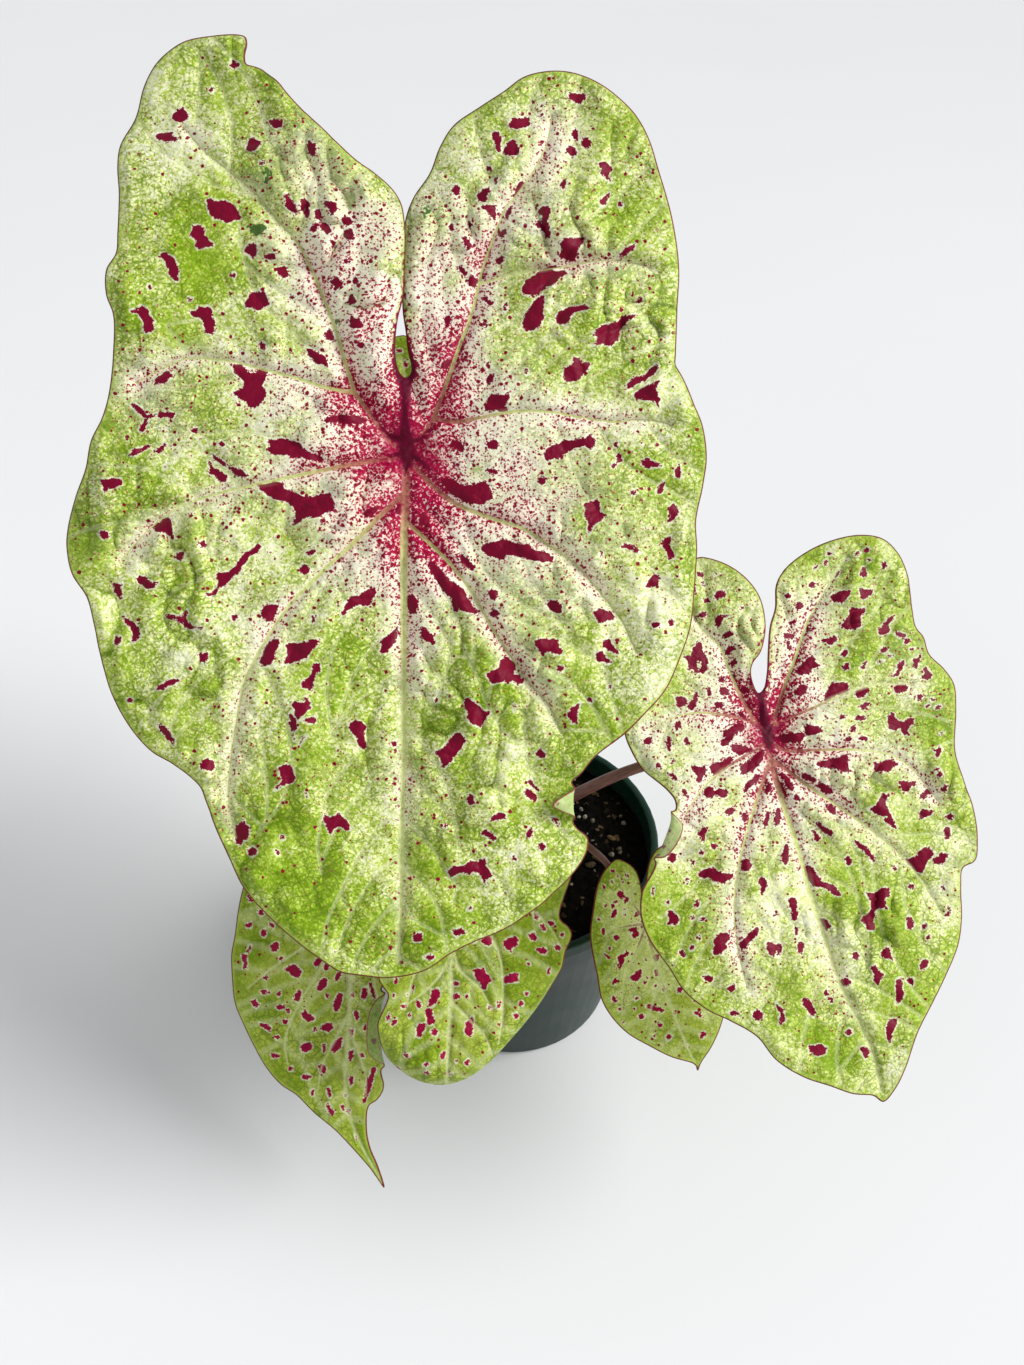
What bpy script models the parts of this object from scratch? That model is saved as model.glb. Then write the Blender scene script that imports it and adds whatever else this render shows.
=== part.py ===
"""A caladium with six leaves in its nursery pot.

Metres, +Z up. The origin is the middle of the pot's underside, and the plant
faces -Y. Each blade is a thin peltate sheet on its own petiole. Its outline is
laid out as it is seen from one point in front of and above the plant, in view
units, and every point is carried along its sight line to the blade's own
curved surface.
"""

import math

import bpy
import bmesh
import numpy as np
from mathutils import Vector
from mathutils.geometry import delaunay_2d_cdt

# ---------------------------------------------------------------- dimensions
GAP = 0.0003                 # left between pieces that touch

RIM_R = 0.0540               # pot, outside of the lip
POT_H = 0.0860
BASE_R = 0.0398
LIP_H = 0.0065               # depth of the lip band
LIP_OUT = 0.0014             # how far the lip stands out from the wall
WALL = 0.0014
FLOOR = 0.0018
DRAINS = 8
DRAIN_R = 0.0036
DRAIN_RING = 0.0285
TURN_STEPS = 56

SOIL_Z = 0.0772              # top of the potting soil at the wall
SOIL_MOUND = 0.0012          # rise towards the crown
WELL_R = 0.0150              # hole in the soil that holds the tuber
WELL_Z = 0.0547
TUBER_TOP = 0.0710
TUBER_FLAT_R = 0.0115

BLADE_T = 0.0009             # blade thickness

EYE = np.array((0.0, -0.252, 0.375))      # point the outlines are seen from
PITCH = math.radians(40.6)                # how far that view looks down
VIEW_F = 1025.0                           # view units in one radian, near the middle
VIEW_X, VIEW_Y = 512.0, 682.5             # middle of the view
FWD = np.array((0.0, math.cos(PITCH), -math.sin(PITCH)))
RIGHT = np.array((1.0, 0.0, 0.0))
UP = np.array((0.0, math.sin(PITCH), math.cos(PITCH)))


# ------------------------------------------------------------------ geometry
def unit(v):
    v = np.asarray(v, float)
    return v / np.linalg.norm(v)


def rays(p):
    """Sight lines through view points, one unit deep."""
    a = (p[:, 0] - VIEW_X) / VIEW_F
    b = (VIEW_Y - p[:, 1]) / VIEW_F
    return FWD + a[:, None] * RIGHT + b[:, None] * UP


def at(x, y, depth):
    """The point at a depth along one sight line."""
    return EYE + depth * rays(np.array([[x, y]], float))[0]


def smooth_loop(points, step):
    """A closed smooth outline through points, resampled evenly."""
    q = np.asarray(points, float)
    n = len(q)
    out = []
    for i in range(n):
        p0, p1, p2, p3 = q[i - 1], q[i], q[(i + 1) % n], q[(i + 2) % n]
        t0 = 0.0
        t1 = t0 + max(np.linalg.norm(p1 - p0), 1e-6) ** 0.5
        t2 = t1 + max(np.linalg.norm(p2 - p1), 1e-6) ** 0.5
        t3 = t2 + max(np.linalg.norm(p3 - p2), 1e-6) ** 0.5
        for k in range(12):
            t = t1 + (t2 - t1) * k / 12
            a1 = (t1 - t) / (t1 - t0) * p0 + (t - t0) / (t1 - t0) * p1
            a2 = (t2 - t) / (t2 - t1) * p1 + (t - t1) / (t2 - t1) * p2
            a3 = (t3 - t) / (t3 - t2) * p2 + (t - t2) / (t3 - t2) * p3
            b1 = (t2 - t) / (t2 - t0) * a1 + (t - t0) / (t2 - t0) * a2
            b2 = (t3 - t) / (t3 - t1) * a2 + (t - t1) / (t3 - t1) * a3
            out.append((t2 - t) / (t2 - t1) * b1 + (t - t1) / (t2 - t1) * b2)
    out = np.array(out)
    closed = np.vstack([out, out[:1]])
    run = np.concatenate([[0], np.cumsum(np.linalg.norm(np.diff(closed, axis=0), axis=1))])
    count = max(int(round(run[-1] / step)), 12)
    s = np.linspace(0, run[-1], count, endpoint=False)
    return np.stack([np.interp(s, run, closed[:, k]) for k in (0, 1)], 1)


def smooth_line(points, count):
    """Points evenly along a smooth open curve through 3-D points."""
    q = np.asarray(points, float)
    q = np.vstack([2 * q[0] - q[1], q, 2 * q[-1] - q[-2]])
    out = []
    for i in range(1, len(q) - 2):
        p0, p1, p2, p3 = q[i - 1], q[i], q[i + 1], q[i + 2]
        for k in range(16):
            t = k / 16
            out.append(0.5 * (2 * p1 + (p2 - p0) * t + (2 * p0 - 5 * p1 + 4 * p2 - p3) * t * t
                              + (3 * p1 - p0 - 3 * p2 + p3) * t ** 3))
    out.append(q[-2])
    out = np.array(out)
    run = np.concatenate([[0], np.cumsum(np.linalg.norm(np.diff(out, axis=0), axis=1))])
    s = np.linspace(0, run[-1], count)
    return np.stack([np.interp(s, run, out[:, k]) for k in range(3)], 1)


def edge_distance(p, loop):
    """Distance from points to a closed outline."""
    a, b = loop, np.roll(loop, -1, 0)
    ab = b - a
    t = ((p[:, None] - a) * ab).sum(2) / np.maximum((ab * ab).sum(1), 1e-12)
    d = p[:, None] - a - np.clip(t, 0, 1)[..., None] * ab
    return np.sqrt((d * d).sum(2)).min(1)


def inside(p, loop):
    a, b = loop, np.roll(loop, -1, 0)
    x, y = p[:, 0:1], p[:, 1:2]
    cross = (a[:, 1] > y) != (b[:, 1] > y)
    xs = (b[:, 0] - a[:, 0]) * (y - a[:, 1]) / np.where(b[:, 1] == a[:, 1], 1e-9, b[:, 1] - a[:, 1]) + a[:, 0]
    return ((cross & (x < xs)).sum(1) % 2) == 1


class Roll:
    """A margin that rolls over a fold. The fold passes through origin, points
    beyond it go round radius by up to turn degrees, towards the viewer for
    sign +1 and away for -1, and then run straight. edge gives how the fold
    line bends back across its width."""

    def __init__(self, origin, out, radius, turn, sign, edge):
        self.o = np.asarray(origin, float)
        self.t = unit(out)
        self.w = np.array((-self.t[1], self.t[0]))
        self.r, self.a, self.sign, self.edge = radius, math.radians(turn), sign, edge

    def pattern(self, w, s):
        """The flat pattern point at w across the fold and s beyond it."""
        return self.o + w * self.w + (self.edge(w) + s) * self.t

    def __call__(self, p):
        q = p - self.o
        w = q @ self.w
        s = q @ self.t - self.edge(w)
        s1 = self.r * self.a
        sc = np.clip(s, 0, s1) / self.r
        over = np.maximum(s - s1, 0)
        x = self.r * np.sin(sc) + over * math.cos(self.a)
        z = self.r * (1 - np.cos(sc)) + over * math.sin(self.a)
        on = s > 0
        moved = p + np.where(on, x - s, 0)[:, None] * self.t
        return moved, np.where(on, z, 0) * self.sign


class Blade:
    """One blade: its flat outline, where it joins the petiole, and its shape.

    sag_tip and sag_lobe bend it back along the midrib, sag_side across it, fold
    creases it along the midrib, cup sinks it round the petiole and twist turns
    one side forward. wave is the height of the ruffles along the margin.
    """

    def __init__(self, join, depth, normal, tip, outline, sag_tip=0.0, sag_lobe=0.0,
                 sag_side=0.0, fold=0.0, cup=0.0, twist=0.0, wave=0.0, waves=(7, 0.4),
                 rolls=(), lift=None):
        self.join = np.asarray(join, float)
        self.j = at(join[0], join[1], depth)
        self.depth = depth
        self.n = unit(normal)
        self.nj = self.n @ (self.j - EYE)
        tip3 = self.on_plane(np.array([tip], float))[0]
        self.ey = unit(tip3 - self.j)
        self.ex = np.cross(self.ey, self.n)
        self.outline = outline
        self.loop = smooth_loop(outline, 8.0)
        self.shape = (sag_tip, sag_lobe, sag_side, fold, cup, twist)
        self.wave, self.waves = wave, waves
        self.rolls, self.lift = rolls, lift

    def on_plane(self, p, h=0.0):
        r = rays(p)
        return EYE + r * ((self.nj + h) / (r @ self.n))[:, None]

    def height(self, p):
        """How far the blade stands off its plane at pattern points."""
        sag_tip, sag_lobe, sag_side, fold, cup, twist = self.shape
        q = self.on_plane(p) - self.j
        x, y = q @ self.ex, q @ self.ey
        h = -np.where(y > 0, sag_tip, sag_lobe) * y * y - sag_side * x * x
        h = h + fold * (np.sqrt(x * x + 0.006 ** 2) - 0.006) * 1.0 + twist * x * y
        h = h - cup * np.exp(-(x * x + y * y) / 0.016 ** 2)
        if self.wave:
            e = edge_distance(p, self.loop) * self.depth / VIEW_F
            g = np.arctan2(x, y)
            k, start = self.waves
            ripple = np.sin(k * g + start) + 0.6 * np.sin((2 * k - 3) * g + 2.1 + start)
            h = h + self.wave * ripple * np.exp(-e / 0.011) * (1 - np.exp(-(x * x + y * y) / 0.02 ** 2))
        return h

    def surface(self, p):
        """Carries flat pattern points to the blade in space."""
        p = np.asarray(p, float)
        h = self.height(p)
        moved, up = p, np.zeros(len(p))
        for roll in self.rolls:
            m, z = roll(p)
            moved = moved + (m - p)
            up = up + z
        if self.lift:
            dx, z = self.lift(p)
            moved = moved + np.stack([dx, 0 * dx], 1)
            h = h + z
        return self.on_plane(moved, h + up * self.depth / VIEW_F)

    def socket(self):
        """The point and direction in which the petiole meets the underside."""
        c = np.array([self.join, self.join + (3, 0), self.join + (0, 3)])
        a, b, d = self.surface(c)
        n = unit(np.cross(b - a, a - d))
        if n @ self.n < 0:
            n = -n
        return a - n * (BLADE_T / 2 + GAP), n


# ------------------------------------------------------------------- outlines
# Each runs clockwise as it is seen, from the top of the left lobe.
def quartic(w0, c):
    return lambda w: c * (w / w0) ** 4


ROLL_A = Roll((566, 803), (1, 0), 6.5, 150, 1, quartic(20, 8))
OUT_A = [
    (186, 41), (212, 36), (232, 34.5), (246, 37), (247, 46), (245, 57), (249, 65),
    (262, 69.5), (278, 81.5), (300, 107), (321, 126.6), (355, 159), (374, 173),
    (388, 188), (395, 205), (398, 228), (398, 258), (397, 285), (396.5, 302), (395, 316),
    (395, 335), (395, 352), (396.5, 364), (400, 373.5), (405.5, 378), (410.5, 374), (411.4, 366),
    (409.3, 356.7), (407.2, 346), (406, 335), (404.4, 324), (402.8, 313), (402.4, 302), (402.8, 281),
    (403.6, 254), (405, 222), (413.4, 198), (429.5, 174), (440, 147), (453.6, 125.7), (480, 107),
    (504.5, 91), (523, 77.5), (544.7, 71.6), (569, 72), (593, 80), (614, 93.6), (635.7, 115),
    (649, 139), (660, 174), (670.6, 211), (677.3, 249), (679, 273), (677.3, 308), (675.7, 355),
    (676.7, 367.5), (684, 380), (694, 404), (702.7, 426), (706.7, 458), (703, 486), (696, 522),
    (697, 547), (694, 594), (690.7, 626), (680, 658), (665.7, 690), (644, 715), (626, 733),
    (594, 758), (581, 774), (572, 782),
] + [tuple(ROLL_A.pattern(w, s)) for w, s in (
    (-18.5, 1), (-16.3, 9), (-14, 19), (-9, 28), (-3, 34), (3, 36.5), (9, 31), (13.5, 22),
    (16, 10), (18.5, 1.5))] + [
    (577, 828), (586.4, 835.6), (588.4, 840), (587, 851), (579.5, 865), (569, 878),
    (541, 904.5), (512, 925), (475, 941.6), (449.6, 954.4), (426.6, 969.7), (406, 976),
    (383, 978), (363, 976), (340, 972), (317, 957), (296.5, 941.6), (271, 918.7), (243, 887),
    (230, 860), (215.4, 828), (206, 801.6), (199, 785.6), (175, 765.5), (151, 751),
    (129.6, 726.6), (112, 694.5), (100, 654), (93.5, 622), (87, 598), (72, 574), (66.7, 547),
    (68, 528), (76, 496), (85.4, 469.5), (91, 441), (102, 418), (109, 393), (113.3, 351),
    (113.3, 315), (106.3, 295), (106.3, 270), (116, 253), (117.5, 233), (119, 194),
    (117.5, 166), (120.3, 146), (135.8, 118), (144, 87), (155.4, 65), (169.4, 51),
]


def lap_a(p):
    """The left lobe laps a little over the right one where they meet."""
    x, y = p[:, 0], p[:, 1]
    left = (x < 400.5) & (y < 376)
    win = np.clip((y - 165) / 45, 0, 1) * np.clip((345 - y) / 60, 0, 1)
    win = win * win * (3 - 2 * win) * np.exp(-((x - 400) / 55.0) ** 2)
    return np.where(left, 7.0 * win, 0), np.where(left, 0.0024 * win, 0)


ROLL_B = Roll((672.6, 839.1), (-0.935, -0.355), 6.5, 150, 1, quartic(29, 8))
OUT_B = [
    (696, 558), (684, 563), (668, 577), (655, 598), (642, 625), (632, 655), (626, 690),
    (623, 715), (625, 736), (630.6, 750), (642, 769), (666.7, 790), (675, 801),
][::-1] + [
    (703, 557), (726, 564), (745, 577), (759.5, 596.5), (765, 619.5), (764.5, 637),
    (760, 653), (753, 663), (751, 672), (753, 683), (758.5, 693), (763.5, 689), (767, 673), (768, 650),
    (770, 626), (775, 608), (776, 585), (784, 570), (803, 554), (830, 541), (860, 535),
    (883, 539), (898.5, 554), (908, 577), (912, 608), (915.7, 627), (923.4, 637), (929, 654),
    (944, 669), (954, 684.6), (956, 711), (955, 750), (963.6, 780), (973, 807), (977.7, 837.6),
    (975, 860.6), (963, 868), (961, 887), (961.7, 918), (958, 945), (946, 975), (933, 1002),
    (917.6, 1033), (906, 1067), (894.7, 1090), (883, 1102), (873.6, 1096), (852.6, 1094),
    (829.6, 1086), (803, 1077), (776, 1060), (757, 1037), (730, 1021), (707, 1010),
    (684, 991), (669, 968), (650, 941), (641, 918), (641, 895), (645, 884), (650, 876),
] + [tuple(ROLL_B.pattern(w, s)) for w, s in (
    (-28, 1), (-25, 9), (-21, 20), (-12, 25), (0, 28), (9, 28.5), (17, 27), (22.5, 19),
    (25.5, 9), (28, 1))]

ROLL_C = Roll((374, 1030), (1, 0), 6.5, 150, 1, quartic(42, 8))
OUT_C = [
    (243, 888), (250, 868), (266, 850), (288, 842), (310, 848), (328, 864), (342, 884), (351, 895),
    (357, 890), (364, 872), (376, 861), (388, 866), (395, 885), (395, 915), (391, 948), (386, 975),
    (383.5, 985),
] + [tuple(ROLL_C.pattern(w, s)) for w, s in (
    (-40, 1), (-37, 9), (-33, 18), (-22, 25), (-8, 28.4), (10, 29.5), (25, 27.2), (32, 19),
    (36, 9), (40, 1))] + [
    (384, 1084), (383, 1091), (377, 1100), (369, 1106), (367, 1130), (370.5, 1148), (378, 1166), (384.5, 1188),
    (370.5, 1169), (355, 1151), (335, 1130), (314, 1112.5), (296.5, 1095), (281, 1084.5),
    (266, 1067), (253, 1044), (243, 1023), (235, 1003), (232, 975), (231.5, 954), (235, 934),
    (238, 911),
]


def back_d(w):
    a = np.abs(w)
    return np.where(a < 60, -0.0094 * a * a, -33.8 - 1.13 * (a - 60))


ROLL_D = Roll((440, 1059), (0, 1), 25, 112, -1, back_d)
OUT_D = [
    (571, 878), (564, 898), (560, 918), (569, 927), (572, 934), (570, 942), (566, 951), (563, 965),
] + [tuple(ROLL_D.pattern(w, s)) for w, s in (
    (-121, 14), (-112, 20), (-101, 28), (-81, 42), (-60, 58), (-40, 76), (-26, 92), (-16, 112),
    (-7, 100), (8, 86), (22, 70), (36, 52), (48, 38), (57, 24), (61, 13))] + [
    (377.4, 1024), (381, 1014), (386, 1003), (388, 995), (384, 988.6), (378.5, 979), (381, 958),
    (387, 932), (391, 905), (394, 878), (399, 858), (408, 845), (422, 842), (436, 850),
    (448, 862), (457, 871), (466, 866), (480, 855), (496, 842), (514, 832), (534, 829),
    (552, 834), (566, 846), (572, 862),
]

OUT_E = [
    (616.6, 859), (626, 862), (633, 867), (637.5, 874), (640.5, 884), (642.5, 897), (644.5, 905),
    (646.5, 897), (646, 884), (647, 872), (650, 860), (656, 850), (664, 845), (676, 846), (688, 854), (700, 870),
    (710, 894), (718, 925), (724, 960), (727, 992), (722, 1022), (712, 1046), (701, 1063),
    (697.5, 1071), (695, 1065), (671, 1057), (649, 1046), (627, 1033), (610, 1015), (601, 998),
    (597, 976), (593, 957), (590, 935), (593, 909), (598, 883), (606, 868),
]

OUT_F = [
    (398, 336), (407, 336), (417, 348), (424, 372), (427, 400), (426, 428), (427, 446),
    (431, 430), (436, 402), (445, 375), (460, 355), (480, 352), (499, 366), (512, 394),
    (520, 430), (520, 472), (514, 520), (502, 566), (484, 612), (460, 654), (438, 690),
    (414, 662), (388, 626), (362, 584), (341, 536), (330, 486), (332, 440), (343, 400),
    (360, 366), (379, 345),
]

BLADES = {
    "a": Blade((407, 450), 0.280, (0.0, -0.64, 0.77), (398, 976), OUT_A,
               sag_tip=0.85, sag_lobe=0.75, sag_side=1.9, fold=0.13, cup=0.0035,
               twist=0.25, wave=0.0022, waves=(7, 0.4), rolls=(ROLL_A,), lift=lap_a),
    "b": Blade((768, 738), 0.300, (0.16, -0.60, 0.78), (883, 1100), OUT_B,
               sag_tip=1.2, sag_lobe=0.9, sag_side=2.4, fold=0.12, cup=0.0028,
               twist=-0.3, wave=0.0018, waves=(6, 1.1), rolls=(ROLL_B,)),
    "c": Blade((356, 908), 0.322, (-0.16, -0.76, 0.63), (384, 1186), OUT_C,
               sag_tip=1.4, sag_lobe=1.0, sag_side=4.0, fold=0.16, cup=0.0015,
               twist=0.0, wave=0.0010, waves=(5, 0.2), rolls=(ROLL_C,)),
    "d": Blade((457, 886), 0.305, (0.05, -0.62, 0.78), (447, 1072), OUT_D,
               sag_tip=0.6, sag_lobe=1.0, sag_side=3.2, fold=0.14, cup=0.0015,
               twist=0.0, wave=0.0010, waves=(5, 1.9), rolls=(ROLL_D,)),
    "e": Blade((646, 924), 0.330, (0.24, -0.60, 0.76), (697.5, 1069), OUT_E,
               sag_tip=1.6, sag_lobe=1.2, sag_side=4.0, fold=0.15, cup=0.0012,
               twist=0.0, wave=0.0007, waves=(5, 0.9)),
    "f": Blade((427, 470), 0.365, (0.05, -0.80, 0.60), (438, 688), OUT_F,
               sag_tip=0.8, sag_lobe=1.0, sag_side=2.6, fold=0.15, cup=0.0020,
               twist=0.2, wave=0.0012, waves=(6, 2.4)),
}

# name: (base on the crown x, y; base radius; tip radius; way points; how far
# behind the blade the petiole turns towards its underside)
PETIOLES = {
    "a": ((-0.0066, 0.0026), 0.0033, 0.0021,
          [(-0.0072, 0.0048, 0.100), (-0.0118, 0.0100, 0.145), (-0.0182, 0.0160, 0.185),
           (-0.0246, 0.0178, 0.213)], 0.012),
    "b": ((0.0038, 0.0008), 0.0028, 0.0016,
          [(0.0075, -0.0045, 0.097), tuple(at(575, 795, 0.345)), tuple(at(640, 767, 0.327)),
           (0.0640, -0.0240, 0.1520)], 0.007),
    "c": ((-0.0052, -0.0062), 0.0019, 0.0012,
          [(-0.0100, -0.0130, 0.098), (-0.0250, -0.0280, 0.1165), (-0.0400, -0.0410, 0.1145)], 0.0045),
    "d": ((0.0004, -0.0058), 0.0019, 0.0012,
          [(-0.0010, -0.0140, 0.100), (-0.0075, -0.0330, 0.1200), (-0.0140, -0.0480, 0.1250)], 0.0045),
    "e": ((0.0064, -0.0050), 0.0017, 0.0011,
          [(0.0100, -0.0105, 0.096), (0.0165, -0.0210, 0.113), tuple(at(590, 848, 0.335)),
           tuple(at(607, 864, 0.338)), (0.0375, -0.0420, 0.1010)], 0.004),
    "f": ((-0.0010, 0.0085), 0.0021, 0.0013,
          [(-0.0030, 0.0200, 0.102), (-0.0120, 0.0460, 0.142), (-0.0220, 0.0690, 0.170)], 0.007),
}

BLADE_STEP = {"a": (12.0, 37.0), "b": (11.0, 31.0), "c": (8.5, 20.0), "d": (8.5, 20.0),
              "e": (9.0, 22.0), "f": (12.0, 30.0)}
BLADE_COLOUR = {"a": (0.42, 0.58, 0.17), "b": (0.42, 0.58, 0.17), "c": (0.28, 0.47, 0.09),
                "d": (0.30, 0.50, 0.10), "e": (0.27, 0.47, 0.08), "f": (0.24, 0.45, 0.07)}


# ----------------------------------------------------------------- the scene
for old in list(bpy.data.objects):
    bpy.data.objects.remove(old, do_unlink=True)

plant = bpy.data.collections.new("potted_caladium")
cutters = bpy.data.collections.new("cutters")
bpy.context.scene.collection.children.link(plant)
bpy.context.scene.collection.children.link(cutters)


def material(name, colour, roughness, metallic=0.0):
    m = bpy.data.materials.new(name)
    m.use_nodes = True
    p = m.node_tree.nodes["Principled BSDF"]
    p.inputs["Base Color"].default_value = (*colour, 1)
    p.inputs["Roughness"].default_value = roughness
    p.inputs["Metallic"].default_value = metallic
    m.diffuse_color = (*colour, 1)
    return m


def add(name, data, mat, collection=plant):
    ob = bpy.data.objects.new(name, data)
    data.materials.append(mat)
    collection.objects.link(ob)
    return ob


def turned(name, profile, mat, steps=TURN_STEPS):
    """A solid of revolution. The profile runs down its outer side and ends on the axis."""
    me = bpy.data.meshes.new(name)
    me.from_pydata([(r, 0, z) for r, z in profile], [(i, i + 1) for i in range(len(profile) - 1)], [])
    ob = add(name, me, mat)
    s = ob.modifiers.new("turn", "SCREW")
    s.axis = "Z"
    s.angle = math.tau
    s.steps = s.render_steps = steps
    s.use_merge_vertices = True
    s.merge_threshold = 0.00001
    s.use_smooth_shade = True
    return ob


# ----------------------------------------------------------------- the pot
wall_top = POT_H - LIP_H
slope = (RIM_R - LIP_OUT - BASE_R) / wall_top


def wall_r(z):
    return BASE_R + slope * z


inner_top = wall_r(wall_top) - WALL
lip = []
lip_c, lip_w = (RIM_R + inner_top) / 2, (RIM_R - inner_top) / 2
for i in range(7):
    g = math.pi - math.pi * i / 6
    lip.append((lip_c + lip_w * math.cos(g), POT_H - 0.0011 + 0.0011 * math.sin(g)))
pot_profile = (
    [(0, FLOOR), (wall_r(FLOOR) - WALL - 0.0012, FLOOR), (wall_r(FLOOR + 0.0012) - WALL, FLOOR + 0.0012),
     (inner_top, wall_top)]
    + lip
    + [(RIM_R, wall_top + 0.0012), (RIM_R - 0.0005, wall_top + 0.0004), (wall_r(wall_top - 0.0002), wall_top - 0.0002),
       (wall_r(0.0014), 0.0014), (BASE_R - 0.0004, 0.0004), (BASE_R - 0.0013, 0), (0, 0)]
)
pot = turned("pot", pot_profile, material("pot_green", (0.05, 0.09, 0.085), 0.5))

bm = bmesh.new()
for i in range(DRAINS):
    g = math.tau * (i + 0.5) / DRAINS
    made = bmesh.ops.create_cone(bm, cap_ends=True, segments=16, radius1=DRAIN_R, radius2=DRAIN_R, depth=0.010)
    bmesh.ops.translate(bm, verts=made["verts"], vec=(DRAIN_RING * math.cos(g), DRAIN_RING * math.sin(g), 0.0))
drain_mesh = bpy.data.meshes.new("drain_cutter")
bm.to_mesh(drain_mesh)
bm.free()
drain = add("drain_cutter", drain_mesh, pot.data.materials[0], cutters)
drain.hide_render = True
drain.display_type = "WIRE"
cut = pot.modifiers.new("drains", "BOOLEAN")
cut.operation = "DIFFERENCE"
cut.solver = "EXACT"
cut.object = drain

# ------------------------------------------------------- the soil and tuber
soil_bottom = FLOOR + GAP


def soil_r(z):
    return wall_r(z) - WALL - GAP * 1.15


soil_profile = [
    (0, WELL_Z), (WELL_R - 0.001, WELL_Z), (WELL_R, WELL_Z + 0.001),
    (WELL_R, SOIL_Z + SOIL_MOUND - 0.0006), (WELL_R + 0.0007, SOIL_Z + SOIL_MOUND),
    (0.0260, SOIL_Z + SOIL_MOUND * 0.75), (0.0390, SOIL_Z + 0.0002),
    (soil_r(SOIL_Z) - 0.0007, SOIL_Z), (soil_r(SOIL_Z - 0.0008), SOIL_Z - 0.0008),
    (soil_r(FLOOR + 0.0018), FLOOR + 0.0018), (soil_r(FLOOR) - 0.0018, soil_bottom), (0, soil_bottom),
]
turned("potting_soil", soil_profile, material("soil", (0.012, 0.010, 0.009), 0.95))

tuber_profile = [(0, TUBER_TOP), (TUBER_FLAT_R, TUBER_TOP)]
low = WELL_Z + GAP
side_r = WELL_R - 2 * GAP
for i in range(1, 8):
    g = math.pi * i / 8
    tuber_profile.append((TUBER_FLAT_R - 0.0018 + (side_r - TUBER_FLAT_R + 0.0018) * math.sin(g) ** 0.7,
                          (TUBER_TOP + low) / 2 + (TUBER_TOP - low) / 2 * math.cos(g)))
tuber_profile += [(TUBER_FLAT_R - 0.0018, low), (0, low)]
turned("tuber", tuber_profile, material("tuber_skin", (0.20, 0.12, 0.07), 0.85), 28)


# --------------------------------------------------------------- the blades
def blade_mesh(name, blade, edge_step, grid):
    """An open sheet over the outline: margin points, even points inside, and
    closer ones across a rolled margin."""
    loop = smooth_loop(blade.outline, edge_step)
    lo, hi = loop.min(0), loop.max(0)
    rows = []
    j = 0
    y = lo[1] + grid * 0.4
    while y < hi[1]:
        xs = np.arange(lo[0] + (grid / 2 if j % 2 else 0), hi[0], grid)
        rows.append(np.stack([xs, np.full(len(xs), y)], 1))
        y += grid * 0.866
        j += 1
    pts = np.vstack(rows)
    pts = pts[inside(pts, loop)]
    pts = pts[edge_distance(pts, loop) > grid * 0.42]
    for roll in blade.rolls:
        fine = max(roll.r * 0.62, 3.9)
        w = np.arange(-130, 130, fine)
        s = np.arange(-fine, roll.r * roll.a + fine * 1.5, fine)
        ww, ss = np.meshgrid(w, s)
        extra = roll.o + ww.reshape(-1, 1) * roll.w + (roll.edge(ww.ravel()) + ss.ravel())[:, None] * roll.t
        extra = extra[inside(extra, loop)]
        extra = extra[edge_distance(extra, loop) > fine * 0.55]
        if len(extra):
            near = np.sqrt(((pts[:, None] - extra) ** 2).sum(2)).min(1)
            pts = np.vstack([pts[near > fine * 1.3], extra])
    n = len(loop)
    flat = [Vector(v) for v in loop] + [Vector(v) for v in pts]
    verts, _, faces, _, _, _ = delaunay_2d_cdt(flat, [(i, (i + 1) % n) for i in range(n)],
                                                 [list(range(n))], 1, 1e-5)
    q = np.array([(v.x, v.y) for v in verts])
    mid = np.array([q[list(f)].mean(0) for f in faces])
    keep = inside(mid, loop)
    faces = [f for f, k in zip(faces, keep) if k]
    place = blade.surface(q)
    me = bpy.data.meshes.new(name)
    me.from_pydata([tuple(v) for v in place], [], [tuple(f) for f in faces])
    bm = bmesh.new()
    bm.from_mesh(me)
    bmesh.ops.delete(bm, geom=[v for v in bm.verts if not v.link_faces], context="VERTS")
    bmesh.ops.recalc_face_normals(bm, faces=bm.faces)
    near = min(bm.faces, key=lambda f: (f.calc_center_median() - Vector(blade.j)).length)
    if near.normal.dot(Vector(blade.n)) < 0:
        bmesh.ops.reverse_faces(bm, faces=bm.faces)
    bm.to_mesh(me)
    bm.free()
    me.shade_smooth()
    return me


for key, blade in BLADES.items():
    me = blade_mesh("leaf_blade_" + key, blade, *BLADE_STEP[key])
    ob = add("leaf_blade_" + key, me, material("blade_" + key, BLADE_COLOUR[key], 0.45))
    sheet = ob.modifiers.new("thickness", "SOLIDIFY")
    sheet.thickness = BLADE_T
    sheet.offset = 0.0
    sheet.use_even_offset = True
    sheet.thickness_clamp = 0.0

# -------------------------------------------------------------- the petioles
stalk = material("petiole_mauve", (0.17, 0.075, 0.07), 0.5)
for key, ((bx, by), r0, r1, way, turn_in) in PETIOLES.items():
    end, n = BLADES[key].socket()
    route = [(bx, by, TUBER_TOP + GAP), (bx, by, TUBER_TOP + GAP + 0.005), *way,
             tuple(end - n * turn_in), tuple(end)]
    line = smooth_line(route, 22)
    cu = bpy.data.curves.new("petiole_" + key, "CURVE")
    cu.dimensions = "3D"
    cu.twist_mode = "MINIMUM"
    cu.bevel_depth = r0
    cu.bevel_resolution = 2
    cu.use_fill_caps = True
    sp = cu.splines.new("POLY")
    sp.points.add(len(line) - 1)
    for i, p in enumerate(line):
        f = i / (len(line) - 1)
        sp.points[i].co = (*p, 1)
        sp.points[i].radius = (r0 + (r1 - r0) * min(1.0, f * 1.25) ** 0.8) / r0
    sp.use_smooth = True
    add("petiole_" + key, cu, stalk)
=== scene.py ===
import math

import bpy
import bmesh
import numpy as np
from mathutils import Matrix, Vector, kdtree
from mathutils.geometry import delaunay_2d_cdt


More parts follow.
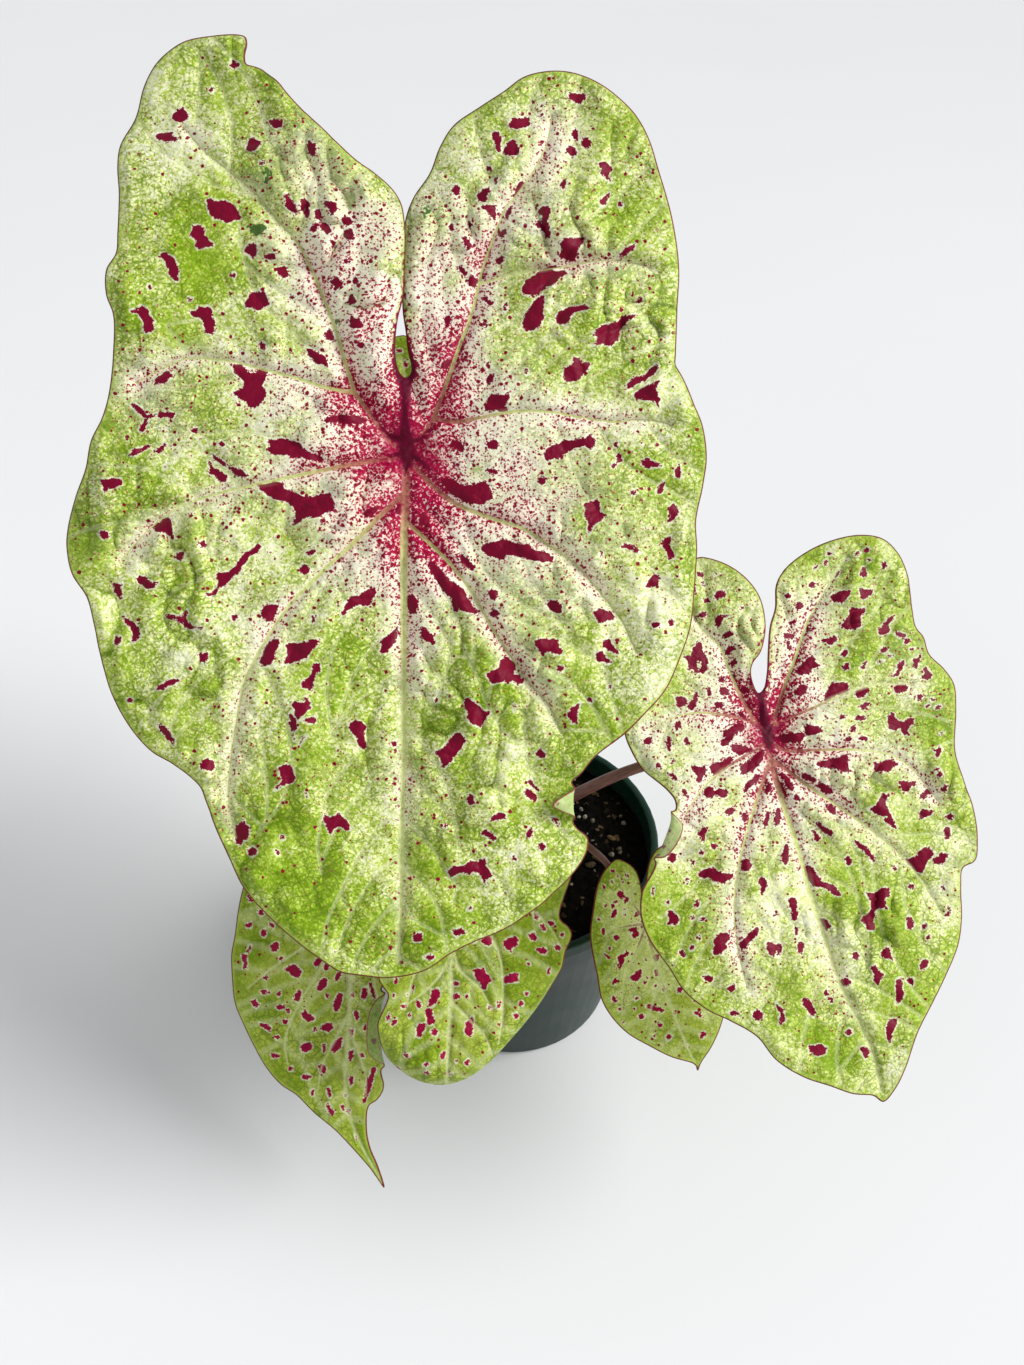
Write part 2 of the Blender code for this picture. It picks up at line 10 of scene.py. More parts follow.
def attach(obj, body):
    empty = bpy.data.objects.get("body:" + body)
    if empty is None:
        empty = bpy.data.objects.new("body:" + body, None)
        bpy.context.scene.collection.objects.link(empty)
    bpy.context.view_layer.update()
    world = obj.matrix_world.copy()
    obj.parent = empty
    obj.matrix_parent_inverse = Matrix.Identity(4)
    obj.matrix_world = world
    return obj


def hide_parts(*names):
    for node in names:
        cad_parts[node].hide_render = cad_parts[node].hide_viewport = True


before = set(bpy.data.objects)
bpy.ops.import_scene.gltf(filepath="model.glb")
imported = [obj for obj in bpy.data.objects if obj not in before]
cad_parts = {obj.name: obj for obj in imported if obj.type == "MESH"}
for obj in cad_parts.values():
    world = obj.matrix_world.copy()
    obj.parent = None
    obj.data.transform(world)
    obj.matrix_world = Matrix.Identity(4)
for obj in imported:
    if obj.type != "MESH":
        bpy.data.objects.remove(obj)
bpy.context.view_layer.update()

# ======================================================================
# The view the outlines are laid out in, and the plant's own dimensions.
# ======================================================================
EYE = np.array((0.0, -0.252, 0.375))
PITCH = math.radians(40.6)
VIEW_F = 1025.0
VIEW_X, VIEW_Y = 512.0, 682.5
FWD = np.array((0.0, math.cos(PITCH), -math.sin(PITCH)))
RIGHT = np.array((1.0, 0.0, 0.0))
UP = np.array((0.0, math.sin(PITCH), math.cos(PITCH)))

BLADE_T = 0.00055
RIM_R, POT_H, BASE_R = 0.0540, 0.0860, 0.0398
LIP_H, LIP_OUT, WALL, FLOOR = 0.0065, 0.0014, 0.0014, 0.0018
SOIL_Z, SOIL_MOUND = 0.0772, 0.0012
TUBER_TOP, GAP = 0.0710, 0.0003


def unit(v):
    v = np.asarray(v, float)
    return v / np.linalg.norm(v)


def rays(p):
    a = (p[:, 0] - VIEW_X) / VIEW_F
    b = (VIEW_Y - p[:, 1]) / VIEW_F
    return FWD + a[:, None] * RIGHT + b[:, None] * UP


def at(x, y, depth):
    return EYE + depth * rays(np.array([[x, y]], float))[0]


def smooth(points, step, closed):
    """A smooth curve through 2-D or 3-D points, resampled evenly."""
    q = np.asarray(points, float)
    if not closed:
        q = np.vstack([2 * q[0] - q[1], q, 2 * q[-1] - q[-2]])
    n = len(q)
    out = []
    for i in (range(n) if closed else range(1, n - 2)):
        p0, p1, p2, p3 = q[i - 1], q[i], q[(i + 1) % n], q[(i + 2) % n]
        t1 = max(np.linalg.norm(p1 - p0), 1e-9) ** 0.5
        t2 = t1 + max(np.linalg.norm(p2 - p1), 1e-9) ** 0.5
        t3 = t2 + max(np.linalg.norm(p3 - p2), 1e-9) ** 0.5
        for k in range(12):
            t = t1 + (t2 - t1) * k / 12
            a1 = (t1 - t) / t1 * p0 + t / t1 * p1
            a2 = (t2 - t) / (t2 - t1) * p1 + (t - t1) / (t2 - t1) * p2
            a3 = (t3 - t) / (t3 - t2) * p2 + (t - t2) / (t3 - t2) * p3
            b1 = (t2 - t) / t2 * a1 + t / t2 * a2
            b2 = (t3 - t) / (t3 - t1) * a2 + (t - t1) / (t3 - t1) * a3
            out.append((t2 - t) / (t2 - t1) * b1 + (t - t1) / (t2 - t1) * b2)
    out.append(out[0] if closed else q[-2])
    out = np.array(out)
    run = np.concatenate([[0], np.cumsum(np.linalg.norm(np.diff(out, axis=0), axis=1))])
    count = max(int(round(run[-1] / step)), 8)
    s = np.linspace(0, run[-1], count, endpoint=not closed)
    return np.stack([np.interp(s, run, out[:, k]) for k in range(out.shape[1])], 1)


def chunks(p, size=4000):
    for i in range(0, len(p), size):
        yield slice(i, min(i + size, len(p)))


def line_distance(p, a, b):
    """Distance from points to the nearest of the segments a-b."""
    out = np.empty(len(p))
    ab = b - a
    ll = np.maximum((ab * ab).sum(1), 1e-12)
    for c in chunks(p, 3000):
        d = p[c][:, None] - a
        t = np.clip((d * ab).sum(2) / ll, 0, 1)
        d -= t[..., None] * ab
        out[c] = np.sqrt((d * d).sum(2)).min(1)
    return out


def inside(p, loop):
    a, b = loop, np.roll(loop, -1, 0)
    out = np.empty(len(p), bool)
    for c in chunks(p):
        x, y = p[c][:, 0:1], p[c][:, 1:2]
        cross = (a[:, 1] > y) != (b[:, 1] > y)
        xs = (b[:, 0] - a[:, 0]) * (y - a[:, 1]) / np.where(b[:, 1] == a[:, 1], 1e-9, b[:, 1] - a[:, 1]) + a[:, 0]
        out[c] = ((cross & (x < xs)).sum(1) % 2) == 1
    return out


# ---------------------------------------------------------------- noise
def lattice(i, j, seed):
    h = (i * 374761393 + j * 668265263 + seed * 1274126177) & 0xFFFFFFFF
    h = ((h ^ (h >> 13)) * 1103515245) & 0xFFFFFFFF
    h = ((h ^ (h >> 16)) * 2246822519) & 0xFFFFFFFF
    return ((h ^ (h >> 15)) & 0xFFFFFF) / float(0xFFFFFF)


def noise(p, scale, seed):
    """Smooth noise from -1 to 1 with features about scale across."""
    q = p / scale
    i = np.floor(q).astype(np.int64)
    f = q - i
    f = f * f * f * (f * (f * 6 - 15) + 10)
    x, y = i[:, 0], i[:, 1]
    v = (lattice(x, y, seed) * (1 - f[:, 0]) + lattice(x + 1, y, seed) * f[:, 0]) * (1 - f[:, 1]) \
        + (lattice(x, y + 1, seed) * (1 - f[:, 0]) + lattice(x + 1, y + 1, seed) * f[:, 0]) * f[:, 1]
    return v * 2 - 1


def fbm(p, scale, octaves, seed):
    out, amp, total = 0, 1.0, 0.0
    for k in range(octaves):
        g = 0.6 + 0.9 * k
        r = np.array(((math.cos(g), -math.sin(g)), (math.sin(g), math.cos(g))))
        out = out + amp * noise(p @ r + 37.1 * k, scale / 2 ** k, seed + 17 * k)
        total += amp
        amp *= 0.5
    return out / total


def step(lo, hi, x):
    t = np.clip((x - lo) / (hi - lo), 0, 1)
    return t * t * (3 - 2 * t)


# ======================================================================
# Blades
# ======================================================================
class Roll:
    """A margin that rolls over a fold, as on the CAD blade."""

    def __init__(self, origin, out, radius, turn, sign, edge):
        self.o = np.asarray(origin, float)
        self.t = unit(out)
        self.w = np.array((-self.t[1], self.t[0]))
        self.r, self.a, self.sign, self.edge = radius, math.radians(turn), sign, edge

    def pattern(self, w, s):
        return self.o + w * self.w + (self.edge(w) + s) * self.t

    def beyond(self, p):
        q = p - self.o
        return q @ self.t - self.edge(q @ self.w)

    def __call__(self, p):
        s = self.beyond(p)
        s1 = self.r * self.a
        sc = np.clip(s, 0, s1) / self.r
        over = np.maximum(s - s1, 0)
        x = self.r * np.sin(sc) + over * math.cos(self.a)
        z = self.r * (1 - np.cos(sc)) + over * math.sin(self.a)
        on = s > 0
        return p + np.where(on, x - s, 0)[:, None] * self.t, np.where(on, z, 0) * self.sign


class Blade:
    """The same curved sheet as the CAD blade's."""

    def __init__(self, join, depth, normal, tip, outline, sag_tip, sag_lobe, sag_side, fold,
                 cup, twist, wave, waves, rolls=(), lift=None):
        self.join = np.asarray(join, float)
        self.j = at(join[0], join[1], depth)
        self.depth = depth
        self.mm = depth / VIEW_F * 1000          # millimetres in one view unit
        self.n = unit(normal)
        self.nj = self.n @ (self.j - EYE)
        tip3 = self.on_plane(np.array([tip], float))[0]
        self.tip = np.asarray(tip, float)
        self.ey = unit(tip3 - self.j)
        self.ex = np.cross(self.ey, self.n)
        self.outline = outline
        self.loop = smooth(outline, 8.0, True)
        self.shape = (sag_tip, sag_lobe, sag_side, fold, cup, twist)
        self.wave, self.waves = wave, waves
        self.rolls, self.lift = rolls, lift

    def on_plane(self, p, h=0.0):
        r = rays(p)
        return EYE + r * ((self.nj + h) / (r @ self.n))[:, None]

    def height(self, p, e=None):
        sag_tip, sag_lobe, sag_side, fold, cup, twist = self.shape
        q = self.on_plane(p) - self.j
        x, y = q @ self.ex, q @ self.ey
        h = -np.where(y > 0, sag_tip, sag_lobe) * y * y - sag_side * x * x
        h = h + fold * (np.sqrt(x * x + 0.006 ** 2) - 0.006) + twist * x * y
        h = h - cup * np.exp(-(x * x + y * y) / 0.016 ** 2)
        if e is None:
            e = line_distance(p, self.loop, np.roll(self.loop, -1, 0)) * self.mm / 1000
        g = np.arctan2(x, y)
        k, start = self.waves
        ripple = np.sin(k * g + start) + 0.6 * np.sin((2 * k - 3) * g + 2.1 + start)
        return h + self.wave * ripple * np.exp(-e / 0.011) * (1 - np.exp(-(x * x + y * y) / 0.02 ** 2))

    def surface(self, p, extra=0.0, e=None):
        p = np.asarray(p, float)
        h = self.height(p, e) + extra
        moved, up = p, np.zeros(len(p))
        for roll in self.rolls:
            m, z = roll(p)
            moved = moved + (m - p)
            up = up + z
        if self.lift:
            dx, z = self.lift(p)
            moved = moved + np.stack([dx, 0 * dx], 1)
            h = h + z
        return self.on_plane(moved, h + up * self.depth / VIEW_F)

    def socket(self):
        c = np.array([self.join, self.join + (3, 0), self.join + (0, 3)])
        a, b, d = self.surface(c)
        n = unit(np.cross(b - a, a - d))
        return (a, -n) if n @ self.n < 0 else (a, n)


def quartic(w0, c):
    return lambda w: c * (w / w0) ** 4


# Outlines, clockwise as seen from the viewing point, in view units.
ROLL_A = Roll((566, 803), (1, 0), 6.5, 150, 1, quartic(20, 8))
OUT_A = [
    (186, 41), (212, 36), (232, 34.5), (240, 35), (245.8, 37), (247, 41), (247, 46), (245.3, 53), (245, 58.5),
    (246, 63.6), (249, 65.2), (254.5, 66.5), (262, 69.5), (268, 74), (278, 81.5), (288, 94), (300, 107),
    (321, 126.6), (355, 159), (374, 173), (388, 188), (395, 205), (398, 228), (398, 258), (397, 285),
    (396.5, 302), (395, 316), (395, 335), (395, 352), (396.5, 364), (400, 373.5), (405.5, 378), (410.5, 374),
    (411.4, 366), (409.3, 356.7), (407.2, 346), (406, 335), (404.4, 324), (402.8, 313), (402.4, 302),
    (402.8, 281), (403.6, 254), (405, 222), (413.4, 198), (429.5, 174), (440, 147), (453.6, 125.7), (480, 107),
    (504.5, 91), (523, 77.5), (544.7, 71.6), (569, 72), (593, 80), (614, 93.6), (635.7, 115),
    (649, 139), (660, 174), (670.6, 211), (677.3, 249), (679, 273), (677.3, 308), (675.7, 355),
    (675.2, 364), (676.7, 367.5), (678.8, 370.6), (684, 380), (689, 391), (694, 404), (702.7, 426), (706.7, 458),
    (703, 486), (696, 522), (697, 547), (694, 594), (690.7, 626), (680, 658), (665.7, 690), (644, 715),
    (626, 733), (594, 758), (581, 774), (572, 782),
] + [tuple(ROLL_A.pattern(w, s)) for w, s in (
    (-18.5, 1), (-14.6, 10), (-10, 19), (-5, 28), (0, 35), (3.2, 36.2), (6.4, 31), (10.2, 22),
    (14.6, 10), (18.5, 1.5))] + [
    (577, 828), (586.4, 835.6), (588.4, 840), (587, 851), (579.5, 865), (569, 878), (556.5, 890.5),
    (541, 904.5), (527, 914.7), (512, 925), (493, 934.5), (475, 941.6), (449.6, 954.4), (426.6, 969.7), (406, 976),
    (383, 978), (363, 976), (340, 972), (317, 957), (296.5, 941.6), (271, 918.7), (243, 887),
    (230, 860), (215.4, 828), (206, 801.6), (199, 785.6), (175, 765.5), (151, 751),
    (129.6, 726.6), (112, 694.5), (100, 654), (93.5, 622), (87, 598), (72, 574), (66.7, 547),
    (68, 528), (76, 496), (85.4, 469.5), (91, 441), (102, 418), (109, 393), (113.3, 351),
    (113.3, 315), (106.3, 295), (106.3, 270), (116, 253), (117.5, 233), (119, 194),
    (117.5, 166), (120.3, 146), (135.8, 118), (144, 87), (155.4, 65), (169.4, 51),
]


def lap_a(p):
    x, y = p[:, 0], p[:, 1]
    left = (x < 400.5) & (y < 376)
    win = np.clip((y - 165) / 45, 0, 1) * np.clip((345 - y) / 60, 0, 1)
    win = win * win * (3 - 2 * win) * np.exp(-((x - 400) / 55.0) ** 2)
    return np.where(left, 7.0 * win, 0), np.where(left, 0.0024 * win, 0)


ROLL_B = Roll((672.6, 839.1), (-0.935, -0.355), 6.5, 150, 1, quartic(29, 8))
OUT_B = [
    (675, 801), (666.7, 790), (642, 769), (630.6, 750), (625, 736), (623, 715), (626, 690), (632, 655),
    (642, 625), (655, 598), (668, 577), (684, 563), (696, 558),
    (703, 557), (726, 564), (745, 577), (759.5, 596.5), (765, 619.5), (764.5, 637),
    (760, 653), (753, 663), (751, 672), (753, 683), (758.5, 693), (763.5, 689), (767, 673), (768, 650),
    (770, 626), (775, 608), (776, 585), (784, 570), (803, 554), (830, 541), (860, 535),
    (883, 539), (898.5, 554), (908, 577), (912, 608), (915.7, 627), (923.4, 637), (929, 654),
    (944, 669), (954, 684.6), (956, 711), (955, 750), (963.6, 780), (973, 807), (977.7, 837.6),
    (975, 860.6), (963, 868), (961, 887), (961.7, 918), (958, 945), (946, 975), (933, 1002),
    (917.6, 1033), (906, 1067), (894.7, 1090), (883, 1102), (873.6, 1096), (852.6, 1094),
    (829.6, 1086), (803, 1077), (776, 1060), (757, 1037), (730, 1021), (707, 1010),
    (684, 991), (669, 968), (650, 941), (641, 918), (641, 895), (645, 884), (650, 876),
] + [tuple(ROLL_B.pattern(w, s)) for w, s in (
    (-28, 1), (-25, 9), (-21, 20), (-12, 25), (0, 28), (9, 28.5), (17, 27), (22.5, 19),
    (25.5, 9), (28, 1))]

ROLL_C = Roll((374, 1030), (1, 0), 6.5, 150, 1, quartic(42, 8))
OUT_C = [
    (243, 888), (250, 868), (266, 850), (288, 842), (310, 848), (328, 864), (342, 884), (351, 895),
    (357, 890), (364, 872), (376, 861), (388, 866), (395, 885), (395, 915), (391, 948), (386, 975),
    (383.5, 985),
] + [tuple(ROLL_C.pattern(w, s)) for w, s in (
    (-40, 1), (-37, 9), (-33, 18), (-22, 25), (-8, 28.4), (10, 29.5), (25, 27.2), (32, 19),
    (36, 9), (40, 1))] + [
    (384, 1084), (383, 1091), (377, 1100), (369, 1106), (367, 1130), (370.5, 1148), (378, 1166), (384.5, 1188),
    (370.5, 1169), (355, 1151), (335, 1130), (314, 1112.5), (296.5, 1095), (281, 1084.5),
    (266, 1067), (253, 1044), (243, 1023), (235, 1003), (232, 975), (231.5, 954), (235, 934),
    (238, 911),
]


def back_d(w):
    a = np.abs(w)
    return np.where(a < 60, -0.0094 * a * a, -33.8 - 1.13 * (a - 60))


ROLL_D = Roll((440, 1059), (0, 1), 25, 112, -1, back_d)
OUT_D = [
    (571, 878), (564, 898), (560, 918), (569, 927), (572, 934), (570, 942), (566, 951), (563, 965),
] + [tuple(ROLL_D.pattern(w, s)) for w, s in (
    (-121, 14), (-112, 20), (-101, 28), (-81, 42), (-60, 58), (-40, 76), (-26, 92), (-16, 112),
    (-7, 100), (8, 86), (22, 70), (36, 52), (48, 38), (57, 24), (61, 13))] + [
    (377.4, 1024), (381, 1014), (386, 1003), (388, 995), (384, 988.6), (378.5, 979), (381, 958),
    (387, 932), (391, 905), (394, 878), (399, 858), (408, 845), (422, 842), (436, 850),
    (448, 862), (457, 871), (466, 866), (480, 855), (496, 842), (514, 832), (534, 829),
    (552, 834), (566, 846), (572, 862),
]

OUT_E = [
    (616.6, 859), (626, 862), (633, 867), (637.5, 874), (640.5, 884), (642.5, 897), (644.5, 905),
    (646.5, 897), (646, 884), (647, 872), (650, 860), (656, 850), (664, 845), (676, 846), (688, 854), (700, 870),
    (710, 894), (718, 925), (724, 960), (727, 992), (722, 1022), (712, 1046), (701, 1063),
    (697.5, 1071), (695, 1065), (671, 1057), (649, 1046), (627, 1033), (610, 1015), (601, 998),
    (597, 976), (593, 957), (590, 935), (593, 909), (598, 883), (606, 868),
]

OUT_F = [
    (398, 336), (407, 336), (417, 348), (424, 372), (427, 400), (426, 428), (427, 446),
    (431, 430), (436, 402), (445, 375), (460, 355), (480, 352), (499, 366), (512, 394),
    (520, 430), (520, 472), (514, 520), (502, 566), (484, 612), (460, 654), (438, 690),
    (414, 662), (388, 626), (362, 584), (341, 536), (330, 486), (332, 440), (343, 400),
    (360, 366), (379, 345),
]

BLADES = {
    "a": Blade((407, 450), 0.280, (0.0, -0.64, 0.77), (398, 976), OUT_A,
               sag_tip=0.85, sag_lobe=0.75, sag_side=1.9, fold=0.13, cup=0.0035,
               twist=0.25, wave=0.0022, waves=(7, 0.4), rolls=(ROLL_A,), lift=lap_a),
    "b": Blade((768, 738), 0.300, (0.16, -0.60, 0.78), (883, 1100), OUT_B,
               sag_tip=1.2, sag_lobe=0.9, sag_side=2.4, fold=0.12, cup=0.0028,
               twist=-0.3, wave=0.0018, waves=(6, 1.1), rolls=(ROLL_B,)),
    "c": Blade((356, 908), 0.322, (-0.16, -0.76, 0.63), (384, 1186), OUT_C,
               sag_tip=1.4, sag_lobe=1.0, sag_side=4.0, fold=0.16, cup=0.0015,
               twist=0.0, wave=0.0010, waves=(5, 0.2), rolls=(ROLL_C,)),
    "d": Blade((457, 886), 0.305, (0.05, -0.62, 0.78), (447, 1072), OUT_D,
               sag_tip=0.6, sag_lobe=1.0, sag_side=3.2, fold=0.14, cup=0.0015,
               twist=0.0, wave=0.0010, waves=(5, 1.9), rolls=(ROLL_D,)),
    "e": Blade((646, 924), 0.330, (0.24, -0.60, 0.76), (697.5, 1069), OUT_E,
               sag_tip=1.6, sag_lobe=1.2, sag_side=4.0, fold=0.15, cup=0.0012,
               twist=0.0, wave=0.0007, waves=(5, 0.9)),
    "f": Blade((427, 470), 0.365, (0.05, -0.80, 0.60), (438, 688), OUT_F,
               sag_tip=0.8, sag_lobe=1.0, sag_side=2.6, fold=0.15, cup=0.0020,
               twist=0.2, wave=0.0012, waves=(6, 2.4)),
}

# Main veins: start width, end width (view units), points from the junction out.
VEINS = {
    "a": [
        (11, 3.5, [(407, 450), (405.6, 494), (404, 547), (404, 627), (404, 708), (403, 788), (402, 833), (401, 904), (398, 962)]),
        (7, 2, [(405.5, 492), (376, 520), (352, 544.5), (328, 566), (309, 585), (293, 601), (274, 627.5), (258, 654), (245, 681), (237, 721), (231, 761.5), (229, 802), (236, 838)]),
        (7, 2, [(405, 456), (380, 460), (355, 464), (301, 475), (253, 485.5), (210, 496), (175, 510), (148, 531), (122, 560)]),
        (9, 5, [(407, 450), (391, 441), (369, 413), (354.6, 393)]),
        (5.5, 2, [(354.6, 393), (326.5, 388), (298.5, 379), (268, 371), (228, 361), (186, 359.5), (158, 371), (136, 384)]),
        (5.5, 2, [(354.6, 393), (346, 365), (335, 329), (324, 301), (312.5, 272.5), (298.5, 244.5), (279, 222), (256, 194), (228, 171), (203, 150), (184, 128)]),
        (9, 6, [(407, 450), (416, 442), (432, 423), (435, 415)]),
        (5.5, 2, [(435, 415), (448, 380), (459, 348), (470, 319), (478, 289), (483, 268), (494, 238), (504.5, 211), (520.5, 190), (534, 171), (546, 146), (552, 118)]),
        (3.5, 1.5, [(480, 285), (494, 280), (520.5, 273), (561, 268), (593, 262), (625, 262), (650, 268)]),
        (5.5, 2, [(433, 418), (454, 422), (480, 418), (512.5, 412), (547, 412), (582, 418), (614, 422), (641, 420), (668, 424)]),
        (6.5, 2, [(411, 462), (419, 472), (451, 501), (487, 517), (523, 529), (551, 547), (580, 569), (601, 594), (622, 622), (636, 652)]),
        (5.5, 2, [(405, 521), (426, 540), (451, 565), (473, 594), (491, 626), (509, 654), (530, 683), (548, 704), (562, 732)]),
    ],
    "b": [
        (8, 2.5, [(768, 738), (770, 757), (784, 807), (799, 853), (810.5, 895), (826, 941), (841, 987), (860, 1025), (874, 1058), (880, 1090)]),
        (6, 1.8, [(768, 738), (774, 719), (784, 688), (795, 658), (807, 623), (826, 589), (845, 558)]),
        (6, 1.8, [(768, 738), (753, 719), (742, 700), (730, 673), (719, 646), (703, 631), (690, 612)]),
        (5, 1.6, [(762, 728), (749, 721), (722.5, 715), (696, 713), (669, 719), (650, 730.5)]),
        (5, 1.6, [(768, 740), (761, 746), (730, 765), (707, 784), (692, 803), (682, 820)]),
        (5, 1.6, [(770, 757), (768, 765), (757, 799), (745, 838), (736, 880), (734, 918), (740, 960), (747, 987)]),
        (5, 1.6, [(770, 742), (784, 750), (818, 750), (860, 750), (895, 757), (918, 776), (936, 800)]),
        (5, 1.6, [(770, 734), (780, 723), (814, 707.5), (849, 692), (876, 685), (910, 684)]),
        (5, 1.6, [(772, 760), (780, 765), (810.5, 788), (845, 811), (875.5, 834), (902, 857), (925, 887), (941, 914)]),
    ],
    "c": [
        (4.5, 1.5, [(356, 908), (352, 945), (350, 980), (349, 1012), (347, 1045), (345, 1080), (350, 1115), (360, 1142), (374, 1168), (382, 1183)]),
        (3, 1.2, [(356, 908), (336, 938), (319.5, 970), (303, 997), (289, 1026), (285, 1046), (288, 1064)]),
        (3, 1.2, [(356, 908), (330, 926), (304, 947), (275, 966), (248, 988)]),
        (3, 1.2, [(356, 908), (326, 895), (298, 886), (268, 888)]),
        (3, 1.2, [(356, 908), (368, 940), (373, 972), (378, 1005), (386, 1036)]),
        (2.6, 1.2, [(349, 1012), (335, 1040), (322, 1066), (318, 1090)]),
        (2.6, 1.2, [(348, 1028), (358, 1052), (366, 1078), (366, 1096)]),
    ],
    "d": [
        (4.5, 1.5, [(457, 886), (452, 920), (451, 954), (451, 1003), (447, 1072), (447, 1110), (453, 1150)]),
        (3, 1.2, [(457, 886), (476, 912), (493, 939), (501, 962), (503, 990), (502, 1018), (498, 1045)]),
        (3, 1.2, [(457, 886), (490, 890), (522, 904), (548, 925), (560, 945)]),
        (3, 1.2, [(457, 886), (440, 918), (425, 948), (413, 978), (405, 1010)]),
        (3, 1.2, [(457, 886), (435, 893), (412, 905), (400, 920)]),
        (2.6, 1.2, [(453, 950), (460, 970), (480, 988), (492, 1010)]),
        (2.6, 1.2, [(451, 1000), (455, 1005), (470, 1020), (485, 1036), (492, 1060)]),
        (2.6, 1.2, [(451, 958), (438, 978), (424, 992), (409, 1003)]),
    ],
    "e": [
        (4, 1.3, [(646, 924), (652, 950), (661, 980), (672, 1010), (684, 1040), (696, 1066)]),
        (3, 1.0, [(646, 924), (634, 905), (624, 888), (616, 872)]),
        (3, 1.0, [(646, 924), (628, 926), (612, 930), (602, 938)]),
        (3, 1.0, [(646, 924), (638, 946), (628, 968), (622, 992), (622, 1014)]),
        (3, 1.0, [(648, 930), (664, 952), (682, 976), (700, 1002), (710, 1024)]),
        (3, 1.0, [(646, 924), (660, 905), (676, 886), (686, 872)]),
        (2.4, 1.0, [(661, 980), (652, 1004), (646, 1030)]),
    ],
    "f": [
        (4.5, 1.5, [(427, 470), (428, 510), (430, 560), (434, 620), (438, 684)]),
        (3, 1.2, [(427, 470), (415, 430), (408, 395), (402, 358)]),
        (3, 1.2, [(427, 470), (446, 430), (462, 398), (478, 368)]),
        (3, 1.2, [(427, 470), (394, 474), (362, 484), (340, 498)]),
        (3, 1.2, [(427, 470), (460, 478), (490, 488), (512, 502)]),
        (3, 1.2, [(428, 500), (404, 532), (386, 566), (376, 594)]),
        (3, 1.2, [(428, 500), (452, 532), (472, 562), (486, 590)]),
    ],
}

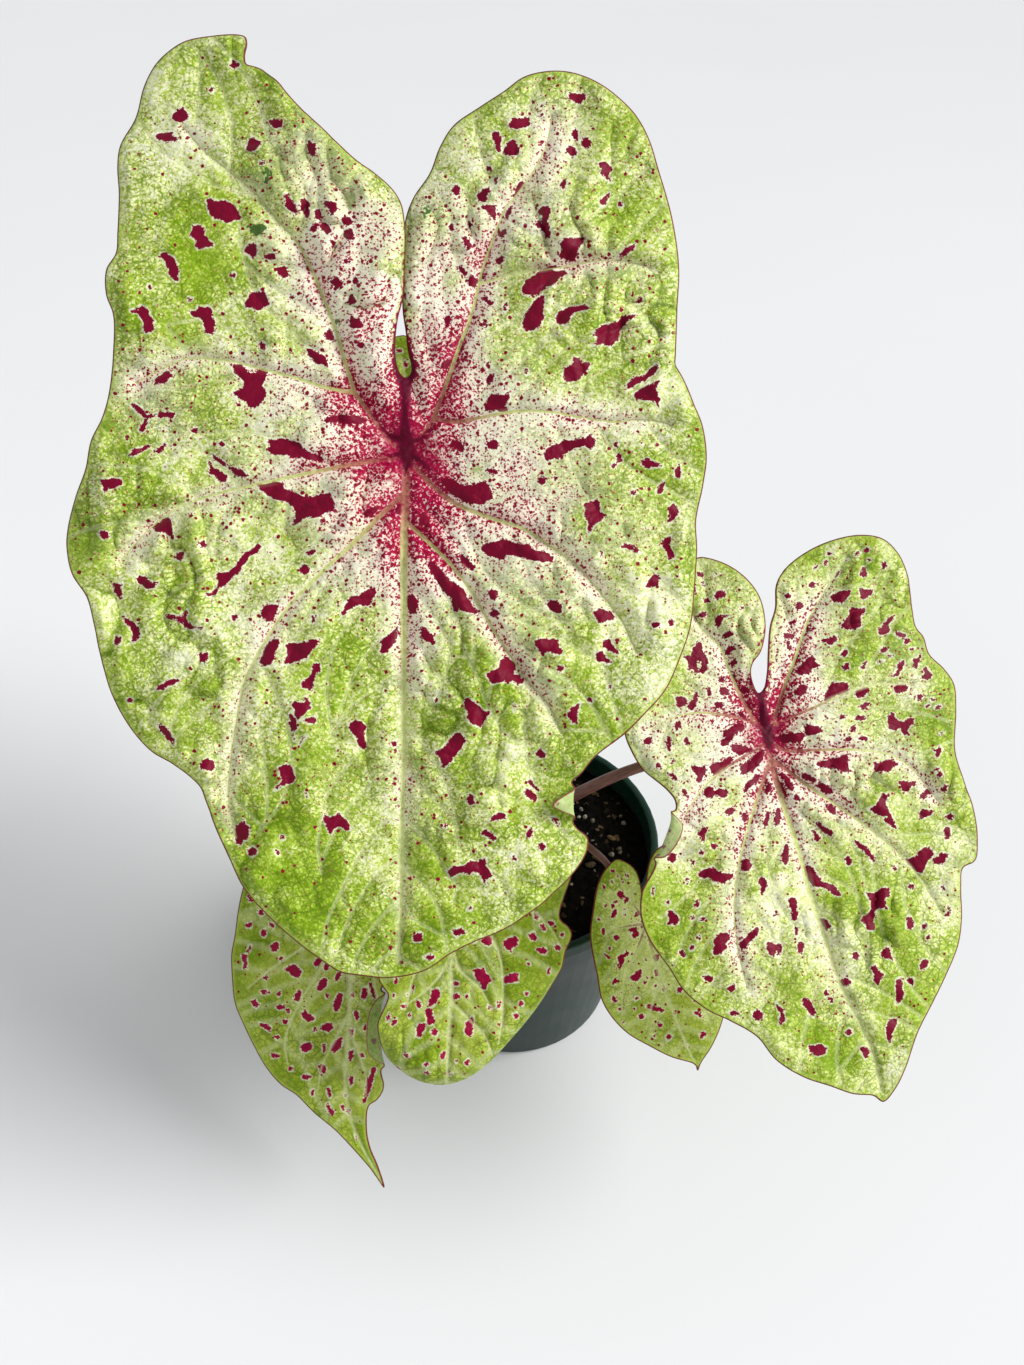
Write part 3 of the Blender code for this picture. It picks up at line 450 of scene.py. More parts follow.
# Red blotches: centre, width, height, tilt (negative rises to the right).
BLOTS = {
    "a": [
        (235, 65, 11, 10, 0), (183.5, 115, 17, 13, 0), (166, 138, 21, 10, 0), (254, 145, 19, 17, 0), (277.5, 124, 11, 11, 30),
        (312, 148, 9, 15, -15), (224, 211, 32, 17, 15), (201, 237.5, 17, 22, 0), (171, 267, 30, 11, 65), (146, 320, 14, 25, -15),
        (206, 320, 20, 28, -15), (258, 301, 24, 17, 0), (252, 251.5, 11, 14, 0), (282.5, 272.5, 12, 12, 0), (270, 256.5, 11, 5, 0),
        (290, 205, 11, 21, -20), (305, 209, 9, 20, 0), (329, 207, 10, 14, 0), (318, 214, 7, 11, 0), (344, 221, 11, 8, 0),
        (346, 235, 10, 11, 0), (324, 228, 11, 11, 0), (314, 229, 7, 10, 0), (332, 244.5, 7, 14, 0), (334, 283, 11, 11, 0),
        (355.5, 324, 12, 12, 0), (328, 336, 10, 12, 0), (318, 357.5, 22, 12, 40), (164, 378, 18, 12, -35),
        (246, 378, 22, 20, 0), (254, 393, 26, 22, 0), (168, 415, 18, 7, 0), (195, 430, 8, 7, 0),
        (140, 450, 18, 8, -20), (345, 419, 39, 9, 5), (112, 485, 18, 12, 0), (166, 528, 18, 20, 0), (104, 534, 9, 9, 0),
        (180, 556.5, 9, 7, 0), (147, 583, 20, 12, 0), (118, 590, 9, 14, 0), (269, 613, 16, 15, 0),
        (234, 618, 8, 6, 0), (270, 653, 15, 26, 0), (300, 650, 34, 19, -15), (311, 677, 30, 14, -60), (302, 711, 12, 24, 10),
        (296, 722, 8, 12, 0), (309, 720, 6, 6, 0), (358, 733, 15, 28, -8), (286, 776, 17, 22, 0), (336, 822, 27, 18, 0),
        (242, 832.5, 14, 24, 10), (252, 851, 11, 9, 0), (204, 657, 12, 10, 0), (168.5, 684, 22, 6, -25), (167, 733, 26, 7, 50),
        (208, 765, 12, 11, 0), (130, 700, 6, 6, 0), (312, 552, 11, 7, 0), (304, 569, 11, 12, 0), (357, 601, 36, 14, -30),
        (389.5, 640, 27, 11, -55), (412, 605, 10, 20, 0), (399, 512, 8, 10, 0), (313, 618, 5, 7, 0), (201, 544, 7, 6, 0),
        (282, 838, 5, 5, 0), (276, 852, 5, 5, 0), (392, 744, 5, 5, 0), (577, 98, 17, 10, 0), (520, 124, 20, 9, 0),
        (511, 148.5, 15, 15, 0), (497, 142, 7, 20, 0), (575.5, 135, 7, 11, 0), (585, 144, 10, 10, 0), (571, 152, 11, 11, 0),
        (606, 172, 12, 19, 0), (604, 200, 8, 15, 0), (456, 190, 7, 11, 0), (484, 195, 13, 13, 0), (489, 210, 12, 14, 0),
        (518, 189, 18, 8, -55), (508.5, 217, 16, 8, -60), (503, 232, 9, 10, 0), (545, 222, 14, 30, -10), (570, 248, 26, 23, 0),
        (627, 251, 18, 6, -35), (545, 280, 44, 20, -30), (534, 316, 36, 16, -62), (571, 316, 32, 12, -20), (606, 336, 24, 20, 0),
        (575.5, 372, 26, 16, -25), (642, 378, 30, 8, -35), (646.5, 395, 24, 14, 0), (496, 402, 22, 17, 0), (489, 380, 9, 7, 0),
        (488, 365.5, 7, 9, 0), (569, 447.5, 50, 13, -18), (458, 446.5, 14, 8, 0), (491, 444.5, 11, 8, 0), (464, 244, 8, 13, 0),
        (461, 270, 8, 12, 0), (472, 282, 11, 12, 0), (488, 302, 12, 7, 0), (505, 307, 4, 8, 0), (485, 324, 8, 7, 0),
        (449, 320, 8, 9, 0), (501, 260, 7, 7, 0), (462, 348, 5, 13, 0), (446, 364, 7, 9, 0), (563, 185, 6, 8, 0),
        (489, 168, 5, 5, 0), (496, 181, 5, 7, 0), (517.5, 551, 70, 15, 10), (594, 515, 20, 26, 0), (555, 606, 15, 14, 0),
        (605, 615, 20, 14, 0), (548.6, 646, 25, 13, 0), (607, 650, 22, 14, -25), (611, 658, 12, 10, 0), (505, 672, 35, 24, 0),
        (476, 712, 24, 27, 0), (451, 750, 30, 22, -45), (573, 712, 10, 20, 20), (541, 753, 10, 9, 0), (531, 785, 12, 5, 20),
        (530, 794, 11, 9, 0), (498, 816, 14, 9, 0), (488, 835, 14, 9, 0), (529, 832, 6, 12, 0), (541, 846, 7, 7, 0),
        (471, 870, 42, 14, -5), (472, 799, 7, 10, 0), (653, 581, 18, 12, -30), (673, 513, 9, 21, 0), (669, 549, 9, 21, 0),
        (660, 487.5, 7, 10, 0), (650, 463, 18, 8, 0), (677, 472, 7, 14, 0), (618, 460, 5, 12, 0), (655, 625, 9, 6, 0),
        (670, 622, 6, 8, 0), (426, 636, 12, 14, 0), (467, 562, 16, 10, 45), (494, 594, 8, 10, 0), (494, 613, 8, 8, 0),
        (424, 520, 10, 14, 0), (450, 536, 6, 6, 0), (492, 471, 10, 5, 0), (542, 480, 8, 7, 0), (418, 937.5, 10, 10, 0),
        (459, 931, 12, 8, -30), (429, 957, 10, 4, 0), (514, 857, 7, 7, 0), (470, 908, 5, 5, 0), (393, 744, 6, 6, 0),
        (212, 91, 6, 6, 0), (262, 163, 5, 5, 0), (118, 640, 6, 9, 0), (437, 700, 4, 6, 0), (560, 668, 6, 7, 0), (590, 700, 5, 6, 0),
        (233, 276, 5, 5, 0), (190, 300, 4, 5, 0), (150, 288, 4, 5, 0), (222, 445, 6, 6, 0), (640, 300, 6, 5, 0), (620, 205, 5, 5, 0),
        (350, 300, 7, 8, 0), (345, 262, 6, 7, 0), (362, 345, 7, 7, 0), (470, 225, 6, 9, 0), (452, 228, 5, 8, 0), (600, 800, 7, 8, 0),
    ],
    "b": [
        (656, 843, 7, 5, 20), (662, 827, 6, 4, 0), (651, 853, 6, 4, 0), (650, 863, 5, 4, 0),
        (696, 655, 12, 26, 10), (693, 668, 15, 9, 0), (720, 595, 11, 8, 0), (719, 620, 8, 11, 0), (730, 649, 11, 8, 0), (680, 702, 11, 11, 0),
        (691, 704, 10, 11, 0), (721, 680, 7, 6, 0), (722, 691, 11, 6, 0), (719, 705, 8, 5, 0), (686, 741, 6, 7, 0), (669, 744, 4, 13, 0),
        (647, 741, 9, 8, 0), (732, 735, 26, 18, -40), (740.5, 750, 20, 9, 0), (721, 765, 24, 14, 0), (750, 765, 30, 12, -35),
        (699, 773, 14, 17, 0), (752, 783, 22, 10, -45), (716, 792.5, 24, 9, 0), (729, 812, 9, 9, 0), (745, 817, 6, 11, 0),
        (768, 788, 5, 11, 0), (786, 784, 22, 8, 60), (766, 820, 5, 17, 0), (777, 816, 5, 16, 0), (785, 854, 7, 21, 0),
        (791, 737, 35, 8, 0), (812, 729, 16, 10, 0), (834, 763, 34, 15, 0), (885, 766, 25, 12, 0), (900, 725, 24, 18, 0),
        (851, 619, 24, 18, -35), (840, 598, 20, 12, 0), (865, 593, 13, 11, 0), (862, 572, 8, 10, 0), (884, 626, 15, 18, 0),
        (830, 641, 15, 8, 0), (809, 665, 20, 16, 0), (799, 691, 12, 12, 0), (836, 691, 24, 16, -20), (861, 692, 13, 8, 0),
        (901, 688, 14, 8, 0), (925, 673, 11, 12, 0), (916, 661, 8, 15, 0), (899, 668.5, 7, 16, 0), (844, 653, 8, 5, 0),
        (846, 667, 7, 7, 0), (906, 787, 15, 11, 0), (925, 794, 11, 9, 0), (924.5, 814, 11, 9, 0), (949, 817, 8, 7, 0),
        (946, 833, 5, 12, 0), (880, 803, 16, 12, 0), (887, 818, 14, 16, 20), (822, 778, 30, 9, 30), (830, 809, 10, 10, 0), (823, 828, 16, 13, 40),
        (815, 835, 8, 11, 0), (864, 851, 26, 7, 45), (848, 860, 5, 10, 0), (919.5, 861, 28, 18, 0), (940, 858, 15, 11, 0),
        (877, 897, 20, 18, 0), (867, 920, 12, 18, 0), (792, 908, 6, 21, 0), (800, 948, 5, 13, 0), (763, 885.5, 8, 17, 0),
        (745, 864, 9, 11, 0), (715, 876, 34, 14, 0), (702, 835, 9, 15, 0), (672, 858, 11, 9, 0), (672, 918, 11, 15, 0),
        (721, 943, 17, 20, 0), (748.5, 937, 26, 11, -45), (767, 949, 6, 12, 0), (778, 950, 6, 12, 0), (773, 943, 13, 6, 0),
        (825, 923, 12, 13, 0), (885, 954, 13, 11, 0), (875.5, 973.5, 14, 18, 0), (898.5, 991, 8, 26, 0), (909, 923, 9, 13, 0),
        (924, 926, 6, 6, 0), (923, 964, 9, 11, 0), (911, 980, 8, 7, 0), (856, 955.5, 8, 6, 0), (844, 981, 11, 5, 0),
        (828.5, 994.5, 8, 11, 0), (809, 1007, 17, 12, 45), (780, 1012.5, 7, 21, 0), (758, 1015, 13, 10, 0), (733, 1012.5, 10, 5, 0),
        (731, 988, 8, 8, 0), (707, 977, 11, 7, 0), (682, 954, 10, 8, 0), (817, 1049, 19, 11, 0), (864, 1052, 9, 10, 0),
        (849, 1031, 7, 7, 0), (891, 1029, 23, 10, -75), (946, 911.5, 7, 12, 0), (910, 887, 6, 6, 0), (938, 752, 8, 11, 0),
        (655, 690, 9, 8, 0), (664, 668, 8, 7, 0), (676, 640, 9, 8, 0), (690, 590, 9, 8, 0), (700, 575, 7, 6, 0),
    ],
    "c": [
        (275, 946, 8, 10, 0), (264, 932, 6, 9, 0), (245.5, 960, 5, 15, 0), (293.5, 970.5, 18, 11, 0), (323, 984, 14, 8, -55),
        (338, 1002, 7, 19, 0), (297, 995, 7, 11, 0), (265, 991, 10, 4, 0), (255, 1003, 9, 9, 0), (280.5, 1007, 10, 6, 0),
        (308.5, 1016, 13, 10, 0), (327, 1027, 12, 10, 0), (266, 1026, 12, 8, 0), (277, 1036, 5, 5, 0), (307, 1046, 11, 10, 0),
        (337, 1045, 9, 14, 0), (324, 1048, 3, 8, 0), (275, 1055, 8, 3, 0), (323, 1068, 7, 9, 0), (306, 1077, 11, 7, 0),
        (351, 1055, 4, 11, 0), (362, 1054, 6, 6, 0), (351, 1032, 5, 8, 0), (365, 994, 6, 11, 0), (373, 988, 4, 15, 0),
        (351, 1081, 4, 9, 0), (330, 1093, 4, 12, 0), (331, 1109.5, 7, 9, 0), (349, 1111, 5, 7, 0), (318, 961.5, 6, 8, 0),
        (338, 976, 6, 8, 0), (376, 1028, 3, 6, 0), (250, 925, 6, 8, 0), (262, 905, 8, 7, 0), (290, 925, 7, 9, 0), (312, 932, 8, 7, 0),
        (300, 900, 7, 8, 0), (280, 875, 8, 9, 0), (334, 950, 6, 9, 0), (372, 905, 7, 9, 0), (380, 935, 6, 9, 0), (395, 1040, 5, 8, 0),
    ],
    "d": [
        (511, 943, 14, 15, 0), (487, 941, 9, 9, 0), (482, 978, 15, 21, 0), (511, 979, 15, 9, 0), (434, 997, 10, 18, 0),
        (430, 1017, 10, 13, 0), (421, 1030, 9, 14, 0), (434, 1033, 6, 6, 0), (418.5, 1004, 5, 9, 0), (404, 1006, 7, 4, 0),
        (394, 1021, 6, 5, 0), (388, 1016, 4, 7, 0), (469.5, 1026, 9, 19, 0), (456.5, 996.5, 6, 6, 0), (456, 984, 6, 4, 0),
        (443, 1055, 5, 8, 0), (467, 1061.5, 6, 7, 0), (426, 1064, 5, 5, 0), (407, 1055, 6, 3, 0), (490, 1007, 7, 4, 0),
        (499, 1004, 4, 5, 0), (515, 1016, 5, 6, 0), (549, 970.5, 3, 6, 0), (543.5, 950, 9, 5, 0), (558, 948, 7, 6, 0),
        (533, 936, 7, 7, 0), (536, 914, 5, 10, 0), (552, 922.5, 6, 4, 0), (562, 935, 3, 6, 0), (420, 950, 8, 9, 0), (440, 930, 8, 10, 0),
        (410, 930, 7, 8, 0), (470, 905, 8, 9, 0), (500, 905, 9, 8, 0), (530, 880, 9, 9, 0), (550, 870, 7, 8, 0), (410, 880, 8, 8, 0),
        (430, 1100, 7, 9, 0), (460, 1105, 7, 8, 0), (445, 1130, 6, 8, 0), (500, 1080, 7, 8, 0), (400, 1075, 5, 6, 0),
    ],
    "e": [
        (620, 895, 7, 8, 0), (626, 900.5, 5, 8, 0), (614, 914, 6, 10, 0), (616, 938, 6, 6, 0), (602.5, 931, 4, 5, 0),
        (606, 955, 4, 6, 0), (621, 961, 5, 16, 0), (655.6, 973, 5, 7, 0), (655.6, 958, 6, 6, 0), (614, 981, 4, 8, 0),
        (636, 998, 6, 4, 0), (614, 999, 6, 8, 0), (641, 1016, 6, 6, 0), (654.5, 1008, 18, 5, 15), (660, 1024, 4, 5, 0),
        (668, 1037, 6, 6, 0), (697.5, 1013, 7, 6, 0), (703, 1034, 6, 7, 0), (679, 989, 6, 6, 0), (664, 988, 3, 8, 0),
        (633, 928, 8, 5, 0), (630, 936, 5, 7, 0), (636, 935, 4, 8, 0), (633, 972, 6, 6, 0), (638, 979, 7, 6, 0), (680, 900, 8, 8, 0),
        (696, 930, 8, 9, 0), (672, 925, 7, 8, 0), (700, 965, 7, 9, 0), (666, 868, 6, 6, 0),
    ],
    "f": [
        (399.5, 351, 8, 4, 0), (406, 363.5, 5, 8, 0), (380, 380, 9, 8, 0), (365, 420, 10, 9, 0), (395, 420, 8, 9, 0), (350, 470, 9, 10, 0),
        (385, 500, 11, 9, 0), (360, 530, 9, 9, 0), (400, 560, 9, 12, 0), (390, 600, 8, 8, 0), (450, 400, 8, 9, 0), (480, 400, 9, 9, 0),
        (500, 440, 8, 10, 0), (470, 450, 8, 8, 0), (480, 510, 10, 9, 0), (450, 530, 8, 10, 0), (470, 590, 9, 9, 0), (445, 630, 8, 9, 0),
        (415, 640, 7, 8, 0), (505, 500, 7, 8, 0),
    ],
}
# Longer streaks: width, points.
STREAKS = {
    "a": [
        (5, [(133.5, 406), (147, 418), (142, 431)]), (4, [(147, 418), (156, 415)]), (13, [(267, 442), (285, 446), (324, 457)]),
        (5, [(212.7, 452), (230, 463), (247.5, 475)]), (5, [(210, 463), (229, 481.5)]), (4, [(232, 455), (246, 470)]),
        (12, [(262, 487), (288, 499), (330, 498)]), (15, [(296, 505), (318, 505), (331, 503)]), (8, [(288, 499), (297, 521)]),
        (5, [(124, 615), (140, 627), (130, 644)]), (5, [(166, 616), (190, 621), (205, 628)]), (4, [(179, 611), (190, 621)]),
        (7, [(206, 595), (226, 579), (246, 560), (261, 546)]), (10, [(218, 585), (232, 573)]), (5, [(286, 776), (274, 791)]),
        (7, [(236, 372), (262, 376)]), (6, [(236, 388), (246, 392)]),
        (18, [(447, 483), (470, 493), (488, 500)]), (11, [(440, 480), (492, 488)]), (13, [(430, 566), (452, 588), (474, 610)]),
        (6, [(606, 336), (636, 316)]), (6, [(625, 336), (606, 340)]), (7, [(635, 372), (660, 372)]), (5, [(594, 515), (592, 540)]),
        (5, [(497, 816), (483, 822)]), (7, [(452, 872), (446, 876)]), (7, [(486, 862), (492, 880)]), (5, [(600, 645), (616, 656)]),
        (5, [(558, 256), (545, 262)]), (6, [(520, 300), (548, 270)]),
    ],
    "b": [
        (5, [(691, 640), (697, 650), (703, 668)]), (9, [(805, 866), (822, 880)]), (6, [(820, 878), (839, 895)]),
        (5, [(820, 757), (850, 768)]), (5, [(874, 797), (890, 797), (890, 826)]), (6, [(905, 862), (935, 854)]),
    ],
    "c": [(5, [(374, 1069), (369, 1085), (365, 1100)]), (4, [(371, 985), (376, 1000)])],
    "d": [(4, [(431, 990), (436, 1008)]), (5, [(430, 1010), (424, 1030)])],
    "e": [(3, [(626, 975), (640, 968)]), (3, [(620, 955), (623, 970)])],
    "f": [],
}

# Outlines of the blotches that stand out most. Each group is drawn on its own
# larger grid: offset x, offset y, grid units to one view unit, outlines.
SHAPES = {
    "a": [
        (100, 180, 4.615, [
            [(490, 95), (510, 90), (545, 102), (570, 95), (600, 108), (630, 135), (642, 155), (656, 182), (630, 185), (605, 192), (585, 200), (560, 185), (528, 183), (515, 165), (503, 150), (500, 125)],
            [(428, 215), (455, 210), (483, 222), (483, 255), (500, 280), (525, 300), (520, 310), (480, 315), (450, 322), (440, 310), (448, 285), (430, 270), (415, 262), (425, 245)],
            [(280, 345), (300, 338), (318, 350), (340, 360), (352, 385), (358, 410), (368, 430), (360, 445), (362, 470), (350, 470), (338, 455), (322, 440), (320, 415), (308, 400), (300, 375), (285, 365)],
            [(140, 600), (180, 600), (182, 583), (205, 583), (225, 605), (232, 630), (253, 655), (240, 668), (250, 690), (240, 705), (210, 708), (200, 690), (205, 665), (190, 640), (178, 618), (150, 612)],
            [(415, 605), (445, 605), (458, 585), (480, 590), (505, 585), (518, 600), (518, 635), (535, 655), (528, 680), (535, 700), (515, 718), (488, 708), (485, 685), (478, 660), (465, 640), (440, 635), (420, 622)],
            [(690, 530), (710, 520), (740, 522), (760, 515), (765, 535), (780, 560), (795, 572), (775, 585), (750, 595), (735, 607), (710, 595), (680, 590), (668, 570), (685, 555)],
            [(678, 310), (700, 292), (722, 300), (728, 325), (722, 350), (705, 367), (690, 350), (672, 345), (668, 328)],
            [(815, 410), (840, 408), (858, 400), (862, 425), (875, 445), (850, 455), (830, 440), (812, 428)],
            [(850, 65), (868, 68), (885, 95), (905, 120), (910, 145), (905, 160), (880, 145), (862, 125), (855, 95)],
            [(925, 90), (950, 85), (965, 110), (965, 140), (965, 180), (950, 175), (940, 150), (925, 140)],
            [(1035, 100), (1060, 105), (1080, 108), (1085, 130), (1075, 160), (1060, 160), (1055, 130), (1038, 118)],
            [(1100, 175), (1130, 175), (1150, 185), (1150, 215), (1125, 215), (1110, 195)],
            [(1118, 235), (1150, 225), (1158, 250), (1155, 278), (1130, 280), (1118, 262)],
            [(990, 140), (1015, 140), (1020, 165), (1015, 190), (995, 180)],
            [(1015, 195), (1040, 200), (1055, 225), (1068, 245), (1045, 250), (1022, 240), (1012, 220)],
            [(1058, 275), (1080, 280), (1085, 300), (1080, 330), (1068, 325), (1058, 300)],
            [(1060, 460), (1090, 450), (1105, 470), (1112, 490), (1095, 505), (1075, 490), (1058, 480)],
            [(250, 935), (270, 915), (290, 900), (315, 880), (330, 895), (340, 910), (315, 920), (305, 940), (275, 945)],
            [(960, 780), (990, 790), (1010, 800), (1040, 820), (1050, 840), (1060, 870), (1030, 850), (1000, 850), (980, 825), (962, 810)],
            [(1035, 710), (1050, 690), (1070, 700), (1085, 745), (1060, 745), (1035, 735)],
            [(610, 860), (650, 855), (672, 870), (685, 895), (715, 895), (740, 875), (775, 890), (760, 930), (750, 950), (765, 980), (760, 1010), (740, 1035), (715, 1055), (690, 1050), (675, 1025), (650, 1010), (610, 990), (640, 975), (665, 965), (665, 935), (650, 915), (620, 885)],
            [(755, 355), (780, 345), (800, 338), (812, 355), (800, 368), (780, 365)],
            [(733, 755), (755, 752), (772, 775), (765, 788), (745, 780)],
            [(1155, 450), (1170, 445), (1178, 465), (1168, 485), (1155, 475)],
            [(1150, 650), (1170, 635), (1195, 650), (1200, 680), (1170, 690), (1155, 670)],
            [(870, 535), (900, 532), (905, 545), (880, 550)]]),
        (430, 90, 4.444, [
            [(612, 15), (650, 20), (696, 22), (690, 42), (665, 65), (640, 55), (618, 40)],
            [(352, 155), (365, 130), (400, 128), (440, 125), (443, 165), (410, 170), (385, 175), (355, 168)],
            [(275, 190), (305, 188), (310, 210), (328, 215), (312, 235), (318, 270), (302, 280), (292, 245), (280, 220)],
            [(325, 290), (335, 260), (350, 235), (365, 222), (385, 235), (395, 270), (395, 285), (370, 300), (345, 290)],
            [(605, 262), (625, 252), (650, 265), (655, 285), (635, 305), (618, 292)],
            [(675, 225), (695, 212), (710, 230), (712, 255), (690, 265), (675, 245)],
            [(630, 185), (645, 172), (660, 190), (660, 215), (645, 225), (632, 210)],
            [(752, 330), (775, 322), (795, 340), (812, 345), (800, 370), (795, 385), (802, 410), (785, 405), (770, 385), (755, 375), (760, 350)],
            [(765, 480), (798, 458), (790, 485), (775, 515), (758, 525), (752, 500)],
            [(580, 430), (590, 405), (602, 405), (605, 430), (590, 445)],
            [(365, 470), (385, 430), (405, 402), (418, 410), (412, 430), (392, 460), (372, 478)],
            [(208, 470), (235, 445), (265, 432), (268, 455), (250, 475), (252, 495), (235, 500), (212, 490)],
            [(225, 520), (250, 515), (290, 512), (292, 545), (285, 575), (265, 560), (248, 540)],
            [(100, 435), (128, 420), (132, 450), (120, 475), (102, 455)],
            [(480, 545), (500, 520), (528, 515), (535, 540), (525, 570), (525, 600), (540, 630), (540, 650), (515, 658), (500, 625), (475, 612), (462, 595), (480, 585), (505, 575), (500, 555)],
            [(570, 680), (605, 662), (650, 660), (690, 652), (685, 670), (660, 700), (650, 740), (640, 765), (610, 755), (575, 745), (565, 730), (585, 715), (588, 690)],
            [(410, 885), (430, 850), (465, 830), (500, 800), (530, 782), (565, 775), (570, 785), (540, 800), (560, 808), (600, 805), (608, 820), (570, 840), (555, 865), (520, 875), (480, 910), (440, 915), (420, 910), (410, 895)],
            [(490, 920), (508, 915), (510, 945), (500, 975), (505, 1010), (490, 1045), (470, 1066), (430, 1075), (410, 1050), (415, 1020), (430, 985), (455, 960), (465, 935)],
            [(558, 1010), (575, 985), (610, 970), (660, 962), (700, 958), (708, 975), (680, 985), (650, 985), (630, 1010), (610, 1040), (575, 1045), (560, 1030)],
            [(735, 1066), (770, 1045), (820, 1035), (860, 1010), (915, 1000), (880, 1030), (850, 1060), (840, 1090), (830, 1117), (800, 1142), (760, 1127), (720, 1137), (745, 1116), (725, 1076)],
            [(830, 745), (850, 720), (880, 700), (912, 685), (908, 705), (885, 720), (860, 735)],
            [(300, 640), (330, 620), (345, 635), (330, 655), (305, 658)],
            [(120, 790), (140, 775), (165, 810), (160, 825), (135, 810)],
            [(165, 850), (190, 825), (208, 850), (195, 880), (170, 870)],
            [(330, 565), (350, 530), (372, 508), (365, 540), (345, 585)],
            [(295, 760), (315, 740), (333, 745), (330, 765), (305, 775)],
            [(235, 925), (250, 920), (285, 950), (270, 965), (245, 945)],
            [(325, 965), (340, 945), (345, 970), (333, 990)],
            [(62, 1010), (85, 1000), (98, 1020), (85, 1050), (65, 1035)],
            [(455, 165), (470, 160), (465, 180)],
            [(135, 655), (160, 660), (185, 690), (175, 715), (155, 690)],
            [(485, 65), (500, 68), (495, 82)],
            [(485, 112), (502, 108), (500, 125)],
            [(250, 345), (265, 335), (278, 355), (260, 362)],
            [(280, 405), (300, 390), (308, 405), (290, 425)]]),
        (430, 330, 4.444, [
            [(872, 262), (880, 235), (910, 215), (950, 205), (990, 165), (1012, 155), (1015, 175), (985, 205), (950, 230), (920, 240), (890, 262)],
            [(905, 285), (940, 265), (970, 245), (1000, 240), (1030, 215), (1005, 255), (1015, 300), (1018, 345), (1000, 320), (975, 315), (940, 310), (910, 300)],
            [(590, 205), (600, 170), (635, 150), (632, 125), (665, 125), (670, 148), (705, 145), (708, 165), (680, 200), (650, 225), (620, 230), (598, 225)],
            [(245, 355), (255, 320), (262, 290), (290, 288), (320, 292), (352, 275), (350, 310), (335, 330), (345, 362), (310, 360), (280, 355)],
            [(245, 150), (258, 138), (270, 165), (250, 178)],
            [(248, 215), (265, 200), (285, 195), (282, 230), (265, 240), (248, 232)],
            [(505, 545), (530, 520), (560, 510), (580, 500), (590, 487), (630, 492), (665, 485), (690, 482), (705, 468), (735, 485), (725, 530), (705, 530), (690, 515), (650, 525), (610, 545), (590, 550), (580, 575), (545, 570), (515, 585), (508, 565)],
            [(88, 500), (120, 492), (150, 510), (160, 535), (140, 540), (105, 530)],
            [(245, 510), (275, 492), (300, 495), (298, 530), (270, 530)],
            [(245, 620), (270, 615), (310, 630), (290, 645), (262, 635)],
            [(45, 670), (70, 658), (110, 668), (140, 690), (190, 692), (230, 675), (255, 680), (272, 720), (285, 755), (250, 760), (235, 782), (200, 770), (160, 765), (130, 745), (100, 735), (80, 705), (55, 690)],
            [(225, 975), (240, 950), (290, 945), (315, 930), (350, 940), (390, 948), (430, 955), (470, 985), (510, 990), (550, 1015), (540, 1030), (500, 1030), (440, 1020), (380, 1005), (340, 1000), (330, 1025), (290, 1015), (250, 995)],
            [(480, 665), (500, 650), (518, 668), (505, 690), (482, 680)],
            [(680, 775), (715, 765), (745, 752), (755, 780), (758, 812), (782, 825), (760, 850), (735, 865), (720, 885), (712, 905), (698, 895), (705, 860), (685, 830), (690, 800)],
            [(1085, 630), (1105, 595), (1115, 630), (1112, 660), (1090, 655)],
            [(940, 580), (970, 570), (990, 585), (1035, 605), (1000, 610), (960, 612), (940, 600)],
            [(1000, 725), (1015, 695), (1040, 668), (1038, 700), (1025, 730)],
            [(1055, 860), (1065, 830), (1060, 790), (1080, 768), (1095, 790), (1108, 810), (1085, 845)],
            [(1030, 940), (1050, 920), (1075, 920), (1062, 955), (1080, 990), (1090, 1015), (1060, 1022), (1055, 990), (1035, 970)],
            [(800, 605), (825, 590), (830, 560), (840, 545), (855, 575), (840, 590), (815, 612)],
            [(820, 500), (835, 498), (838, 520), (825, 520)],
            [(415, 175), (435, 175), (440, 195), (425, 200)],
            [(892, 720), (912, 712), (912, 730), (898, 735)],
            [(850, 965), (870, 950), (905, 965), (938, 990), (905, 985), (875, 970)],
            [(550, 655), (565, 655), (562, 672), (550, 670)],
            [(50, 160), (70, 130), (95, 130), (85, 170), (65, 175)],
            [(752, 988), (765, 985), (760, 1008), (750, 1005)]]),
        (240, 420, 4.615, [
            [(115, 95), (150, 92), (200, 88), (240, 92), (280, 110), (300, 140), (340, 155), (385, 175), (390, 188), (360, 187), (320, 185), (290, 175), (250, 175), (210, 160), (150, 160), (125, 135), (140, 120)],
            [(80, 300), (130, 295), (165, 285), (195, 290), (205, 318), (250, 335), (300, 355), (340, 355), (370, 345), (420, 342), (428, 370), (440, 390), (435, 420), (400, 425), (370, 448), (330, 450), (290, 458), (265, 480), (240, 488), (265, 440), (255, 410), (225, 380), (180, 372), (130, 350), (95, 325)],
            [(565, 435), (590, 410), (620, 400), (640, 395), (625, 425), (600, 445), (575, 448)],
            [(715, 430), (735, 385), (748, 380), (745, 420), (730, 440)],
            [(825, 435), (850, 430), (870, 470), (875, 495), (855, 500), (835, 465)],
            [(465, 900), (485, 850), (510, 820), (545, 810), (570, 790), (620, 770), (628, 800), (610, 830), (600, 862), (570, 852), (540, 850), (500, 875), (480, 895)],
            [(95, 885), (125, 855), (160, 850), (180, 855), (165, 885), (150, 925), (125, 930), (100, 905)],
            [(275, 690), (290, 665), (320, 675), (325, 700), (300, 710), (278, 710)],
            [(310, 610), (340, 598), (355, 610), (330, 628), (312, 622)],
            [(770, 812), (800, 808), (818, 830), (822, 860), (815, 895), (790, 898), (775, 870)],
            [(865, 660), (885, 655), (905, 670), (930, 700), (960, 735), (1000, 760), (1030, 790), (1050, 830), (1095, 885), (1085, 895), (1040, 885), (1010, 865), (1005, 885), (990, 880), (975, 820), (940, 790), (905, 745), (885, 705)],
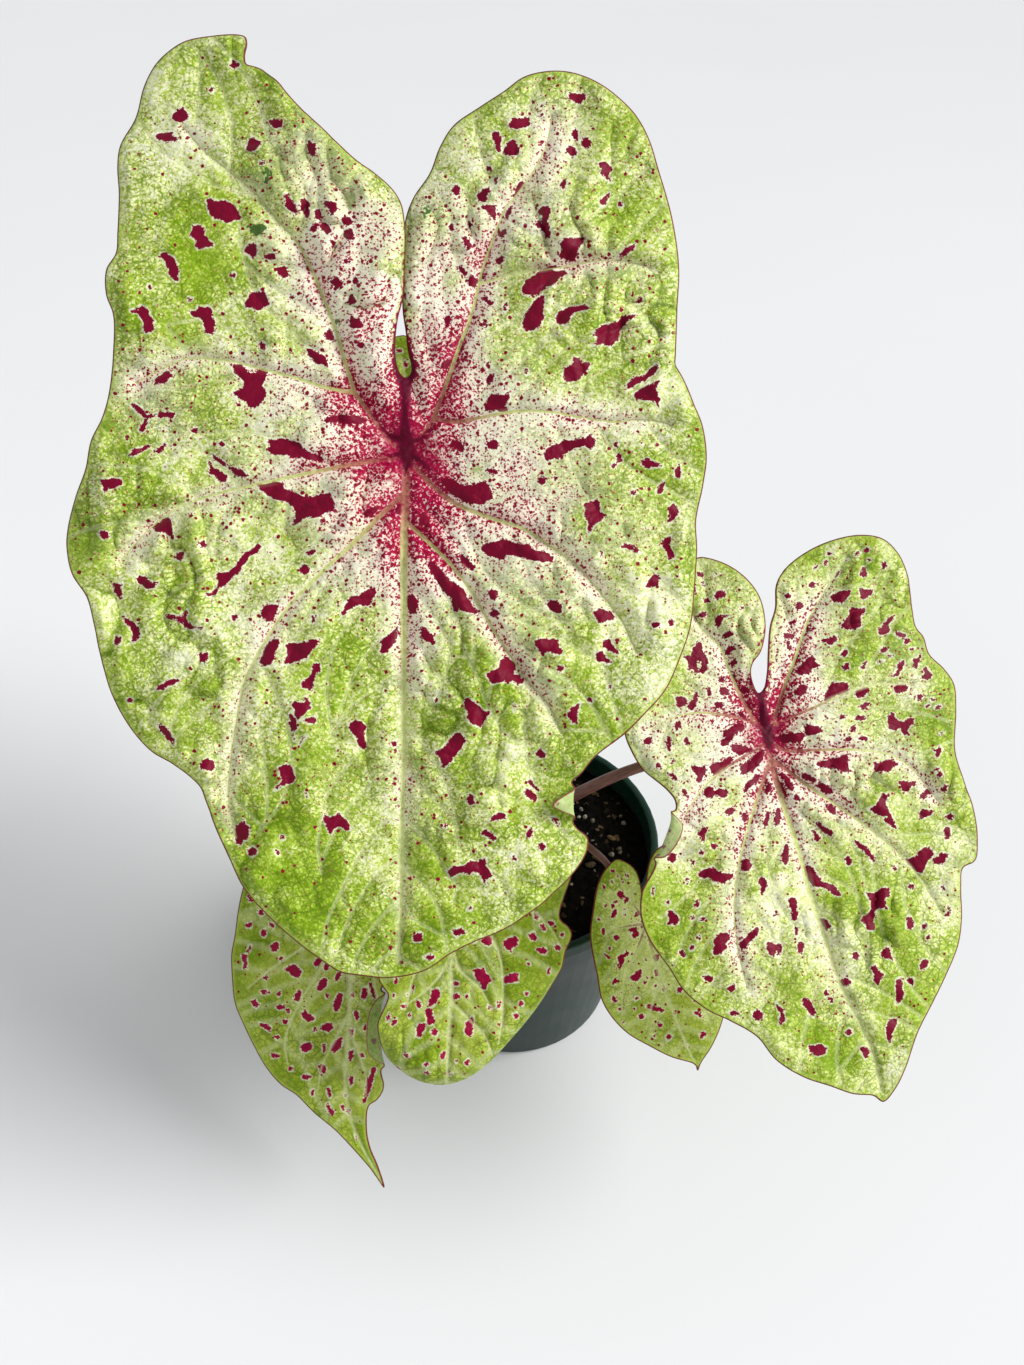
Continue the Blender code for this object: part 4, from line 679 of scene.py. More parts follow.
            [(1008, 625), (1030, 620), (1060, 650), (1085, 680), (1075, 695), (1050, 680), (1020, 655)],
            [(1150, 790), (1170, 780), (1190, 800), (1180, 835), (1160, 825)],
            [(830, 965), (850, 960), (880, 990), (895, 1010), (870, 1015), (845, 1000)],
            [(335, 905), (350, 905), (350, 930), (338, 935)],
            [(955, 535), (985, 535), (980, 555), (960, 555)]]),
        (0, 0, 1.0, [
            [(324.5, 420), (332, 415.5), (345, 414.5), (362, 418.5), (367, 421), (360, 423.5), (345, 424), (333, 422.5), (326, 424)]]),
        (240, 600, 4.615, [
            [(650, 190), (680, 165), (710, 140), (728, 120), (725, 160), (710, 195), (690, 220), (680, 240), (650, 245), (655, 215)],
            [(835, 130), (850, 128), (870, 155), (890, 165), (900, 185), (895, 210), (870, 190), (845, 175)],
            [(95, 290), (110, 250), (125, 215), (145, 190), (180, 182), (178, 215), (160, 245), (155, 285), (140, 300), (105, 305)],
            [(195, 295), (215, 265), (215, 240), (210, 205), (240, 200), (285, 200), (320, 188), (365, 180), (355, 205), (330, 230), (315, 255), (315, 270), (280, 280), (250, 290), (215, 298)],
            [(335, 310), (345, 290), (370, 295), (370, 325), (350, 345), (340, 380), (330, 425), (310, 410), (285, 405), (285, 380), (310, 365), (330, 345)],
            [(250, 470), (275, 480), (300, 470), (305, 445), (320, 470), (325, 500), (300, 515), (285, 535), (270, 555), (255, 535), (260, 510), (240, 490)],
            [(232, 520), (245, 535), (262, 555), (268, 590), (250, 600), (252, 655), (248, 620), (235, 580)],
            [(292, 555), (350, 535), (345, 570), (315, 568)],
            [(275, 670), (290, 635), (310, 620), (295, 645), (283, 668)],
            [(505, 570), (525, 562), (545, 553), (565, 565), (580, 590), (568, 615), (575, 650), (585, 680), (560, 685), (545, 665), (540, 640), (520, 610), (508, 595)],
            [(180, 770), (215, 760), (245, 770), (248, 800), (258, 830), (235, 845), (210, 850), (185, 865), (160, 882), (170, 860), (192, 840), (195, 820), (180, 800)],
            [(380, 1020), (390, 985), (410, 1005), (430, 1000), (455, 978), (475, 1005), (500, 1025), (508, 1060), (490, 1060), (470, 1045), (440, 1045), (415, 1078), (405, 1055), (395, 1030)],
            [(35, 1155), (65, 1140), (85, 1165), (60, 1185), (40, 1175)],
            [(690, 660), (715, 650), (720, 670), (700, 675)],
            [(185, 1090), (205, 1085), (205, 1105), (190, 1108)],
            [(160, 1155), (180, 1155), (178, 1175), (162, 1172)],
            [(300, 885), (312, 895), (315, 910), (303, 905)]]),
        (400, 600, 4.667, [
            [(402, 345), (430, 330), (455, 320), (470, 285), (490, 265), (510, 280), (535, 300), (535, 325), (520, 345), (550, 355), (575, 375), (570, 392), (545, 398), (520, 375), (505, 390), (490, 380), (455, 385), (430, 390), (415, 370)],
            [(300, 470), (315, 455), (345, 475), (370, 490), (385, 515), (425, 518), (405, 545), (395, 570), (370, 595), (340, 580), (315, 555), (318, 520), (305, 500)],
            [(165, 705), (195, 700), (220, 670), (245, 640), (280, 615), (302, 635), (305, 660), (285, 690), (260, 720), (230, 765), (205, 782), (190, 755), (190, 730), (170, 720)],
            [(635, 190), (660, 182), (700, 185), (735, 188), (740, 215), (760, 240), (745, 258), (710, 248), (680, 240), (668, 262), (655, 240), (640, 220)],
            [(682, 15), (700, 0), (725, 0), (745, 15), (755, 35), (755, 60), (725, 55), (700, 50), (690, 35)],
            [(903, 55), (930, 42), (960, 50), (985, 60), (1003, 92), (985, 98), (960, 98), (935, 110), (918, 90), (908, 75)],
            [(945, 195), (965, 178), (985, 185), (985, 205), (1000, 215), (1020, 250), (1010, 258), (990, 240), (970, 235), (950, 220)],
            [(915, 250), (940, 235), (958, 265), (990, 290), (975, 298), (950, 290), (918, 285)],
            [(785, 525), (805, 500), (840, 475), (835, 505), (825, 530), (822, 560), (825, 572), (800, 575), (798, 555), (785, 540)],
            [(635, 712), (655, 695), (680, 712), (675, 732), (650, 735)],
            [(592, 840), (615, 835), (620, 860), (650, 885), (640, 890), (618, 875), (598, 855)],
            [(580, 880), (600, 880), (618, 900), (635, 918), (630, 940), (605, 925), (580, 910)],
            [(315, 945), (325, 905), (348, 920), (345, 950), (325, 955)],
            [(422, 1020), (445, 1000), (465, 988), (490, 1000), (490, 1020), (455, 1025), (425, 1032)],
            [(380, 1085), (400, 1072), (430, 1085), (447, 1110), (440, 1122), (415, 1105), (385, 1095)],
            [(590, 1085), (605, 1060), (618, 1075), (612, 1100), (600, 1112), (588, 1105)],
            [(645, 1145), (665, 1130), (678, 1155), (660, 1170), (648, 1160)],
            [(195, 1050), (220, 1052), (215, 1068)],
            [(220, 1265), (250, 1240), (285, 1245), (310, 1235), (330, 1210), (350, 1225), (375, 1225), (378, 1208), (402, 1205), (400, 1240), (420, 1265), (428, 1285), (405, 1300), (400, 1328), (388, 1310), (380, 1285), (350, 1265), (330, 1275), (300, 1270), (270, 1275), (240, 1292), (228, 1280)],
            [(703, 1010), (720, 1010), (745, 1045), (730, 1050), (712, 1030)],
            [(525, 488), (540, 485), (545, 505), (530, 515)],
            [(525, 1195), (545, 1190), (540, 1215), (530, 1212)],
            [(970, 400), (990, 395), (988, 412), (972, 415)]]),
        (80, 440, 4.8, [
            [(598, 738), (630, 735), (655, 710), (665, 685), (650, 655), (665, 632), (690, 640), (720, 632), (745, 610), (775, 565), (800, 535), (830, 530), (855, 500), (872, 512), (855, 540), (820, 555), (800, 585), (770, 610), (780, 630), (740, 655), (715, 680), (700, 700), (665, 715), (650, 745), (610, 752)],
            [(105, 195), (130, 195), (150, 185), (180, 192), (198, 185), (200, 215), (180, 228), (140, 235), (120, 255), (112, 235)],
            [(90, 450), (105, 435), (135, 445), (138, 470), (115, 478)],
            [(355, 420), (375, 400), (395, 395), (410, 370), (435, 380), (440, 410), (445, 440), (455, 480), (435, 470), (410, 450), (380, 445), (358, 440)],
            [(565, 500), (580, 485), (605, 490), (605, 510), (580, 518)],
            [(455, 570), (470, 545), (500, 545), (500, 575), (480, 580)],
            [(270, 665), (290, 650), (320, 660), (335, 680), (375, 688), (360, 705), (325, 722), (305, 700), (280, 685)],
            [(165, 690), (210, 690), (195, 710), (205, 740), (202, 765), (185, 745), (165, 725)],
            [(210, 840), (230, 860), (270, 880), (290, 915), (295, 935), (275, 960), (250, 975), (255, 940), (245, 905), (220, 885)],
            [(415, 840), (440, 840), (480, 850), (520, 815), (525, 830), (505, 860), (530, 875), (545, 895), (595, 902), (545, 905), (505, 902), (495, 880), (460, 860), (420, 855)],
            [(238, 72), (260, 45), (300, 35), (330, 25), (335, 40), (300, 55), (265, 75)],
            [(355, 55), (380, 45), (400, 30), (405, 12), (420, 25), (385, 65)],
            [(632, 65), (650, 75), (680, 95), (705, 115), (725, 135), (760, 135), (790, 155), (808, 168), (790, 178), (755, 170), (730, 145), (705, 130), (675, 115), (645, 95)],
            [(615, 100), (630, 110), (640, 135), (670, 150), (705, 170), (715, 185), (690, 205), (665, 190), (650, 170), (620, 165), (628, 140)],
            [(400, 125), (415, 122), (412, 140)]]),
    ],
    "b": [
        (620, 540, 6.364, [
            [(490, 645), (515, 650), (518, 690), (545, 745), (555, 790), (548, 840), (520, 850), (500, 835), (515, 810), (518, 775), (500, 765), (478, 780), (495, 820), (480, 865), (465, 830), (425, 830), (432, 790), (420, 760), (400, 745), (455, 740), (460, 690), (480, 670)],
            [(605, 375), (600, 355), (625, 325), (665, 325), (668, 360), (640, 370), (615, 382)],
            [(525, 380), (550, 372), (580, 380), (575, 398), (545, 398), (528, 395)],
            [(505, 460), (545, 460), (545, 480), (520, 495), (500, 480)],
            [(470, 490), (495, 485), (495, 510), (465, 530)],
            [(610, 510), (625, 480), (655, 480), (690, 475), (688, 490), (655, 495), (650, 520), (625, 560), (608, 560)],
            [(655, 605), (690, 580), (722, 585), (718, 605), (680, 625), (655, 628)],
            [(680, 690), (705, 668), (730, 675), (725, 700), (690, 730), (668, 728)],
            [(695, 780), (735, 762), (755, 780), (730, 795), (700, 795)],
            [(625, 890), (645, 865), (665, 880), (660, 905), (635, 910)],
            [(630, 955), (655, 942), (690, 955), (690, 980), (655, 990), (630, 975)],
            [(550, 950), (575, 945), (585, 985), (560, 990), (550, 970)],
            [(350, 1000), (375, 1000), (415, 1000), (425, 1025), (415, 1050), (390, 1060), (375, 1080), (362, 1055), (352, 1020)],
            [(478, 970), (492, 965), (490, 1000), (485, 1030), (480, 1060), (455, 1085), (430, 1070), (432, 1040), (465, 1020)],
            [(610, 1030), (650, 1035), (660, 1050), (640, 1070), (610, 1065), (600, 1045)],
            [(750, 940), (800, 935), (830, 950), (825, 980), (795, 975), (755, 960)],
            [(750, 1090), (765, 1085), (795, 1120), (785, 1135), (755, 1115)],
            [(345, 1165), (378, 1165), (375, 1200), (360, 1220), (345, 1200)],
            [(145, 1280), (180, 1255), (205, 1250), (200, 1290), (180, 1302), (158, 1295)],
            [(298, 1255), (322, 1255), (322, 1290), (315, 1350), (303, 1340), (300, 1290)],
            [(405, 1265), (420, 1255), (432, 1270), (442, 1300), (405, 1300), (400, 1280)],
            [(655, 1250), (655, 1220), (690, 1205), (720, 1180), (760, 1170), (795, 1185), (780, 1215), (745, 1225), (715, 1260), (690, 1300), (655, 1320), (640, 1305), (645, 1275), (670, 1255)],
            [(705, 1320), (715, 1300), (760, 1310), (845, 1328), (830, 1350), (790, 1355), (760, 1370), (735, 1355), (712, 1345)],
            [(715, 865), (735, 850), (745, 870), (728, 885)],
            [(510, 270), (522, 268), (520, 280), (512, 280)], [(525, 290), (540, 278), (542, 295), (530, 300)],
            [(595, 220), (612, 218), (605, 230)], [(765, 430), (780, 425), (782, 440), (765, 446)]]),
        (780, 530, 6.667, [
            [(305, 165), (320, 150), (350, 148), (345, 162), (320, 172)],
            [(285, 230), (290, 212), (315, 205), (315, 225), (298, 238)],
            [(220, 265), (225, 245), (245, 240), (245, 255), (228, 270)],
            [(190, 365), (210, 345), (232, 358), (225, 380), (205, 390), (190, 375)],
            [(30, 430), (50, 425), (70, 435), (55, 465), (40, 450)],
            [(100, 515), (120, 482), (150, 495), (140, 520), (115, 540), (102, 530)],
            [(360, 330), (370, 290), (395, 262), (398, 275), (380, 310), (370, 332)],
            [(435, 200), (465, 195), (450, 205)],
            [(500, 160), (515, 148), (530, 155), (520, 172), (505, 172)],
            [(555, 135), (575, 118), (595, 125), (585, 150), (560, 150)],
            [(575, 198), (600, 192), (605, 205), (590, 218)],
            [(525, 290), (540, 280), (545, 250), (570, 248), (568, 275), (578, 300), (560, 318), (535, 312)],
            [(678, 225), (695, 215), (715, 238), (700, 245), (690, 265), (680, 250)],
            [(330, 460), (350, 430), (390, 420), (430, 405), (465, 408), (455, 445), (430, 470), (410, 490), (395, 480), (370, 485)],
            [(525, 395), (545, 390), (570, 398), (615, 393), (605, 430), (580, 450), (560, 462), (540, 455), (530, 425)],
            [(402, 640), (440, 590), (460, 570), (460, 530), (490, 520), (520, 530), (567, 515), (560, 550), (530, 580), (535, 620), (540, 640), (500, 660), (450, 660), (410, 652)],
            [(650, 660), (680, 640), (700, 610), (745, 572), (757, 580), (740, 610), (715, 635), (730, 665), (725, 685), (700, 690), (670, 705), (655, 690)],
            [(765, 690), (795, 682), (835, 700), (830, 715), (800, 718), (770, 705)],
            [(822, 760), (835, 725), (858, 728), (855, 748), (835, 765)],
            [(858, 795), (875, 780), (892, 790), (875, 800)],
            [(665, 805), (690, 780), (722, 800), (700, 812), (680, 818)],
            [(710, 838), (730, 830), (755, 838), (735, 850)],
            [(272, 745), (300, 730), (340, 715), (380, 708), (375, 740), (350, 760), (335, 772), (310, 755)],
            [(400, 830), (415, 805), (445, 802), (450, 830), (430, 845), (405, 842)],
            [(412, 915), (430, 895), (455, 888), (460, 915), (455, 930), (430, 935)],
            [(535, 915), (560, 885), (575, 878), (575, 895), (560, 915), (568, 920), (545, 925)],
            [(645, 885), (665, 870), (690, 870), (670, 880), (655, 890)],
            [(738, 975), (765, 960), (780, 925), (775, 900), (810, 870), (825, 870), (825, 900), (800, 940), (790, 970), (765, 978)],
            [(875, 870), (905, 860), (938, 828), (930, 870), (905, 925), (890, 915), (895, 890)],
            [(935, 990), (955, 960), (955, 930), (970, 915), (985, 935), (1010, 965), (1000, 985), (985, 1000), (960, 992)],
            [(120, 965), (125, 930), (155, 895), (180, 860), (210, 838), (225, 855), (240, 890), (270, 905), (245, 912), (215, 925), (185, 965), (150, 965)],
            [(92, 1110), (105, 1070), (130, 1045), (165, 1030), (180, 1065), (170, 1095), (130, 1110), (110, 1105)],
            [(288, 1140), (300, 1095), (325, 1050), (350, 1018), (400, 1020), (445, 1018), (458, 1070), (450, 1090), (400, 1110), (380, 1095), (345, 1120), (320, 1135)],
            [(495, 1105), (500, 1085), (540, 1055), (575, 1050), (592, 1070), (575, 1100), (545, 1115), (510, 1120)],
            [(760, 1080), (765, 1050), (780, 1035), (810, 1030), (830, 1035), (855, 1048), (845, 1070), (800, 1080), (790, 1090)],
            [(528, 1185), (545, 1165), (570, 1150), (595, 1158), (570, 1180), (545, 1197)],
            [(908, 1125), (915, 1100), (935, 1098), (950, 1115), (930, 1135), (912, 1132)],
            [(990, 1135), (1005, 1120), (1028, 1130), (1005, 1145)],
            [(965, 1175), (980, 1160), (995, 1170), (975, 1185)],
            [(1025, 1185), (1045, 1168), (1075, 1175), (1060, 1190), (1035, 1195)],
            [(485, 1250), (510, 1248), (540, 1235), (562, 1245), (560, 1262), (530, 1268), (495, 1262)],
            [(395, 1260), (410, 1225), (435, 1250), (405, 1268)],
            [(462, 1335), (475, 1310), (500, 1305), (500, 1325), (480, 1345)],
            [(715, 1250), (735, 1222), (755, 1225), (765, 1250), (795, 1275), (820, 1278), (850, 1260), (885, 1262), (885, 1290), (865, 1315), (850, 1330), (858, 1370), (825, 1368), (800, 1345), (810, 1320), (795, 1315), (775, 1335), (740, 1338), (715, 1320), (728, 1300), (718, 1275)],
            [(25, 690), (60, 682), (80, 700), (110, 710), (100, 722), (60, 718), (30, 725), (22, 710)],
            [(40, 745), (60, 745), (60, 780), (78, 790), (60, 808), (45, 790), (38, 765)],
            [(60, 625), (80, 600), (92, 600), (85, 625), (65, 640)], [(170, 660), (185, 640), (200, 655), (190, 685), (172, 685)],
            [(190, 590), (200, 568), (212, 575), (205, 600)], [(222, 505), (238, 485), (242, 495), (228, 510)]]),
        (640, 730, 5.4545, [
            [(162, 170), (175, 158), (188, 168), (180, 185), (165, 182)],
            [(85, 190), (105, 182), (125, 205), (110, 212), (90, 205)],
            [(150, 230), (180, 238), (200, 255), (210, 280), (195, 278), (175, 258), (155, 245)],
            [(228, 330), (240, 320), (265, 370), (260, 380), (240, 350)],
            [(278, 200), (300, 198), (325, 200), (340, 205), (358, 195), (355, 235), (345, 260), (318, 292), (305, 275), (310, 250), (288, 230)],
            [(380, 195), (400, 180), (440, 175), (480, 142), (503, 155), (490, 190), (460, 205), (420, 240), (395, 245), (380, 225)],
            [(345, 350), (350, 325), (370, 310), (395, 318), (405, 335), (430, 325), (470, 325), (480, 345), (465, 370), (430, 365), (410, 350), (395, 365), (370, 375)],
            [(535, 205), (560, 185), (600, 165), (640, 130), (668, 105), (675, 115), (665, 160), (640, 200), (610, 225), (575, 240), (545, 245), (550, 225)],
            [(562, 330), (575, 295), (600, 275), (625, 245), (655, 240), (648, 270), (620, 295), (590, 320), (572, 338)],
            [(680, 345), (685, 310), (700, 285), (712, 295), (710, 325), (695, 350)],
            [(760, 235), (775, 235), (810, 260), (835, 315), (830, 332), (800, 310), (790, 285), (765, 255)],
            [(755, 275), (775, 290), (805, 335), (818, 355), (800, 362), (780, 345), (762, 310)],
            [(838, 355), (855, 350), (878, 370), (865, 390), (842, 375)],
            [(460, 450), (475, 430), (510, 420), (515, 440), (490, 465), (475, 472)],
            [(552, 480), (560, 455), (588, 445), (585, 470), (570, 500), (558, 500)],
            [(672, 530), (675, 490), (688, 450), (705, 445), (705, 480), (688, 525), (678, 535)],
            [(732, 500), (738, 450), (748, 425), (765, 440), (762, 480), (750, 520), (735, 522)],
            [(770, 720), (772, 680), (785, 640), (800, 618), (808, 640), (805, 700), (795, 742), (780, 725)],
            [(552, 745), (555, 710), (575, 700), (590, 705), (608, 735), (600, 765), (570, 770), (555, 765)],
            [(648, 820), (655, 808), (672, 800), (680, 810), (695, 830), (690, 860), (670, 880), (660, 895), (660, 860), (650, 835)],
            [(310, 565), (335, 545), (350, 525), (370, 540), (355, 560), (350, 600), (345, 618), (332, 600), (325, 580)],
            [(385, 625), (400, 618), (418, 630), (405, 648), (388, 640)],
            [(320, 665), (330, 645), (342, 660), (340, 682), (325, 680)],
            [(278, 720), (290, 705), (300, 720), (290, 732), (280, 730)],
            [(140, 695), (165, 672), (195, 675), (195, 710), (170, 725), (150, 710)],
            [(315, 785), (345, 760), (400, 748), (415, 765), (430, 775), (465, 785), (500, 785), (505, 800), (480, 815), (450, 835), (435, 825), (400, 835), (400, 815), (380, 800), (350, 810), (325, 800)],
            [(148, 985), (165, 985), (185, 995), (205, 1015), (210, 1040), (195, 1065), (170, 1055), (150, 1060), (160, 1035), (150, 1005)],
            [(295, 955), (310, 930), (325, 940), (318, 965), (300, 968)],
            [(320, 1030), (340, 1018), (358, 1030), (340, 1042)],
            [(142, 940), (150, 925), (162, 935), (150, 955)],
            [(65, 900), (65, 865), (75, 855), (75, 890)],
            [(245, 815), (260, 795), (265, 820), (255, 838)],
            [(720, 1010), (735, 985), (745, 990), (735, 1020)],
            [(810, 920), (830, 912), (855, 935), (850, 970), (855, 1000), (850, 1035), (830, 1030), (825, 990), (815, 960)],
            [(725, 40), (790, 25), (860, 15), (905, 15), (895, 35), (870, 60), (820, 65), (770, 55)],
            [(900, 5), (980, 0), (978, 20), (940, 20)],
            [(850, 108), (870, 100), (895, 118), (885, 130), (855, 122)],
            [(1115, 695), (1130, 682), (1148, 710), (1150, 730), (1130, 735), (1120, 715)]]),
        (790, 720, 6.154, [
            [(88, 40), (110, 28), (160, 38), (188, 50), (180, 80), (150, 90), (110, 92), (90, 80)],
            [(365, 60), (385, 38), (405, 40), (398, 65), (375, 72)],
            [(338, 112), (360, 105), (382, 118), (365, 130), (342, 125)],
            [(408, 110), (430, 98), (478, 112), (465, 128), (430, 125)],
            [(905, 85), (945, 75), (925, 92)],
            [(880, 190), (905, 180), (915, 160), (930, 170), (928, 200), (905, 235), (890, 225), (900, 200)],
            [(885, 312), (900, 292), (915, 300), (905, 315)],
            [(905, 335), (920, 318), (938, 330), (925, 350), (908, 345)],
            [(928, 425), (945, 400), (965, 400), (960, 430), (940, 437)],
            [(795, 460), (825, 445), (840, 425), (870, 425), (870, 450), (845, 462), (830, 485), (800, 482)],
            [(790, 590), (800, 575), (815, 550), (840, 555), (870, 560), (870, 580), (835, 590), (820, 605), (795, 610)],
            [(950, 590), (975, 585), (990, 572), (1005, 600), (980, 618), (965, 600)],
            [(950, 665), (985, 660), (985, 690), (975, 735), (950, 735), (950, 700)],
            [(665, 385), (700, 378), (768, 385), (765, 400), (735, 410), (725, 430), (715, 450), (690, 425), (675, 405)],
            [(510, 265), (560, 262), (580, 250), (610, 250), (635, 262), (675, 272), (640, 285), (620, 310), (590, 320), (530, 320), (515, 295)],
            [(155, 272), (220, 250), (275, 235), (320, 230), (355, 212), (355, 245), (350, 265), (370, 322), (320, 318), (280, 300), (200, 292), (165, 285)],
            [(62, 335), (90, 325), (130, 340), (165, 365), (160, 380), (120, 372), (80, 355)],
            [(155, 395), (200, 385), (235, 405), (265, 440), (245, 455), (205, 440)],
            [(220, 525), (240, 518), (278, 545), (275, 575), (250, 580), (228, 555)],
            [(155, 635), (170, 622), (215, 655), (262, 690), (255, 712), (220, 700), (180, 665)],
            [(125, 680), (150, 670), (165, 700), (185, 720), (175, 738), (150, 745), (150, 715)],
            [(450, 410), (478, 418), (465, 422)],
            [(565, 452), (608, 462), (590, 490), (580, 510), (600, 540), (610, 570), (635, 620), (650, 665), (620, 650), (590, 630), (580, 612), (600, 595), (575, 590), (545, 580), (510, 565), (480, 545), (500, 535), (525, 525), (540, 500), (560, 470)],
            [(392, 745), (415, 742), (440, 770), (470, 785), (500, 830), (522, 850), (515, 870), (495, 860), (480, 835), (455, 810), (425, 785)],
            [(337, 860), (350, 835), (370, 855), (378, 885), (355, 890)],
            [(625, 905), (645, 900), (655, 915), (635, 925)],
            [(722, 1022), (740, 1005), (762, 1020), (745, 1045), (728, 1040)],
            [(925, 1018), (938, 1012), (950, 1040), (935, 1050)],
            [(705, 850), (740, 852), (780, 832), (800, 800), (830, 785), (855, 782), (865, 800), (890, 822), (860, 845), (840, 870), (825, 900), (812, 942), (780, 930), (745, 905), (715, 875)],
            [(875, 855), (900, 838), (940, 815), (980, 828), (955, 855), (940, 885), (905, 882), (880, 878)],
            [(463, 1065), (510, 1070), (545, 1050), (575, 1030), (605, 1040), (605, 1080), (580, 1100), (582, 1130), (595, 1160), (560, 1152), (535, 1160), (515, 1200), (510, 1240), (515, 1292), (480, 1292), (460, 1260), (435, 1235), (445, 1210), (485, 1190), (500, 1150), (490, 1110)],
            [(80, 900), (120, 895), (145, 910), (170, 960), (200, 1000), (240, 1005), (270, 1025), (312, 1070), (305, 1088), (280, 1080), (240, 1050), (195, 1020), (160, 1028), (130, 1010), (105, 980), (90, 940)],
            [(945, 1210), (965, 1180), (970, 1140), (985, 1150), (985, 1185), (960, 1215)]]),
        (660, 900, 4.0, [
            [(637, 75), (660, 70), (685, 105), (670, 120), (645, 100)],
            [(985, 70), (1000, 65), (1015, 95), (1000, 115), (985, 110)],
            [(218, 215), (208, 205), (222, 180), (215, 165), (235, 135), (275, 132), (275, 155), (262, 175), (268, 190), (240, 215)],
            [(318, 190), (325, 165), (345, 150), (360, 130), (388, 108), (388, 140), (360, 165), (345, 190), (325, 195)],
            [(425, 170), (445, 168), (460, 180), (480, 172), (488, 195), (480, 215), (468, 225), (465, 200), (455, 205), (455, 228), (435, 215), (425, 190)],
            [(538, 110), (550, 110), (550, 140), (540, 142)],
            [(552, 168), (572, 168), (572, 195), (562, 220), (550, 205)],
            [(168, 305), (190, 298), (212, 308), (205, 325), (180, 322)],
            [(270, 352), (295, 332), (300, 352), (285, 368)],
            [(275, 445), (295, 440), (315, 452), (300, 462), (280, 458)],
            [(368, 448), (385, 438), (400, 445), (415, 462), (405, 475), (385, 482), (372, 468)],
            [(462, 408), (478, 425), (492, 440), (500, 480), (490, 488), (478, 500), (475, 470), (485, 460), (470, 435)],
            [(568, 395), (590, 392), (605, 415), (622, 450), (612, 468), (595, 455), (585, 430), (568, 420)],
            [(720, 325), (738, 312), (762, 322), (755, 340), (735, 342)],
            [(655, 365), (665, 355), (670, 375), (660, 388)],
            [(675, 390), (685, 385), (690, 405), (680, 410)],
            [(770, 215), (785, 205), (797, 225), (785, 240), (770, 232)],
            [(878, 212), (900, 190), (915, 190), (920, 215), (930, 240), (910, 232), (885, 225)],
            [(840, 265), (858, 258), (870, 280), (895, 300), (880, 315), (870, 338), (855, 320), (855, 295)],
            [(1035, 262), (1050, 235), (1070, 245), (1065, 268), (1042, 282)],
            [(985, 325), (1000, 308), (1015, 315), (1010, 340), (995, 332)],
            [(942, 350), (945, 315), (965, 310), (965, 345), (972, 380), (960, 410), (942, 415), (945, 390)],
            [(900, 515), (915, 480), (945, 472), (945, 500), (925, 540), (918, 570), (905, 545)],
            [(592, 578), (620, 582), (640, 575), (665, 590), (655, 615), (625, 622), (610, 608), (595, 610)],
            [(800, 590), (820, 585), (838, 605), (820, 635), (805, 610)],
            [(742, 525), (755, 512), (768, 525), (755, 540), (745, 535)],
            [(1042, 105), (1060, 92), (1070, 105), (1050, 120)],
            [(1062, 140), (1072, 138), (1078, 150), (1068, 155)],
            [(75, 205), (90, 200), (105, 225), (90, 230)],
            [(118, 190), (135, 178), (138, 190), (122, 200)],
            [(145, 145), (158, 140), (160, 155), (150, 158)],
            [(120, 68), (130, 60), (138, 75), (125, 78)]]),
    ],
    "c": [
        (225, 880, 4.516, [
            [(105, 72), (118, 72), (128, 92), (115, 98)], [(148, 140), (165, 130), (180, 150), (165, 160)], [(200, 190), (225, 200), (222, 215), (205, 205)],
            [(165, 228), (185, 218), (188, 240), (180, 255), (165, 245)], [(207, 295), (230, 278), (245, 285), (240, 310), (225, 325), (210, 315)],
            [(110, 292), (122, 295), (115, 320), (103, 325)], [(75, 335), (100, 330), (100, 365), (102, 400), (85, 400), (85, 365)],
            [(248, 350), (262, 345), (260, 362), (248, 362)], [(270, 400), (295, 385), (315, 380), (350, 410), (335, 440), (310, 435), (290, 415)],
            [(402, 375), (420, 352), (437, 355), (430, 375), (410, 392)], [(445, 385), (465, 375), (475, 390), (465, 405), (450, 400)],
            [(497, 440), (515, 412), (525, 418), (520, 440), (505, 455)], [(418, 480), (430, 455), (450, 442), (465, 450), (460, 475), (435, 497), (420, 495)],
            [(312, 525), (330, 500), (345, 495), (343, 525), (328, 545), (315, 538)], [(162, 500), (200, 495), (205, 508), (170, 512)],
            [(237, 515), (250, 500), (255, 512), (243, 528)], [(175, 440), (190, 428), (197, 440), (188, 450)],
            [(122, 545), (140, 538), (158, 560), (145, 578), (130, 568)], [(230, 570), (265, 562), (272, 580), (245, 585)], [(278, 585), (290, 582), (295, 598), (282, 596)],
            [(455, 515), (470, 515), (468, 532), (457, 530)], [(492, 580), (495, 545), (510, 510), (530, 512), (528, 545), (512, 590), (498, 593)],
            [(570, 515), (582, 510), (582, 525), (572, 525)], [(620, 490), (640, 485), (645, 515), (632, 540), (618, 530)],
            [(650, 465), (662, 460), (672, 490), (685, 530), (672, 535), (660, 500)], [(348, 600), (365, 585), (378, 605), (408, 615), (400, 635), (375, 635), (352, 620)],
            [(263, 630), (282, 628), (280, 645), (265, 645)], [(585, 595), (600, 590), (610, 620), (600, 632), (588, 620)], [(628, 655), (640, 650), (640, 675), (630, 675)],
            [(158, 645), (185, 650), (212, 660), (205, 682), (185, 670), (162, 655)], [(432, 670), (440, 652), (480, 642), (488, 665), (470, 685), (445, 680)],
            [(400, 672), (412, 665), (415, 680), (402, 682)], [(560, 672), (585, 672), (582, 695), (570, 708), (562, 690)], [(225, 705), (240, 698), (248, 710), (235, 718)],
            [(482, 745), (500, 725), (528, 710), (530, 735), (515, 765), (495, 778), (483, 765)], [(343, 755), (355, 735), (385, 732), (397, 750), (375, 775), (352, 772)],
            [(442, 740), (455, 738), (453, 765), (443, 775)], [(562, 775), (580, 765), (578, 795), (570, 815), (560, 805)], [(608, 780), (625, 778), (630, 798), (615, 800)],
